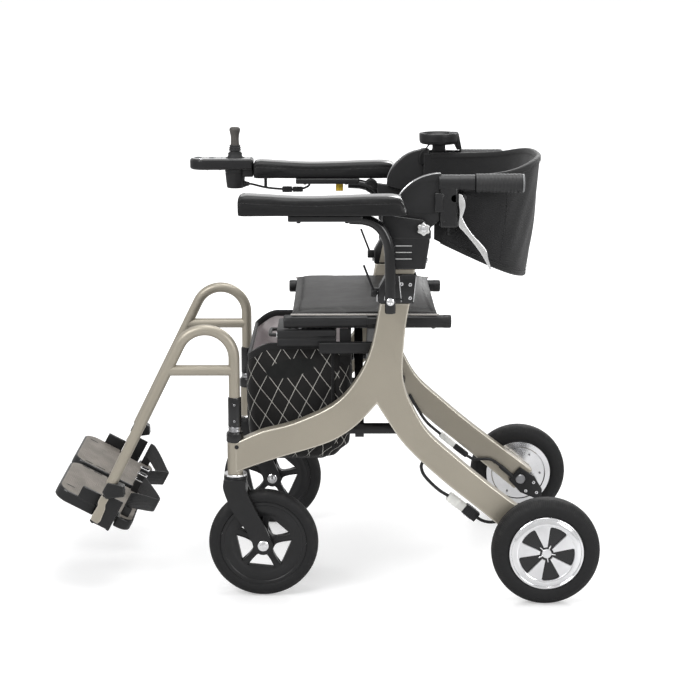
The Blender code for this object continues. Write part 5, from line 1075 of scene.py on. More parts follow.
def bag_level(height):
    """How far the bag is drawn in at the front, at the back and to its half width, at a height."""
    for low, high in zip(keys, keys[1:]):
        if height <= high[0]:
            share = (height - low[0]) / (high[0] - low[0])
            share = share * share * (3 - 2 * share) if low[0] < 0.03 else share
            return [a + (b - a) * share for a, b in zip(low[1:], high[1:])]
    return list(keys[-1][1:])


def bag_rim(y):
    """The rim's height, which drops towards the front."""
    ahead = max(0.0, 1 - (y - bag_front) / 0.046)
    behind = max(0.0, 1 - (bag_back - y) / 0.025)
    return bag_top - 0.026 * ahead**1.6 - 0.004 * behind**2


def rounded_loop(half_x, half_y, corner, step):
    """Points round a rectangle with round corners, evenly spaced."""
    corners = ((1, 1, 0), (-1, 1, 90), (-1, -1, 180), (1, -1, 270))
    loop = []
    for way_x, way_y, start in corners:
        middle = (way_x * (half_x - corner), way_y * (half_y - corner))
        loop += arc(middle, corner, start, start + 90, max(2, round(corner * math.pi / 2 / step)))
    even = []
    for a, b in zip(loop, [*loop[1:], loop[0]]):
        count = max(1, round((b - a).length / step))
        even += [a.lerp(b, i / count) for i in range(count)]
    return even


bag_half_y = (bag_back - bag_front) / 2
loop = rounded_loop(BAG_HALF, bag_half_y, 0.022, CLOTH_STEP)
round_way = [0.0]
for a, b in zip(loop, [*loop[1:], loop[0]]):
    round_way.append(round_way[-1] + (b - a).length)
bm = bmesh.new()
uv_layer = bm.loops.layers.uv.new("map")
heights = [0.0, 0.0008, 0.003, 0.006, 0.01, 0.015] + [0.02 + CLOTH_STEP * i for i in range(49)]
heights = [h for h in heights if h < BAG_RISE] + [BAG_RISE]


def bag_point(index, height):
    """A place on the bag's cloth, puffed up between its seams."""
    front_in, back_in, half = bag_level(height)
    share = (loop[index].y + bag_half_y) / (2 * bag_half_y)
    y = bag_front + front_in + (bag_back - bag_front - front_in - back_in) * share
    x = loop[index].x / BAG_HALF * half
    z = bag_foot + height * (bag_rim(y) - bag_foot) / BAG_RISE
    u, v = round_way[index] + z * QUILT_SLANT, z
    one, two = u / QUILT_WIDTH + v / QUILT_HEIGHT, u / QUILT_WIDTH - v / QUILT_HEIGHT
    puff = (abs(math.sin(math.pi * one)) * abs(math.sin(math.pi * two))) ** 0.55
    flat = min(1.0, max(0.0, (height - 0.004) / 0.02)) * min(1.0, max(0.0, (0.214 - height) / 0.012))
    slack = math.sin(math.pi * min(1.0, height / BAG_RISE))
    out = 0.003 * puff * flat - 0.0016
    wave = 0.002 * slack * math.sin(u * 9.0 + v * 21.0) + 0.0012 * slack * math.sin(u * 27.0 - v * 35.0)
    way = Vector((loop[index].x * 0.6, loop[index].y))
    if abs(loop[index].x) > 0.15:
        way = Vector((math.copysign(1, loop[index].x), 0))
    elif abs(abs(loop[index].y) - bag_half_y) < 0.002:
        way = Vector((0, math.copysign(1, loop[index].y)))
    way.normalize()
    x += way.x * (out + wave)
    y += way.y * (out + wave * 0.6)
    return Vector((x, y, z))


rows = [[bm.verts.new(bag_point(index, height)) for index in range(len(loop))] for height in heights]
for count, face in enumerate(skin(bm, rows)):
    index = count % len(loop)
    for corner, u in zip(face.loops, (index, index + 1, index + 1, index)):
        corner[uv_layer].uv = (round_way[u], corner.vert.co.z)
ring = rows[0]
middle_y = sum(v.co.y for v in ring) / len(ring)
for shrink, drop in ((0.86, 0.0006), (0.62, 0.0014), (0.34, 0.002)):
    inner_ring = []
    for vert in rows[0]:
        place = Vector((vert.co.x * shrink, middle_y + (vert.co.y - middle_y) * shrink, bag_foot - drop))
        inner_ring.append(bm.verts.new(place))
    for face in skin(bm, [inner_ring, ring]):
        for corner in face.loops:
            corner[uv_layer].uv = (corner.vert.co.x, corner.vert.co.y)
    ring = inner_ring
pole = bm.verts.new((0, middle_y, bag_foot - 0.0022))
skin(bm, [[pole] * len(loop), ring])
rim_line = [vert.co.copy() for vert in rows[-1]]
bmesh.ops.recalc_face_normals(bm, faces=bm.faces)
shell = shape("shell", bm, QUILT, LINING_PAINTED_LIGHT, sharp=80)
wall = shell.modifiers.new("foam and lining", "SOLIDIFY")
wall.thickness = 0.0032
wall.offset = -1
wall.material_offset = 1
settle(shell)
shell.data.set_sharp_from_angle(angle=math.radians(80))
band = mm((-3, -10), (1.6, -10), (2.2, -4), (2, 0.6), (-0.8, 2), (-3.4, 0.6), (-3.6, -4))
rim_band = swept("rim", [p + Vector((0, 0, 0.0006)) for p in rim_line], band, (0, 0, 1), BINDING, closed=True)
seams = []
ribbon = mm((-3.2, -1), (3.2, -1), (2.6, 1.2), (0, 1.8), (-2.6, 1.2))
for side in (1, -1):
    line = []
    for height in [0.012 * i for i in range(2, 19)]:
        half = bag_level(height)[2]
        line.append(Vector((side * (half - 0.0002), bag_back - 0.034, bag_foot + height)))
    seams.append(swept("seam", smooth(line, 2), ribbon, (side, 0, 0), BINDING))
straps = []
flat_strap = oblong((-0.01, 0.01), (-0.0008, 0.0008))
for side in (1, -1):
    strap_y = bag_back - 0.0115
    route = mm((164, 418), (166.5, 433), (169, 442), (176, 445.5), (183, 452), (186, 470), (186, 490.5))
    path = [Vector((side * x, strap_y, z)) for x, z in route]
    facing = [Vector((side * 1.0, 0, 0.2)), Vector((side, 0, 0.1)), Vector((side * 0.6, 0, -0.6)),
        Vector((side * 0.2, 0, -1)), Vector((side * 0.7, 0, -0.6)), Vector((side, 0, 0)),
        Vector((side, 0, 0))]
    straps.append(swept("rail strap", path, flat_strap, facing, WEBBING))
    low_y = bag_front + 0.0255
    path = [Vector((side * x, low_y, z)) for x, z in ((0.163, 0.262), (0.1665, 0.272), (0.178, 0.283),
        (0.195, 0.2855), (0.2057, 0.2855))]
    facing = [Vector((side, 0, 0.2)), Vector((side, 0, -0.5)), Vector((side * 0.3, 0, -1)),
        Vector((0, 0, -1)), Vector((0, 0, -1))]
    straps.append(swept("frame strap", path, flat_strap, facing, WEBBING))
bag = join("quilted_bag", shell, rim_band, *seams, *straps)
bag.data.set_sharp_from_angle(angle=math.radians(60))
fit(bag, "left_side", "fabric", "bag")
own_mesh(bag)

# Seat
# A thin foam seat in leatherette, hung between the seat rails: crowned, sewn across near both ends,
# and edged along both rails with a piping painted pale, a painted highlight along the seat's edges.


def leatherette(name, colour, roughness, coat=0.0, grain=640.0, depth=0.00018):
    """Coated cloth with a pebbled grain, shinier where it is rubbed, and darker in the grain's creases as
    painted shade.
    """
    finish = Finish(name, roughness, Specular_IOR_Level=0.3, Coat_Weight=coat, Coat_Roughness=0.06)
    pebble = finish.cells(grain, "SMOOTH_F1")
    crease = finish.node("ShaderNodeTexVoronoi", {"feature": "DISTANCE_TO_EDGE"},
        {"Vector": finish.place, "Scale": grain * 0.5})
    folds = crease.between(0.0, 0.09)
    tone = finish.noise(18.0, 4.0).between(0.3, 0.75)
    darker = toned(colour, 0.7)
    lighter = toned(colour, 1.3)
    # Creases of the grain are darker: part grain pattern, part painted shade.
    finish.set("Base Color", finish.mix(folds, darker, finish.mix(tone, colour, lighter)))
    finish.set("Roughness", roughness - 0.06 + 0.14 * finish.noise(46.0, 5.0))
    finish.relief(folds * 0.7 + pebble * 0.5 + finish.noise(20.0, 3.0) * 0.8, depth, 0.6)
    return finish.material


def swollen(piece, voxel, most, pressure=4.0):
    """Mesh a padded form evenly, and let pressure fill it as its foam does, no further than most."""
    even = piece.modifiers.new("even mesh", "REMESH")
    even.mode = "VOXEL"
    even.voxel_size = voxel
    settle(piece)
    first = [vert.co.copy() for vert in piece.data.vertices]
    cloth = piece.modifiers.new("stuffing", "CLOTH")
    cloth.settings.use_pressure = True
    cloth.settings.uniform_pressure_force = pressure
    cloth.settings.effector_weights.gravity = 0
    cloth.settings.quality = 5
    cloth.point_cache.frame_end = 20
    for step in range(1, 21):
        bpy.context.scene.frame_set(step)
    filled = piece.evaluated_get(bpy.context.evaluated_depsgraph_get()).to_mesh()
    places = [vert.co.copy() for vert in filled.vertices]
    piece.modifiers.clear()
    for vert, start, place in zip(piece.data.vertices, first, places):
        move = place - start
        if move.length > most:
            move = move.normalized() * most
        vert.co = start + move
    bpy.context.scene.frame_set(1)
    finer = piece.modifiers.new("finer mesh", "SUBSURF")
    finer.levels = 1
    finer.render_levels = 1
    settle(piece)
    piece.data.set_sharp_from_angle(angle=math.radians(80))
    return piece


def draw_in(piece, lines, depth, reach):
    """Pull the cover in along its seams."""
    normals = [vert.normal.copy() for vert in piece.data.vertices]
    for vert, normal in zip(piece.data.vertices, normals):
        nearest = min((vert.co - point).length for line in lines for point in line)
        if nearest < 3 * reach:
            vert.co -= normal * depth * math.exp(-((nearest / reach) ** 2))
    return piece


def stitch_tree():
    """Short rounded stitches along a line, lying along it."""
    nodes, given = new_tree("stitches", Spacing=0.004, Length=0.0026, Radius=0.0004, Finish=NYLON)
    line = nodes.node("GeometryNodeMeshToCurve", {}, {"Mesh": given["Geometry"]})
    points = nodes.node("GeometryNodeResampleCurve", {"mode": "LENGTH"},
        {"Curve": line, "Length": given["Spacing"]})
    thread = nodes.node("GeometryNodeMeshCylinder", {}, {"Vertices": 6, "Radius": given["Radius"],
        "Depth": given["Length"]})
    tangent = nodes.node("GeometryNodeInputTangent")
    turn = nodes.node("FunctionNodeAlignRotationToVector", {"axis": "Z"}, {"Vector": tangent})
    placed = nodes.node("GeometryNodeInstanceOnPoints", {},
        {"Points": points, "Instance": thread, "Rotation": turn})
    return end_tree(nodes, placed, given["Finish"])


STITCHES = stitch_tree()


def stitched(name, lines, finish, spacing=0.0042, length=0.0028, radius=0.0004):
    """Stitches along lines of points."""
    mesh = bpy.data.meshes.new(name)
    points = []
    edges = []
    for line in lines:
        edges += [(len(points) + i, len(points) + i + 1) for i in range(len(line) - 1)]
        points += [tuple(point) for point in line]
    mesh.from_pydata(points, edges, [])
    return grown(name, added(name, mesh), STITCHES, Spacing=spacing, Length=length, Radius=radius,
        Finish=finish)


def laid(piece, points, proud=0.0):
    """Points moved onto the nearest place of a piece's surface, and a little out of it."""
    moved = []
    for point in points:
        place, normal = piece.closest_point_on_mesh(point)[1:3]
        moved.append(place + normal * proud)
    return moved


SEAT_LEATHER = leatherette("seat leatherette", shade(28, 27, 26), 0.42, 0.05)
# The piping's pale colour is a painted highlight along the seat's top edges.
PALE_PIPING_HIGHLIGHT = leatherette("pale piping", shade(168, 164, 160), 0.4)
THREAD = woven("black thread", shade(34, 34, 35), 0.5, 2400.0).material
seat_front = -0.0615 + BACK
seat_back = 0.21 + BACK
under = 0.5153
rings = []
for share in (0, 0.015, 0.06, 0.2, 0.4, 0.6, 0.8, 0.94, 0.985, 1):
    y = seat_front + 0.001 + (seat_back - seat_front - 0.002) * share
    swell = math.sin(math.pi * share) ** 0.4 if 0 < share < 1 else 0.0
    reach = 0.1962 - 0.003 * math.sin(math.pi * share)
    top = under + 0.0072 * (0.55 + 0.45 * swell)
    sag = under - 0.0075 * swell
    turns = [math.pi * i / 16 for i in range(17)]
    crown = [(reach * 0.985 * math.cos(t), top + 0.0035 * swell * math.sin(t)) for t in turns]
    right = [(-reach, under + 0.0022), (-reach + 0.002, under + 0.0002), (-0.172, under + 0.0002),
        (-0.16, sag)]
    left = [(-x, z) for x, z in reversed(right)]
    rings.append([Vector((x, y, z)) for x, z in right + left + crown])


def lofted(name, rings, *finishes):
    """A closed piece through rings of as many points each."""
    bm = bmesh.new()
    made = [[bm.verts.new(corner) for corner in ring] for ring in rings]
    skin(bm, made)
    bm.faces.new(made[0])
    bm.faces.new(made[-1])
    return shape(name, bm, *finishes)


cushion = swollen(lofted("cushion", rings, SEAT_LEATHER), 0.0045, 0.004)
seam_lines = []
for y in (seat_front + 0.014, seat_back - 0.014):
    line = laid(cushion, [Vector((x / 100 * 0.19, y, under + 0.03)) for x in range(-100, 101, 4)])
    seam_lines.append(line)
draw_in(cushion, seam_lines, 0.0016, 0.0035)
seat_threads = stitched("seat stitches", [laid(cushion, line, 0.0001) for line in seam_lines], THREAD)
edges = []
for side in (1, -1):
    points = [Vector((side * 0.1968, seat_front + 0.004 + (seat_back - seat_front - 0.008) * i / 40,
        under + 0.0024)) for i in range(41)]
    edges.append(pipe("piping", points, 0.0017, PALE_PIPING_HIGHLIGHT, sides=10, rounded=0.0015))
seat = join("seat_cushion", cushion, seat_threads, *edges)
seat.data.set_sharp_from_angle(angle=math.radians(70))
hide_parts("seat")
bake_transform(seat)

# Posts
# An aluminium bar slides in each upright to set the handle's height. It is coated like the frame,
# and has a row of stops down its outer face.
POST_HALF = 0.023
TILT = JOINTS["left_handle_tilt"]
HANDLE_X = 0.2215


def lean(z):
    """The middle of the leaning upright at a height."""
    return UPRIGHT.y + (z - UPRIGHT.z) * math.tan(UPRIGHT_LEAN)


def leaning_bar(name, side, half, ends, low, high, *finishes):
    """A bar along the upright's leaning middle."""
    outline = [(lean(low) - half, low), (lean(low) + half, low), (lean(high) + half, high),
        (lean(high) - half, high)]
    return plate(name, outline, (side * ends[0], side * ends[1]), "X", *finishes)


for hand, side in SIDES:
    bar = rounded(leaning_bar(hand + "_post_bar", side, POST_HALF, (0.21, 0.23), 0.415, 0.65, CHAMPAGNE,
        HIGHLIGHT_EDGE_PAINT), 0.003, 4, 1)
    settle(bar)
    stops = [turned("stop", mm((0, -1.6), (3.2, -1.6), (3.6, 2), (0, 2)), (side * 0.23, lean(z), z), "X",
        STEEL, segments=24) for z in (0.45, 0.475, 0.5, 0.525, 0.55)]
    fit(cut(bar, *stops), hand + "_post", "champagne_paint", hand + "_post")

# Clamp collars and levers
# A moulded collar with two bright strips grips each post where it leaves the upright. A straight
# lever in front closes it, and the armrest's shouldered bolt goes through it.
COLLAR_LOW = 0.5448
COLLAR_HIGH = 0.5975
ARM_TUBE = JOINTS["left_armrest_lift"]
for hand, side in SIDES:
    front, back = UPRIGHT.y - POST_HALF, UPRIGHT.y + POST_HALF
    outline = [(front - 0.0065, COLLAR_LOW), (back + 0.0105, COLLAR_LOW), (back + 0.015, COLLAR_HIGH),
        (front + 0.008, COLLAR_HIGH), (front - 0.0065, COLLAR_HIGH - 0.026)]
    ends = beyond(side, 203, 237)
    collar = settle(rounded(plate("collar", outline, ends, "X", GLOSS), 0.003, 4))
    bore = leaning_bar("bore", side, POST_HALF + 0.0005, (0.2095, 0.2305), COLLAR_LOW - 0.01,
        COLLAR_HIGH + 0.01)
    slit = block("slit", beyond(side, 219, 221.2), (front - 0.01, front + 0.012),
        (COLLAR_HIGH - 0.044, COLLAR_HIGH + 0.01), BLACK)
    cut(collar, bore, slit)
    hinge = JOINTS[hand + "_clamp_lever_turn"]
    lug = rounded(block("lug", beyond(side, 216, 224), (front - 0.0195, front - 0.005),
        (COLLAR_HIGH - 0.043, COLLAR_HIGH - 0.027), BLACK), 0.002, 3)
    arm_side = side * (ARM_TUBE.x - 0.0095 - 0.0003)
    profile = [*outward(mm((0, 233), (10, 233), (10, 238.5), (8.5, 239.5)), side), (0.0085, arm_side),
        (0.004, arm_side), *outward(mm((4, 271.3), (6.6, 271.3), (7, 272.2), (6.6, 274.2), (5, 275.2),
        (3.4, 275.5), (2.8, 274), (0, 274)), side)]
    bolt = turned("bolt", profile, (0, *ARM_TUBE.yz), "X", CHROME, segments=48)
    rib = rounded(leaning_bar("rib", side, 0.0125, (0.2368, 0.2382), COLLAR_LOW + 0.006,
        COLLAR_LOW + 0.0095, BLACK), 0.0006, 2)
    tension = pipe("tension screw", mm((0, -8.5, 547), (0, -8.5, 565.5), at=(side * 0.2265, front, 0)),
        0.0017, CHROME, sides=12)
    heads = screws("collar screws", [((side * 0.237, y, z), (side, 0, 0))
        for y, z in ((0.1348, 0.5802), (0.15, 0.579), (0.15, 0.5551))], 0.0032, 0.0016, CHROME, POWDER)
    strips = []
    for low_y, high_y in ((front + 0.0338, front + 0.0295), (back + 0.0092, back + 0.0137)):
        strip = [(low_y - 0.0007, COLLAR_LOW + 0.003), (low_y + 0.0007, COLLAR_LOW + 0.003),
            (high_y + 0.0007, COLLAR_HIGH - 0.004), (high_y - 0.0007, COLLAR_HIGH - 0.004)]
        strips.append(rounded(plate("strip", strip, beyond(side, 236.6, 237.6), "X", CHROME), 0.0003, 1))
    cover = leaning_bar("cover", side, 0.02, (0.202, 0.2032), COLLAR_LOW + 0.003, COLLAR_HIGH - 0.004,
        CHAMPAGNE)
    gap = leaning_bar("gap", side, 0.0035, (0.2016, 0.203), COLLAR_LOW + 0.006, COLLAR_HIGH - 0.008, CABLE)
    strips += [rounded(cover, 0.0004, 2), gap]
    whole = join(hand + "_collar", collar, lug, bolt, rib, tension, heads, *strips)
    fit(whole, hand + "_side", "black_plastic", hand + "_clamp_collar")

    rod_x = side * 0.2268
    rod_ends = [(rod_x, *hinge.yz), (rod_x, hinge.y - 0.019, hinge.z + 0.049)]
    rod_bar = pipe("rod", rod_ends, 0.002, BLACK, sides=16, rounded=0.001)
    barrel = turned("barrel", mm((0, -2.2), (4.8, -2.2), (5.6, -1.2), (5.6, 1.6), (4.6, 2.4), (3, 2.6),
        (2.6, 1.8), (0, 1.8)), (rod_x, *hinge.yz), "X", BLACK, segments=32)
    pin = turned("pin", cylinder(0.0025, side * 0.217, rod_x), (0, *hinge.yz), "X", STEEL, segments=20)
    lever = join(hand + "_lever", rod_bar, barrel, pin)
    fit(lever, hand + "_clamp", "black_plastic", hand + "_clamp_lever")

# Handle brackets and star knobs
# A moulded housing caps each post, with bright inlays on its cheek. A silver six-lobed knob on a
# stud holds the tilting handle against it.
GROOVE_HEIGHTS = (0.6482, 0.6367, 0.6251)
for hand, side in SIDES:
    low, high = 0.606, 0.664
    outline = [(lean(low) - 0.0255, low), (lean(low) + 0.04, low), (lean(high) + 0.0357, high - 0.009),
        (lean(high) + 0.0357, high), (lean(high) - 0.0393, high)]
    housing = settle(rounded(plate("housing", outline, beyond(side, 203, 239), "X", BLACK, GLOSS), 0.003, 4,
        1))
    cheek_shape = mm((-72, 25), (2, 15), (13.5, -5), (13.5, -19), (-62.5, -19), (-72, 9))
    outline = [(TILT.y + y, TILT.z + z) for y, z in cheek_shape]
    cheek = settle(rounded(plate("cheek", outline, beyond(side, 229, 239), "X", BLACK, GLOSS), 0.0022, 4, 1))
    pocket = leaning_bar("pocket", side, POST_HALF + 0.0004, (0.2096, 0.2304), low - 0.01, 0.6504)
    grooves = [block("groove", beyond(side, 238.2, 241), (0.1235, 0.153), about(z, 0.0013), BLACK)
        for z in GROOVE_HEIGHTS]
    cut(housing, pocket, *grooves)
    hole = turned("stud hole", cylinder(0.0034, -0.02, 0.02), (side * 0.234, *TILT.yz), "X", BLACK,
        segments=24)
    cut(cheek, hole)
    inlays = [rounded(block("inlay", beyond(side, 237.5, 238.8), (0.1239, 0.1526), about(z, 0.001), ALLOY),
        0.0003, 1) for z in GROOVE_HEIGHTS]
    heads = screws("housing screws", [((side * 0.23, 0.1775, 0.6215), (0, 1, 0))], 0.0048, 0.0032, CHROME,
        STEEL)
    inside = screws("inner screws", [((side * 0.203, y, z), (-side, 0, 0))
        for y, z in ((0.125, 0.62), (0.158, 0.62), (0.125, 0.652), (0.165, 0.652))], 0.003, 0.0015, STEEL,
        POWDER)
    whole = join(hand + "_handle_housing", housing, cheek, *inlays, heads, inside)
    fit(whole, hand + "_post", "black_plastic", hand + "_handle_bracket")

    lobes = []
    for index in range(96):
        turn = math.tau * index / 96
        reach = 0.012 * (0.905 + 0.095 * math.cos(6 * turn))
        lobes.append((TILT.y + reach * math.sin(turn), TILT.z + reach * math.cos(turn)))
    knob = rounded(plate("knob", lobes, beyond(side, 239.3, 250), "X", ALLOY, sharp=40), 0.0022, 4)
    cap = turned("cap", outward(mm((0, 251.2), (2.8, 251.1), (5, 250.5), (5.8, 249.5), (0, 249)), side),
        (0, *TILT.yz), "X", CHROME, segments=32)
    stud = turned("stud", cylinder(0.003, side * 0.2167, side * 0.2423), (0, *TILT.yz), "X", STEEL,
        segments=24)
    fit(join(hand + "_lobed_knob", knob, cap, stud), hand + "_knob", "hub_alloy", hand + "_star_knob")

# Handle heads
# A moulded arch carries the backrest and the handle tube, and holds the brake housing with its
# two ears. A thin bright steel rod follows its curved edge, a painted highlight of the glossy black edge.
HANDLE_Z = TILT.z + 0.0775
HANDLE_Y = TILT.y + 0.0315
LEVER = JOINTS["left_brake_squeeze"]
SLEEVE_END = HANDLE_Y + 0.0595


def link(near, far, near_radius, far_radius):
    """The outline round two circles side by side."""
    return arc(near, near_radius, 90, 270, 14) + arc(far, far_radius, -90, 90, 14)


for hand, side in SIDES:
    foot = TILT.z + 0.021
    arch_top = HANDLE_Z + 0.018
    turns = [math.radians(90 * i / 20) for i in range(21)]
    arch = [(HANDLE_Y - 0.0845 * math.sin(t), foot + (arch_top - foot) * math.cos(t)) for t in turns]
    outline = [(HANDLE_Y, foot - 0.008), (HANDLE_Y, arch_top), *arch[1:]]
    outline += mm((-27, 14), (-13.5, 6.5), at=(TILT.y, TILT.z))
    outline += arc(TILT.yz, 0.013, 180, 360, 20)
    ends = beyond(side, 208.5, 228.5)
    shell = settle(rounded(plate("shell", outline, ends, "X", BLACK, GLOSS), 0.0024, 4, 1))
    middle = (TILT.y + 0.006, TILT.z + 0.035)
    inset = [(middle[0] + (y - middle[0]) * 0.8, middle[1] + (z - middle[1]) * 0.8) for y, z in arch]
    inset += [(HANDLE_Y - 0.01, foot + 0.004), (HANDLE_Y - 0.01, arch_top - 0.02)]
    panel = plate("panel", inset, beyond(side, 227.7, 231), "X", BLACK)
    hole = turned("stud hole", cylinder(0.0034, -0.013, 0.02) if side > 0
        else cylinder(0.0034, -0.02, 0.013), (side * 0.2285, *TILT.yz), "X", BLACK, segments=24)
    cut(shell, panel, hole)
    # A bright steel rod along the arch stands for the highlight on its glossy black edge: a painted
    # highlight.
    rim_path = [Vector((side * 0.2274, y, z)) for y, z in arch[1:-2]]
    rim = pipe("polished rim", rim_path, 0.001, CHROME, sides=10, up=(1, 0, 0), rounded=0.001)
    x = side * HANDLE_X
    sleeve = [(0, HANDLE_Y - 0.004), (0.015, HANDLE_Y - 0.004), (0.015, HANDLE_Y + 0.03),
        (0.0146, HANDLE_Y + 0.0305), (0.0146, HANDLE_Y + 0.032), (0.015, HANDLE_Y + 0.0325),
        (0.015, SLEEVE_END - 0.0015), (0.0138, SLEEVE_END), (0.011, SLEEVE_END),
        (0.011, SLEEVE_END + 0.0785), (0, SLEEVE_END + 0.0785)]
    tube = turned("tube", sleeve, (x, 0, HANDLE_Z), "Y", BLACK, segments=56)
    housing_x = beyond(side, 208.5, 234)
    box_end = HANDLE_Y + 0.0293
    housing = rounded(block("brake housing", housing_x, (HANDLE_Y - 0.003, box_end),
        (HANDLE_Z - 0.0775, HANDLE_Z), BLACK, GLOSS), 0.004, 4, 1)
    ears = []
    for low, high in ((-0.013, -0.008), (0.008, 0.0125)):
        outline = link((box_end - 0.006, LEVER.z), LEVER.yz, 0.0075, 0.0074)
        ears.append(rounded(plate("ear", outline, (x + side * low, x + side * high), "X", BLACK), 0.0012, 2))
    adjuster = turned("adjuster", mm((0, 14), (3.4, 14), (3.4, 8.5), (2.6, 8), (2.6, 4), (3.8, 3.5),
        (3.8, 0), (0, 0)), (x, HANDLE_Y + 0.013, HANDLE_Z - 0.091), "Z", BLACK, segments=24)
    heads = screws("head screws", [((side * 0.234, HANDLE_Y + 0.006, z), (side, 0, 0))
        for z in (HANDLE_Z - 0.068, HANDLE_Z - 0.022)] + [((side * 0.2085, HANDLE_Y + 0.018,
        HANDLE_Z - 0.012), (-side, 0, 0))], 0.0028, 0.0013, BLACK, POWDER)
    step = rounded(block("step", beyond(side, 228.5, 235), (HANDLE_Y - 0.012, HANDLE_Y + 0.004),
        (HANDLE_Z - 0.05, HANDLE_Z - 0.016), BLACK, GLOSS), 0.0018, 3, 1)
    whole = join(hand + "_head_shell", shell, rim, tube, housing, *ears, adjuster, heads, step)
    fit(whole, hand + "_handle", "black_plastic", hand + "_handle_head")

# Grips
# Soft rubber sleeves are pushed over the handle tubes. They have grooved rings to hold them by, and
# a cap on the end, painted pale grey as a painted highlight.
GRIP_LENGTH = 0.0865
GRIP_RINGS = 11
GRIP = moulded("grip rubber", shade(24, 24, 25), 0.5, 700.0, 0.0002)
# The cap's pale grey is a painted highlight on a cap that is dark.
CAP_GREY_HIGHLIGHT = moulded("cap grey", shade(120, 121, 122), 0.5, 1500.0, 0.00005)
for hand, side in SIDES:
    start = SLEEVE_END + 0.0003
    end = SLEEVE_END + GRIP_LENGTH
    profile = [(0, end - 0.0077), (0.0113, end - 0.0077), (0.0113, start), (0.015, start),
        (0.0166, start + 0.0012), (0.0168, start + 0.004)]
    for index in range(GRIP_RINGS):
        at = start + 0.008 + (end - start - 0.018) * index / GRIP_RINGS
        step = (end - start - 0.018) / GRIP_RINGS
        profile += [(0.0168, at), (0.0165, at + step * 0.18), (0.0165, at + step * 0.42),
            (0.0168, at + step * 0.6)]
    profile += mm((16.8, -5.5), (16, -5), (16, -4), (16.3, -3.8), at=(0, end))
    sleeve = turned("sleeve", [*profile, (0, end - 0.0038)], (side * HANDLE_X, 0, HANDLE_Z), "Y", GRIP,
        segments=56)
    cap = turned("cap", mm((0, -3.6), (16.4, -3.6), (16.4, -1.8), (15, -0.4), (12, 0), (5, 0), (4.5, -0.6),
        (0, -0.6), at=(0, end)), (side * HANDLE_X, 0, HANDLE_Z), "Y", CAP_GREY_HIGHLIGHT, segments=56)
    fit(join(hand + "_grip_sleeve", sleeve, cap), hand + "_handle", "rubber", hand + "_grip")

# Brake levers
# Cast and polished aluminium levers hang from the ears on a pin, and sweep back below the grips. A
# cheek beside each one is cast on by a short bridge.
for hand, side in SIDES:
    front_edge = mm((-5.5, -4), (-5, -29), (-6.6, -48), (3.1, -59.9), (15.4, -74.2), (23.6, -84.4),
        (33.9, -98.7), (41.1, -110.9), (49.3, -126.2))
    rear_edge = mm((52.4, -124.5), (47.3, -108.9), (44, -93.6), (33.9, -80.3), (19.5, -65), (7.5, -48),
        (-0.5, -30.5), (3, -16))
    turns = arc((0, 0), 0.0065, -15, 195, 16)
    tip = mm((51.8, -126.8))
    outline = [(p.x, p.y) for p in turns]
    outline += [(p.x, p.y) for p in smooth([Vector(p) for p in front_edge], 4)] + tip
    outline += [(p.x, p.y) for p in smooth([Vector(p) for p in rear_edge], 4)]
    x = side * HANDLE_X
    blade = rounded(plate("blade", [(LEVER.y + y, LEVER.z + z) for y, z in outline], about(x, 0.0075), "X",
        ALLOY, CHROME, sharp=40), 0.0026, 4, 1)
    pin = turned("pin", cylinder(0.0025, -0.0125, 0.0122), (x, *LEVER.yz), "X", STEEL, segments=24)
    head = mm((-7, 8.4), (-1.9, 7), (3.3, -2.8), (4.9, -13), (2, -24.2), (-1.2, -33), (-5, -33),
        (-5.2, -20), (-6.8, -6.9))
    head = smooth([Vector(p) for p in [*head, head[0]]], 4)[:-1]
    cheek = rounded(plate("cheek", [(LEVER.y + p.x, LEVER.z + p.y) for p in head],
        beyond(side, 234.4, 237.4), "X", ALLOY, CHROME, sharp=40), 0.001, 3, 1)
    neck = [(LEVER.y + a, LEVER.z + b) for a, b in ((-0.0045, -0.0275), (-0.001, -0.0275),
        (-0.0016, -0.0325), (-0.0045, -0.0325))]
    bridge = plate("bridge", neck, beyond(side, 225, 235), "X", ALLOY)
    whole = join(hand + "_lever_blade", blade, pin, cheek, bridge)
    fit(whole, hand + "_brake", "hub_alloy", hand + "_brake_lever")

# Backrest
# A padded cloth sling between the two handle heads, bound at its edges and sewn near both ends. It
# bulges to the rear, and leans out towards its top.
SLING = woven("backrest cloth", shade(31, 31, 32), 0.74, 620.0, 0.22).material
SLING_BACK = HANDLE_Y - 0.011
sling_half = HANDLE_X - 0.015 - 0.0003
columns, rows_up = 96, 22


def sling_point(share, up, inset, bulge=1.0):
    """A place on the sling, from one end to the other and from its foot to its top."""
    turn = math.pi * share
    reach = max(math.sin(turn), 0.0) ** 0.8
    x = (sling_half - inset) * math.copysign(abs(math.cos(turn)) ** 0.8, math.cos(turn))
    y = SLING_BACK + (0.2045 - inset) * reach
    low = TILT.z - 0.024 - 0.088 * reach
    high = HANDLE_Z + 0.0085 + 0.024 * reach**3
    swell = math.sin(math.pi * up) ** 0.7 if 0 < up < 1 else 0.0
    ripple = 0.0011 * math.sin(turn * 9 + up * 5) + 0.0008 * math.sin(turn * 23 - up * 11)
    out = bulge * (0.0028 * swell + ripple * swell)
    y += -0.024 * reach * (1 - up) + out * reach
    x += out * math.cos(turn) * 0.6
    return Vector((x, y, low + (high - low) * up + 0.0012 * math.sin(turn * 7) * reach * up))


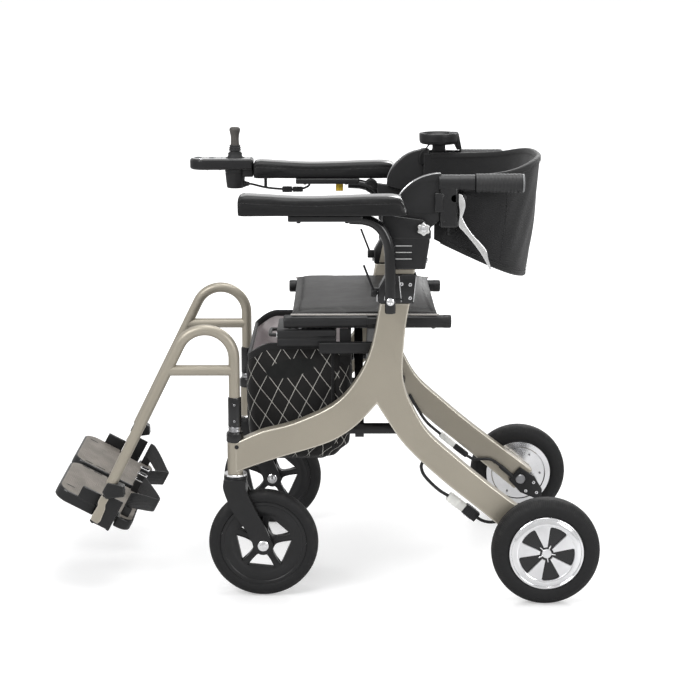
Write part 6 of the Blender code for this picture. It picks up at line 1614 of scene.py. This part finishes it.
bm = bmesh.new()
sheets = []
for inset, bulge in ((0.0, 1.0), (0.006, -0.6)):
    sheets.append([[bm.verts.new(sling_point(k / columns, r / rows_up, inset, bulge))
        for r in range(rows_up + 1)] for k in range(columns + 1)])
for sheet in sheets:
    for near, far in zip(sheet, sheet[1:]):
        for r in range(rows_up):
            bm.faces.new((near[r], far[r], far[r + 1], near[r + 1]))
outer, inner = sheets
for k in range(columns):
    for r in (0, rows_up):
        bm.faces.new((outer[k][r], inner[k][r], inner[k + 1][r], outer[k + 1][r]))
for k in (0, columns):
    for r in range(rows_up):
        bm.faces.new((outer[k][r], outer[k][r + 1], inner[k][r + 1], inner[k][r]))
sling = shape("sling", bm, SLING)
hem = mm((-4.8, -7.5), (4.8, -7.5), (4.6, 0.2), (2.6, 1.8), (-2.6, 1.8), (-4.6, 0.2))
edges = []
for up, way in ((1.0, 1), (0.0, -1)):
    path = [(sling_point(k / columns, up, 0.0) + sling_point(k / columns, up, 0.006)) / 2
        for k in range(1, columns)]
    edges.append(swept("hem", path, [(a, b * way) for a, b in hem], (0, 0, 1), BINDING))
sewn = []
for share in (0.045, 0.955, 0.2, 0.8):
    line = [sling_point(share, r / 40, -0.0006) for r in range(2, 39)]
    sewn.append(line)
for up in (0.045, 0.955):
    sewn.append([sling_point(k / 120, up, -0.0022) for k in range(6, 115)])
threads = stitched("backrest stitches", sewn, THREAD, 0.005, 0.0034, 0.00045)
backrest = join("backrest_sling", sling, *edges, threads)
backrest.data.set_sharp_from_angle(angle=math.radians(60))
fit(backrest, "left_handle", "fabric", "backrest")
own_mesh(backrest)

# Arm tubes and pads
# A bent black tube on each side ends in a flat carrier with two studs. On it sits a long pad of
# moulded foam in glossy black leatherette, sewn round its top edge.
ARM_Z = 0.6995
PAD_X = 0.285
PAD_FOOT = ARM_Z + 0.0113
PAD_FRONT = ARM_TUBE.y + 0.029 - 0.293
PAD_LEATHER = leatherette("armrest leatherette", shade(13, 13, 14), 0.4, 0.0, 900.0)
PAD_TOP = leatherette("rubbed armrest top", shade(15, 15, 16), 0.2, 1.0, 900.0, 0.00003)
for hand, side in SIDES:
    body = hand + "_armrest"
    tube_x = side * ARM_TUBE.x
    y = ARM_TUBE.y
    bend = [(y, ARM_TUBE.z - 0.0205), (y, ARM_Z - 0.0995), (y - 0.0015, ARM_Z - 0.0595),
        (y - 0.0065, ARM_Z - 0.0355), (y - 0.0165, ARM_Z - 0.0175), (y - 0.031, ARM_Z - 0.006),
        (y - 0.048, ARM_Z - 0.001), (y - 0.07, ARM_Z)]
    route = [Vector((tube_x, a, b)) for a, b in bend]
    path = [route[0], *smooth(route[1:-1], 6), route[-1]]
    bar = settle(pipe("tube", path, 0.0095, GLOSS, sides=40, rounded=0.002))
    hole = turned("hole", cylinder(0.0043, -0.02, 0.02), (tube_x, y, ARM_TUBE.z), "X", BLACK, segments=32)
    cut(bar, hole)
    carrier_x = sorted((side * (ARM_TUBE.x - 0.0095), side * (PAD_X + 0.02)))
    carrier_y = (y - 0.049 - 0.1285, y - 0.049)
    carrier = rounded(block("carrier", carrier_x, carrier_y, (ARM_Z, PAD_FOOT - 0.0003), BLACK, GLOSS),
        0.0022, 3, 1)
    studs = [turned("stud", mm((0, -4.8), (3, -4.6), (3.6, -3.4), (3.6, -0.2), (5, 0), (5, 2), (0, 2)),
        (side * PAD_X, place, ARM_Z), "Z", BLACK, segments=28)
        for place in (carrier_y[0] + 0.018, carrier_y[1] - 0.027)]
    under_screws = screws("carrier screws", [((side * PAD_X, place, ARM_Z), (0, 0, -1))
        for place in (carrier_y[0] + 0.048, carrier_y[1] - 0.055)], 0.0032, 0.0016, STEEL, POWDER)
    parts = [bar, carrier, *studs, under_screws]
    if side < 0:
        profile = mm((0, -8), (12.8, -8), (13.6, -6), (13.6, 7.4), (12.8, 8.6), (11, 9.2), (10.4, 8),
            (8.6, 8), (8, 9.2), (5.2, 9.2))
        hub = Vector((tube_x, y - 0.0256, ARM_Z - 0.0038))
        parts.append(turned("hub", [*profile, (0.0046, 0.008), (0, 0.008)], hub, "X", BLACK, segments=48))
        tooth = oblong((-0.0008, 0.0008), (0.0128, 0.0139))
        parts.append(around("teeth", plate("tooth", tooth, (-0.0055, 0.007), "X", BLACK), hub, 20, BLACK))
        tag = rounded(block("tag", (-PAD_X + 0.01, -PAD_X + 0.0112), (0.0175, 0.0325),
            (ARM_Z - 0.0165, ARM_Z + 0.001), moulded("yellow tag", shade(214, 178, 40), 0.5, 1500.0,
            0.00004)), 0.0005, 2)
        parts.append(tag)
    fit(join(hand + "_arm_bar", *parts), body, "black_metal", hand + "_arm_tube")

    keys_along = [(0, 0.029, 0.97), (0.004, 0.0325, 0.985), (0.012, 0.0345, 0.99), (0.03, 0.0357, 1),
        (0.171, 0.0335, 1), (0.365, 0.0305, 1), (0.56, 0.0312, 1), (0.768, 0.0335, 1), (0.9, 0.0342, 1),
        (0.945, 0.0332, 0.98), (0.968, 0.03, 0.96), (0.984, 0.0225, 0.93), (1, 0.011, 0.86)]
    line = smooth([Vector(key) for key in keys_along], 4)
    pad_rings = []
    for along, height, width in line:
        height -= 0.0012
        half = 0.03 * min(width, 1.0)
        place = PAD_FRONT + 0.0004 + 0.2922 * min(max(along, 0), 1)
        corner = min(0.0075, height * 0.35)
        ring = [(half - 0.002, 0), (half, 0.002), (half + 0.0006, height * 0.28),
            (half - 0.0008, height * 0.55)]
        ring += [(half - corner + (corner - 0.0006) * math.cos(t),
            height - corner * 0.8 - 0.0012 + corner * 0.8 * math.sin(t))
            for t in (math.radians(a) for a in (0, 22, 45, 68, 90))]
        ring += [(half * 0.5, height - 0.0004), (0, height)]
        ring += [(-a, b) for a, b in reversed(ring[:-1])]
        pad_rings.append([Vector((side * PAD_X + a, place, PAD_FOOT + b)) for a, b in ring])
    pad = swollen(lofted("pad", pad_rings, PAD_LEATHER, PAD_TOP), 0.004, 0.0012, 3.0)
    for face in pad.data.polygons:
        rear = face.center.y > PAD_FRONT + 0.28 and face.normal.y > 0.3 and face.normal.z > 0.06
        if face.normal.z > 0.93 or rear:
            face.material_index = 1
    seam = []
    for along, height, width in line[3:-3]:
        place = PAD_FRONT + 0.0015 + 0.29 * min(max(along, 0), 1)
        seam.append(Vector((side * PAD_X, place, PAD_FOOT + height - 0.0105)))
    seams = []
    for way in (1, -1):
        seams.append(laid(pad, [point + Vector((way * 0.034, 0, 0)) for point in seam]))
    draw_in(pad, seams, 0.0009, 0.0022)
    threads = stitched("pad stitches", [laid(pad, [point + Vector((0, 0, -0.0022)) for point in one],
        0.0001) for one in seams], THREAD, 0.0046, 0.0031, 0.00042)
    board = rounded(block("board", about(side * PAD_X, 0.0275), (PAD_FRONT + 0.006, PAD_FRONT + 0.285),
        (PAD_FOOT, PAD_FOOT + 0.004), BLACK), 0.0015, 2)
    whole = join(hand + "_padded_armrest", pad, threads, board)
    whole.data.set_sharp_from_angle(angle=math.radians(70))
    fit(whole, body, "leatherette", hand + "_arm_pad")

# Joystick controller
# A rounded box clamped at the front of the right pad, with a satin metal top plate. A bellows boot,
# a stick, a power button and a speed rocker stand in it, and five small lamps show the charge.
STICK = JOINTS["joystick_fore_aft"]
CASE_HALF = 0.029
CASE_LENGTH = 0.1285
CASE_FOOT = 0.727
CASE_TOP = 0.7495
BUTTON_Y = STICK.y - 0.075
ROCKER_Y = STICK.y - 0.046
SATIN = bright("satin top plate", (0.93, 0.93, 0.94, 1.0), 0.16, 0.1)
LAMP = moulded("lamp lens", shade(150, 154, 156), 0.2, 2400.0, 0.00002, 0.6)
KEY = moulded("grey key", shade(92, 94, 96), 0.5, 1800.0, 0.00005)


def box_outline(inset):
    """The controller's outline from above, round at its front."""
    half = CASE_HALF - inset
    centre = (STICK.x, PAD_FRONT - CASE_LENGTH + CASE_HALF)
    back = PAD_FRONT - 0.0003 - inset
    return [(p.x, p.y) for p in arc(centre, half, 180, 360, 40)] + [(STICK.x + 0.024 - inset, back),
        (STICK.x - 0.024 + inset, back)]


case = settle(rounded(plate("case", box_outline(0), (CASE_FOOT, CASE_TOP - 0.0004), "Z", BLACK, GLOSS),
    0.0045, 5, 1))
seat_cut = plate("seat", box_outline(0.005), (CASE_TOP - 0.0018, CASE_TOP + 0.01), "Z", BLACK)
wells = [turned("well", cylinder(0.0168, CASE_TOP - 0.0118, 0.77), (STICK.x, STICK.y, 0), "Z", BLACK,
    segments=56), turned("button well", cylinder(0.0063, CASE_TOP - 0.005, 0.77), (STICK.x, BUTTON_Y, 0),
    "Z", BLACK, segments=40), block("rocker well", about(STICK.x, 0.009), about(ROCKER_Y, 0.0065),
    (CASE_TOP - 0.006, 0.77), BLACK)]
top_wells = []
for well in wells:
    twin = well.copy()
    twin.data = well.data.copy()
    bpy.context.scene.collection.objects.link(twin)
    top_wells.append(twin)
cut(case, seat_cut, *wells)
top = settle(rounded(plate("top", box_outline(0.0053), (CASE_TOP - 0.0016, CASE_TOP), "Z", SATIN), 0.0004, 2))
cut(top, *top_wells)
boot_ring = turned("boot ring", mm((17, -1), (19.2, -1), (19, 1), (17.2, 1), at=(0, CASE_TOP)),
    (STICK.x, STICK.y, 0), "Z", BLACK, segments=56, closed=True)
key_ring = turned("key ring", mm((6.6, -0.8), (8, -0.8), (7.8, 0.6), (6.7, 0.6), at=(0, CASE_TOP)),
    (STICK.x, BUTTON_Y, 0), "Z", KEY, segments=40, closed=True)
lamps = [turned("lamp", mm((0, -0.6), (1.3, -0.6), (1.2, 0.4), (0.6, 0.7), (0, 0.7)),
    (STICK.x - 0.009 + 0.0045 * index, STICK.y - 0.0265, CASE_TOP), "Z", LAMP, segments=16)
    for index in range(5)]
boss_foot = CASE_FOOT - 0.0385
boss = turned("boss", [(0, boss_foot), (0.0155, boss_foot), (0.0172, boss_foot + 0.0012),
    (0.0178, boss_foot + 0.004), (0.0205, CASE_FOOT - 0.008), (0.0201, CASE_FOOT - 0.0075),
    (0.0202, CASE_FOOT - 0.0055), (0.0208, CASE_FOOT - 0.005), (0.021, CASE_FOOT),
    (0.021, CASE_FOOT + 0.003), (0, CASE_FOOT + 0.003)], (STICK.x, STICK.y, 0), "Z", BLACK, segments=56)
joint_block = rounded(block("block", about(STICK.x, 0.016), (PAD_FRONT - 0.0223, PAD_FRONT - 0.0003),
    (CASE_FOOT - 0.015, CASE_FOOT + 0.004), BLACK), 0.0018, 3)
case_screws = screws("case screws", [((STICK.x + way * 0.018, place, CASE_FOOT), (0, 0, -1))
    for way in (1, -1) for place in (STICK.y - 0.055, STICK.y - 0.03)], 0.0026, 0.0012, STEEL, POWDER)
exit_z = ARM_Z - 0.003
exit_y = STICK.y + 0.018727
relief = turned("strain relief", mm((0, -4), (6.8, -3.5), (6.8, 1.2), (5.2, 2), (5.6, 3.6), (4.6, 4.4),
    (5, 6), (4, 6.8), (4.4, 8.6), (3.4, 9.6), (0, 9.6)), (STICK.x, exit_y, exit_z), "Y", CABLE, segments=24)
controller = join("joystick_case", case, top, boot_ring, key_ring, *lamps, boss, joint_block, case_screws,
    relief)
fit(controller, "right_armrest", "black_plastic", "joystick_box")

folds = mm((0, -3.4), (16.1, -3.4), (16.5, 0))
for turn, reach in ((14, 0.0165), (31, 0.0165), (42, 0.0195), (46, 0.0178), (52, 0.0197), (57, 0.0182),
        (63, 0.0198), (68, 0.0188), (76, 0.0199)):
    folds.append((reach * math.cos(math.radians(turn)), reach * math.sin(math.radians(turn))))
folds.append((0, 0.0199))
BOOT = moulded("boot rubber", shade(31, 31, 32), 0.6, 900.0, 0.00008)
boot = turned("boot_folds", folds, tuple(STICK), "Z", BOOT, segments=72)
fit(boot, "stick_boot", "rubber", "joystick_boot")
GRIP_SATIN = moulded("stick rubber", shade(74, 71, 68), 0.5, 1300.0, 0.0001, 0.35)
foot = [(r, math.sqrt(0.0203**2 - r**2) + 0.00015) for r in (0, 0.003, 0.005, 0.0075, 0.0095, 0.011)]
rings = mm((12.4, 18), (12.6, 19.6), (11.2, 20.8), (11.2, 21.6), (12.2, 22.8), (12, 24.2), (10.6, 25.2),
    (10.6, 26), (11.4, 27), (11.2, 28.4), (9.8, 29.2), (0, 29.2))
gaiter = turned("gaiter", foot + rings, tuple(STICK), "Z", BOOT, segments=56)
shaft = mm((0, 28.8), (8.8, 29), (8.7, 31), (8.2, 37), (8.3, 43), (8.9, 49.5), (10.2, 55), (11.1, 59),
    (11, 61.5), (9.8, 63.8), (7, 65.1), (3.5, 65.5))
shaft = turned("shaft", [*shaft, (0, 0.0655)], tuple(STICK), "Z", GRIP_SATIN, segments=56)
fit(join("stick_grip", gaiter, shaft), "stick", "black_plastic", "joystick")
button = turned("button_cap", mm((0, -2.5), (6, -2.5), (6, 0.8), (5.6, 1.5), (4.8, 2), (3.6, 1.9), (3, 1.5),
    (0, 1.3)), (STICK.x, BUTTON_Y, CASE_TOP), "Z", KEY, segments=48)
fit(button, "power_button", "black_plastic", "power_button")
pivot_z = CASE_TOP - 0.0025
crown = [(ROCKER_Y + 0.006 * math.cos(t), pivot_z + 0.0037 * math.sin(t))
    for t in (math.radians(i * 10) for i in range(19))]
crown += mm((-5, -2), (5, -2), at=(ROCKER_Y, pivot_z))
crown.insert(9, (ROCKER_Y + 0.0008, pivot_z + 0.0036))
rocker_key = rounded(plate("rocker", crown, about(STICK.x, 0.0087), "X", KEY, sharp=50), 0.0006, 2)
bars = [rounded(block("bar", about(STICK.x, 0.003), (ROCKER_Y + way * 0.003 - 0.0004,
    ROCKER_Y + way * 0.003 + 0.0004), (pivot_z + 0.002, pivot_z + 0.0036), LAMP), 0.0002, 1)
    for way in (1, -1)]
fit(join("rocker_key", rocker_key, *bars), "speed_rocker", "black_plastic", "speed_rocker")

# Joystick cable
# A thin sheathed cable leaves the boss through a ribbed relief, is clipped under the pad, and goes
# into the carrier by a ribbed in-line connector.
span = carrier_y[0] + 0.027 - exit_y
shares = [(0.03, -0.003), (0.11, -0.0035), (0.336, -0.0105), (0.564, -0.0135), (0.753, -0.0145),
    (0.867, -0.0135)]
shares += [(0.958, -0.0095), (0.996, -0.0055), (1, -0.0003)]
route = [Vector((STICK.x, exit_y + span * share, ARM_Z + drop)) for share, drop in shares]
path = [Vector((STICK.x, exit_y, exit_z)), *smooth(route, 6)]
cable = pipe("controller_cable", path, 0.0022, CABLE, sides=14)
plug_parts = []
for low, high, half in ((0.58, 0.735, 0.0056), (0.74, 0.9, 0.005)):
    plug_parts.append(rounded(block("plug", about(STICK.x, half),
        (exit_y + span * low, exit_y + span * high), (ARM_Z - 0.014 - half, ARM_Z - 0.014 + half), BLACK),
        0.0014, 3))
    for index in range(5):
        at = exit_y + span * (low + (high - low) * (0.14 + 0.15 * index))
        plug_parts.append(rounded(block("rib", (STICK.x - half - 0.0005, STICK.x + half + 0.0005),
            (at, at + 0.0013), (ARM_Z - 0.0145 - half, ARM_Z - 0.0135 + half), BLACK), 0.0004, 1))
plug = join("cable_connector", *plug_parts)
clip = rounded(block("cable_clip", about(STICK.x, 0.004), (PAD_FRONT + 0.0215, PAD_FRONT + 0.0275),
    (ARM_Z - 0.011, PAD_FOOT + 0.001), BLACK), 0.0012, 2)
fit(clip, "right_armrest", "black_plastic")
fit(plug, "right_armrest", "black_plastic")
fit(cable, "right_armrest", "rubber", "joystick_cable")
measure(path)

# Attendant console
# A round dished pod on the right handle, for someone who walks behind, on a saddle round the tube.
# It has three keys, a dial and a thumb lever, and a thin lead loops from it into the handle head.
pod_x = 0.039 + 0.0018 + 0.03 - PAD_X
pod_y = HANDLE_Y + 0.0185
base = HANDLE_Z + 0.0153
profile = mm((0, 12.5), (30, 12.5), (34.5, 13.2), (37.2, 15), (38.2, 18.5), (38.6, 19), (38.9, 28),
    (39, 32.5), (38.4, 34.2), (37, 34.5), (35.5, 34), (33, 30), (29, 27.2), (22, 25), (12, 23.8), (0, 23.4),
    at=(0, base))
pod = turned("pod", profile, (pod_x, pod_y, 0), "Z", BLACK, segments=96)
dial = turned("dial", mm((0, 26.2), (8.5, 26.2), (10, 25.4), (10.4, 22.9), (0, 22.9), at=(0, base)),
    (pod_x, pod_y, 0), "Z", KEY, segments=56)
keys_round = [turned("key", mm((0, 28.6), (3.4, 28.6), (4.2, 27.8), (4.2, 23.9), (0, 23.9), at=(0, base)),
    (pod_x + 0.0205 * math.cos(t), pod_y + 0.0205 * math.sin(t), 0), "Z", KEY, segments=32)
    for t in (math.radians(a) for a in (30, 150, 270))]
neck = rounded(block("neck", (-HANDLE_X - 0.01, -HANDLE_X + 0.012), (HANDLE_Y + 0.0065, HANDLE_Y + 0.0315),
    (HANDLE_Z + 0.01, base + 0.014), BLACK), 0.002, 3)
saddle = turned("saddle", mm((15.3, 5.5), (17.2, 5.5), (18.2, 6.5), (18.2, 31.5), (17.2, 32.5),
    (15.3, 32.5), at=(0, HANDLE_Y)), (-HANDLE_X, 0, HANDLE_Z), "Y", BLACK, segments=56, closed=True)
saddle_screw = screws("saddle screws", [((-HANDLE_X - 0.018, HANDLE_Y + 0.019, HANDLE_Z), (-1, 0, 0))],
    0.003, 0.0014, CHROME, POWDER)
wedge = mm((243, 807), (261.5, 806), (268, 774), (258, 773), (250, 790), (243, 796))
thumb = rounded(plate("thumb lever", wedge, about(pod_x, 0.0085), "X", BLACK, GLOSS), 0.0018, 3, 1)
thumb_top = rounded(block("thumb top", about(pod_x, 0.0065), (0.245, 0.26), (0.8062, 0.8082), KEY), 0.0006,
    2)
boss = turned("boss", mm((0, 0), (6.2, 0), (6.2, 3), (5, 4.2), (2.6, 4.2), (2.2, 3.4), (0, 3.4)),
    (-0.2085, 0.222, 0.7564), "X", BLACK, segments=40)
fit(join("console_pod", pod, dial, *keys_round, neck, saddle, saddle_screw, thumb, thumb_top, boss),
    "right_handle", "black_plastic", "attendant_console")
loop_route = mm((-207.5, 208, 13), (-206.6, 203, 11.5), (-205.2, 196, 3), (-204.6, 188, -4.5),
    (-204.4, 184, -14), (-204.6, 184.5, -22.5), (-205.6, 188, -27.2), (-207.8, 191.5, -28.3),
    (-209.2, 193, -28.4), at=(0, 0, base))
path = smooth(loop_route, 6)
loop_lead = pipe("console_lead", path, 0.0014, CABLE, sides=12)
fit(loop_lead, "right_handle", "rubber")
measure(path)

# Footrests
# Each is one tube bent into a hoop, with a crossbar welded in. It turns in the frame's head under a
# black sleeve, a bright ring and a collar, and carries the footplate's hinge on a moulded socket.
LEAN = math.radians(26.5)
HOOP_BEND = 0.0515
HOOP = (HEAD.y - HOOP_BEND, HEAD.z + 0.154)
LEG_TOP = (HOOP[0] - HOOP_BEND * math.cos(LEAN), HOOP[1] + HOOP_BEND * math.sin(LEAN))
LEG_END_Z = 0.2095
LEG_END_Y = LEG_TOP[0] - (LEG_TOP[1] - LEG_END_Z) * math.tan(LEAN)
FLIP = JOINTS["left_plate_flip"]
PLATE_TILT = math.radians(28)
SOLE = 0.0225


def plate_place(side, across, along, up):
    """A place on the tilted footplate, measured from the middle of its hinge."""
    return Vector((
        side * (FLIP.x - across),
        FLIP.y - along * math.cos(PLATE_TILT) + up * math.sin(PLATE_TILT),
        FLIP.z + along * math.sin(PLATE_TILT) + up * math.cos(PLATE_TILT),
    ))


def tilted(name, side, outline, low, high, *finishes, sharp=32):
    """A prism that stands on the footplate's tilted plane."""
    bm = bmesh.new()
    bottom = [bm.verts.new(plate_place(side, a, b, low)) for a, b in outline]
    top = [bm.verts.new(plate_place(side, a, b, high)) for a, b in outline]
    bm.faces.new(bottom)
    bm.faces.new(top)
    skin(bm, [bottom, top])
    return shape(name, bm, *finishes, sharp=sharp)


def beside(outline):
    """Outline points given along and above the footplate, as places seen from the side."""
    return [tuple(plate_place(1, 0, along, up))[1:] for along, up in outline]


for hand, side in SIDES:
    x = side * HEAD.x
    bow = arc(HOOP, HOOP_BEND, 0, 180 - math.degrees(LEAN), 40)
    path = [Vector((x, HEAD.y, 0.366)), *(Vector((x, p.x, p.y)) for p in bow)]
    leg = [Vector((x, *LEG_TOP)).lerp(Vector((x, LEG_END_Y, LEG_END_Z)), i / 6) for i in range(1, 7)]
    hoop = pipe("hoop", path + leg, 0.01, CHAMPAGNE, sides=40, rounded=0.002)
    bar_z = HOOP[1] - 0.0222
    bar_y = LEG_TOP[0] - (LEG_TOP[1] - bar_z) * math.tan(LEAN)
    crossbar = pipe("crossbar", [(x, bar_y, bar_z), (x, HEAD.y, bar_z)], 0.0097, CHAMPAGNE, sides=32)
    low = HEAD.z
    sleeve = turned("sleeve", mm((0, 28.5), (11, 28.5), (11.8, 29.5), (12, 31), (12, 79.5), (11.4, 82),
        (10.4, 82.8), (0, 82.8), at=(0, low)), (x, HEAD.y, 0), "Z", GLOSS, segments=48)
    ring = turned("bright ring", mm((10, 18.5), (11.2, 18.5), (11.8, 19.5), (11.8, 21.5), (11.2, 22.5),
        (11.2, 24.5), (11.8, 25.5), (11.8, 27.5), (11.2, 28.5), (10, 28.5), at=(0, low)), (x, HEAD.y, 0),
        "Z", STEEL, segments=48, closed=True)
    collar = turned("foot collar", mm((0, -25), (10, -25), (10, 0.3), (14.5, 0.3), (15.5, 1.3), (15.5, 15),
        (15, 17), (13.4, 18.5), (0, 18.5), at=(0, low)), (x, HEAD.y, 0), "Z", GLOSS, segments=48)
    heads = screws("sleeve screws", [((x + side * 0.012, HEAD.y, low + z), (side, 0, 0))
        for z in (0.04, 0.07)], 0.0022, 0.0011, STEEL, POWDER)
    outline = mm((-405, 197), (-394.5, 215), (-376, 211.5), (-365.5, 207), (-365, 188), (-399, 184))
    socket = rounded(plate("socket", outline, beyond(side, 210.2, 232), "X", BLACK, GLOSS), 0.0024, 4, 1)
    outline = beside(oblong((-0.0185, 0.0205), (0.056, -0.004)))
    bracket = rounded(plate("bracket", outline, beyond(side, 212, 216.5), "X", BLACK, GLOSS), 0.0014, 3, 1)
    outline = mm((22.8, 50), (23.2, 38), (20, 30), (21.5, 8), (19, 0.5), (6, -1), (3, 6), (5, 30),
        (8.5, 38), (8, 50))
    link_plate = rounded(plate("outer link", beside(outline), beyond(side, 216.5, 220), "X", CHAMPAGNE,
        HIGHLIGHT_EDGE_PAINT), 0.001, 3, 1)
    ears = []
    near, far = 0.0123, 0.0183
    for low_end, high_end in ((near, far), (-far, -near)):
        ear = oblong((-0.0275, 0.0065), (low_end, high_end))
        ears.append(rounded(tilted("ear", side, ear, -0.0065, 0.0065, BLACK), 0.0015, 3))
    ends = [plate_place(side, 0, way * 0.015, 0) for way in (-1, 1)]
    pin = pipe("pin", ends, 0.0028, STEEL, sides=20)
    whole = join(hand + "_hoop", hoop, crossbar, sleeve, ring, collar, heads, socket, bracket, link_plate,
        *ears, pin)
    fit(whole, hand + "_footrest", "champagne_paint", hand + "_footrest")

# Footplates
# Thick moulded plates with grey-brown ribbed rubber on top, a notch for the hinge and a low black wall
# at the outer edge, and short slots near the inner one.
DECK = moulded("deck rubber", shade(116, 111, 105), 0.62, 900.0, 0.00012, 0.3)


def rib_tree():
    """Rounded bars on points, each as long as its point says."""
    nodes, given = new_tree("deck ribs", Radius=0.0012, Turn=(0.0, 0.0, 0.0), Finish=DECK)
    reach = nodes.node("GeometryNodeInputNamedAttribute", {"data_type": "FLOAT"}, {"Name": "reach"})
    bar = nodes.node("GeometryNodeMeshCylinder", {"fill_type": "TRIANGLE_FAN"},
        {"Vertices": 10, "Radius": given["Radius"], "Depth": 1.0})
    turned_bar = nodes.node("GeometryNodeTransform", {}, {"Geometry": bar, "Rotation": given["Turn"]})
    ones = nodes.node("ShaderNodeCombineXYZ", {}, {0: reach, 1: 1.0, 2: 1.0})
    placed = nodes.node("GeometryNodeInstanceOnPoints", {},
        {"Points": given["Geometry"], "Instance": turned_bar, "Scale": ones})
    return end_tree(nodes, placed, given["Finish"])


RIBS = rib_tree()


def ribs(name, places, radius, finish):
    """Ribs across X at (middle, length) places."""
    mesh = bpy.data.meshes.new(name)
    mesh.from_pydata([tuple(place) for place, length in places], [], [])
    mesh.attributes.new("reach", "FLOAT", "POINT").data.foreach_set("value",
        [length for place, length in places])
    return grown(name, added(name, mesh), RIBS, Radius=radius, Turn=(0.0, math.pi / 2, 0.0), Finish=finish)


OUTER, INNER, NOSE, HEEL = -0.008, FLIP.x - 0.01, 0.101, -0.052
NOTCH = (0.014, 0.0205)


def sole_shape(inset):
    """The plate's outline, with the notch for the hinge, drawn in by an inset."""
    outer = OUTER + inset
    corners = arc((OUTER + 0.028, NOSE - 0.028), 0.028 - inset, 180, 90, 12)
    corners += arc((INNER - 0.026, NOSE - 0.026), 0.026 - inset, 90, 0, 12)
    corners += arc((INNER - 0.016, HEEL + 0.016), 0.016 - inset, 0, -90, 8)
    corners += arc((OUTER + 0.024, HEEL + 0.024), 0.024 - inset, -90, -180, 12)
    deep, wide = NOTCH[0] + inset, NOTCH[1] + inset
    return [(p.x, p.y) for p in corners] + [(outer, -wide), (deep, -wide), (deep, wide), (outer, wide)]


def chord(outline, along):
    """Where a line across the plate enters and leaves its outline."""
    found = []
    for (a, b), (c, d) in zip(outline, [*outline[1:], outline[0]]):
        if (b - along) * (d - along) < 0:
            found.append(a + (c - a) * (along - b) / (d - b))
    return (min(found), max(found)) if len(found) > 1 else None


for hand, side in SIDES:
    body = rounded(tilted("sole", side, sole_shape(0), 0, SOLE - 0.0012, BLACK, GLOSS), 0.003, 4, 1)
    mat = rounded(tilted("mat", side, sole_shape(0.0035), SOLE - 0.004, SOLE - 0.0004, DECK), 0.0009, 2)
    wall = oblong((OUTER + 0.0004, OUTER + 0.0074), (0.0225, 0.06))
    wall = rounded(tilted("wall", side, wall, 0.006, 0.043, BLACK, GLOSS), 0.0018, 3, 1)
    places = []
    for index in range(44):
        along = -0.046 + 0.0034 * index
        ends = chord(sole_shape(0.0065), along)
        if ends and ends[1] - ends[0] > 0.02:
            middle = plate_place(side, (ends[0] + ends[1]) / 2, along, SOLE - 0.0009)
            places.append((middle, ends[1] - ends[0] - 0.003))
    rib_bars = ribs(hand + " ribs", places, 0.0009, DECK)
    slots = []
    for across, start, length in ((0.166, 0.062, 0.016), (0.166, 0.036, 0.018), (0.166, 0.008, 0.018),
            (0.024, 0.072, 0.016)):
        slot = oblong((across, across + 0.0018), (start, start + length))
        slots.append(tilted("slot", side, slot, SOLE - 0.002, SOLE + 0.0004, BLACK))
    knuckle = pipe("knuckle", [plate_place(side, 0, way * 0.0105, 0) for way in (-1, 1)], 0.007, CHAMPAGNE,
        sides=36, rounded=0.0014)
    web = [(0, -0.0115), (0, 0.0115), (NOTCH[0] + 0.006, 0.0115), (NOTCH[0] + 0.006, -0.0115)]
    clip = rounded(tilted("clip", side, web, 0.0003, 0.0065, CHAMPAGNE, HIGHLIGHT_EDGE_PAINT), 0.0012, 3, 1)
    whole = join(hand + "_sole", body, mat, wall, rib_bars, *slots, knuckle, clip)
    whole.data.set_sharp_from_angle(angle=math.radians(40))
    fit(whole, hand + "_plate", "deck_rubber", hand + "_footplate")

# Heel straps
# A band of webbing runs to a point behind each heel, from a tab at the plate's outer edge to one at
# its inner edge, and has a bright wire buckle there.
BAND = 0.029
for hand, side in SIDES:
    route = mm((11, -24, 38), (20, -33, 37.5), (50, -53, 33), (80, -70.5, 28.5), (95, -78, 27),
        (106, -72.5, 27), (136, -54, 28), (166, -35, 30))
    fine = smooth(route, 8)
    rings = []
    for index, point in enumerate(fine):
        near, far = fine[max(index - 1, 0)], fine[min(index + 1, len(fine) - 1)]
        out = Vector((far.y - near.y, near.x - far.x, 0)).normalized()
        lift = 0.0015 * math.sin(index * 0.17)
        section = [(0, 0.001), (0.0008, 0), (0.0022, 0), (0.003, 0.001), (0.0032, BAND / 2),
            (0.003, BAND - 0.001)]
        section += [(0.0022, BAND), (0.0008, BAND), (0, BAND - 0.001), (-0.0002, BAND / 2)]
        rings.append([plate_place(side, *(point + out * a + Vector((0, 0, b + lift * b / BAND))))
            for a, b in section])
    parts = [lofted("strap", rings, WEBBING)]
    for across, low, high, top in ((0.0075, -0.04, -0.024, 0.04), (0.162, -0.04, -0.025, 0.064)):
        tab = oblong((across, across + 0.007), (low, high))
        parts.append(rounded(tilted("tab", side, tab, SOLE - 0.001, top, BLACK), 0.0015, 3))
    wire = [(0.0013 * math.cos(t), 0.0013 * math.sin(t)) for t in (math.tau * i / 10 for i in range(10))]
    for up in (0.047, 0.06):
        frame_line = [plate_place(side, a, b, up) for a, b in oblong((0.161, 0.17), (-0.041, -0.024))]
        facing = (plate_place(side, 0, 0, 1) - plate_place(side, 0, 0, 0)).normalized()
        parts.append(swept("buckle", frame_line, wire, tuple(facing), CHROME, closed=True))
    whole = join(hand + "_webbing", *parts)
    whole.data.set_sharp_from_angle(angle=math.radians(50))
    fit(whole, hand + "_plate", "fabric", hand + "_heel_strap")
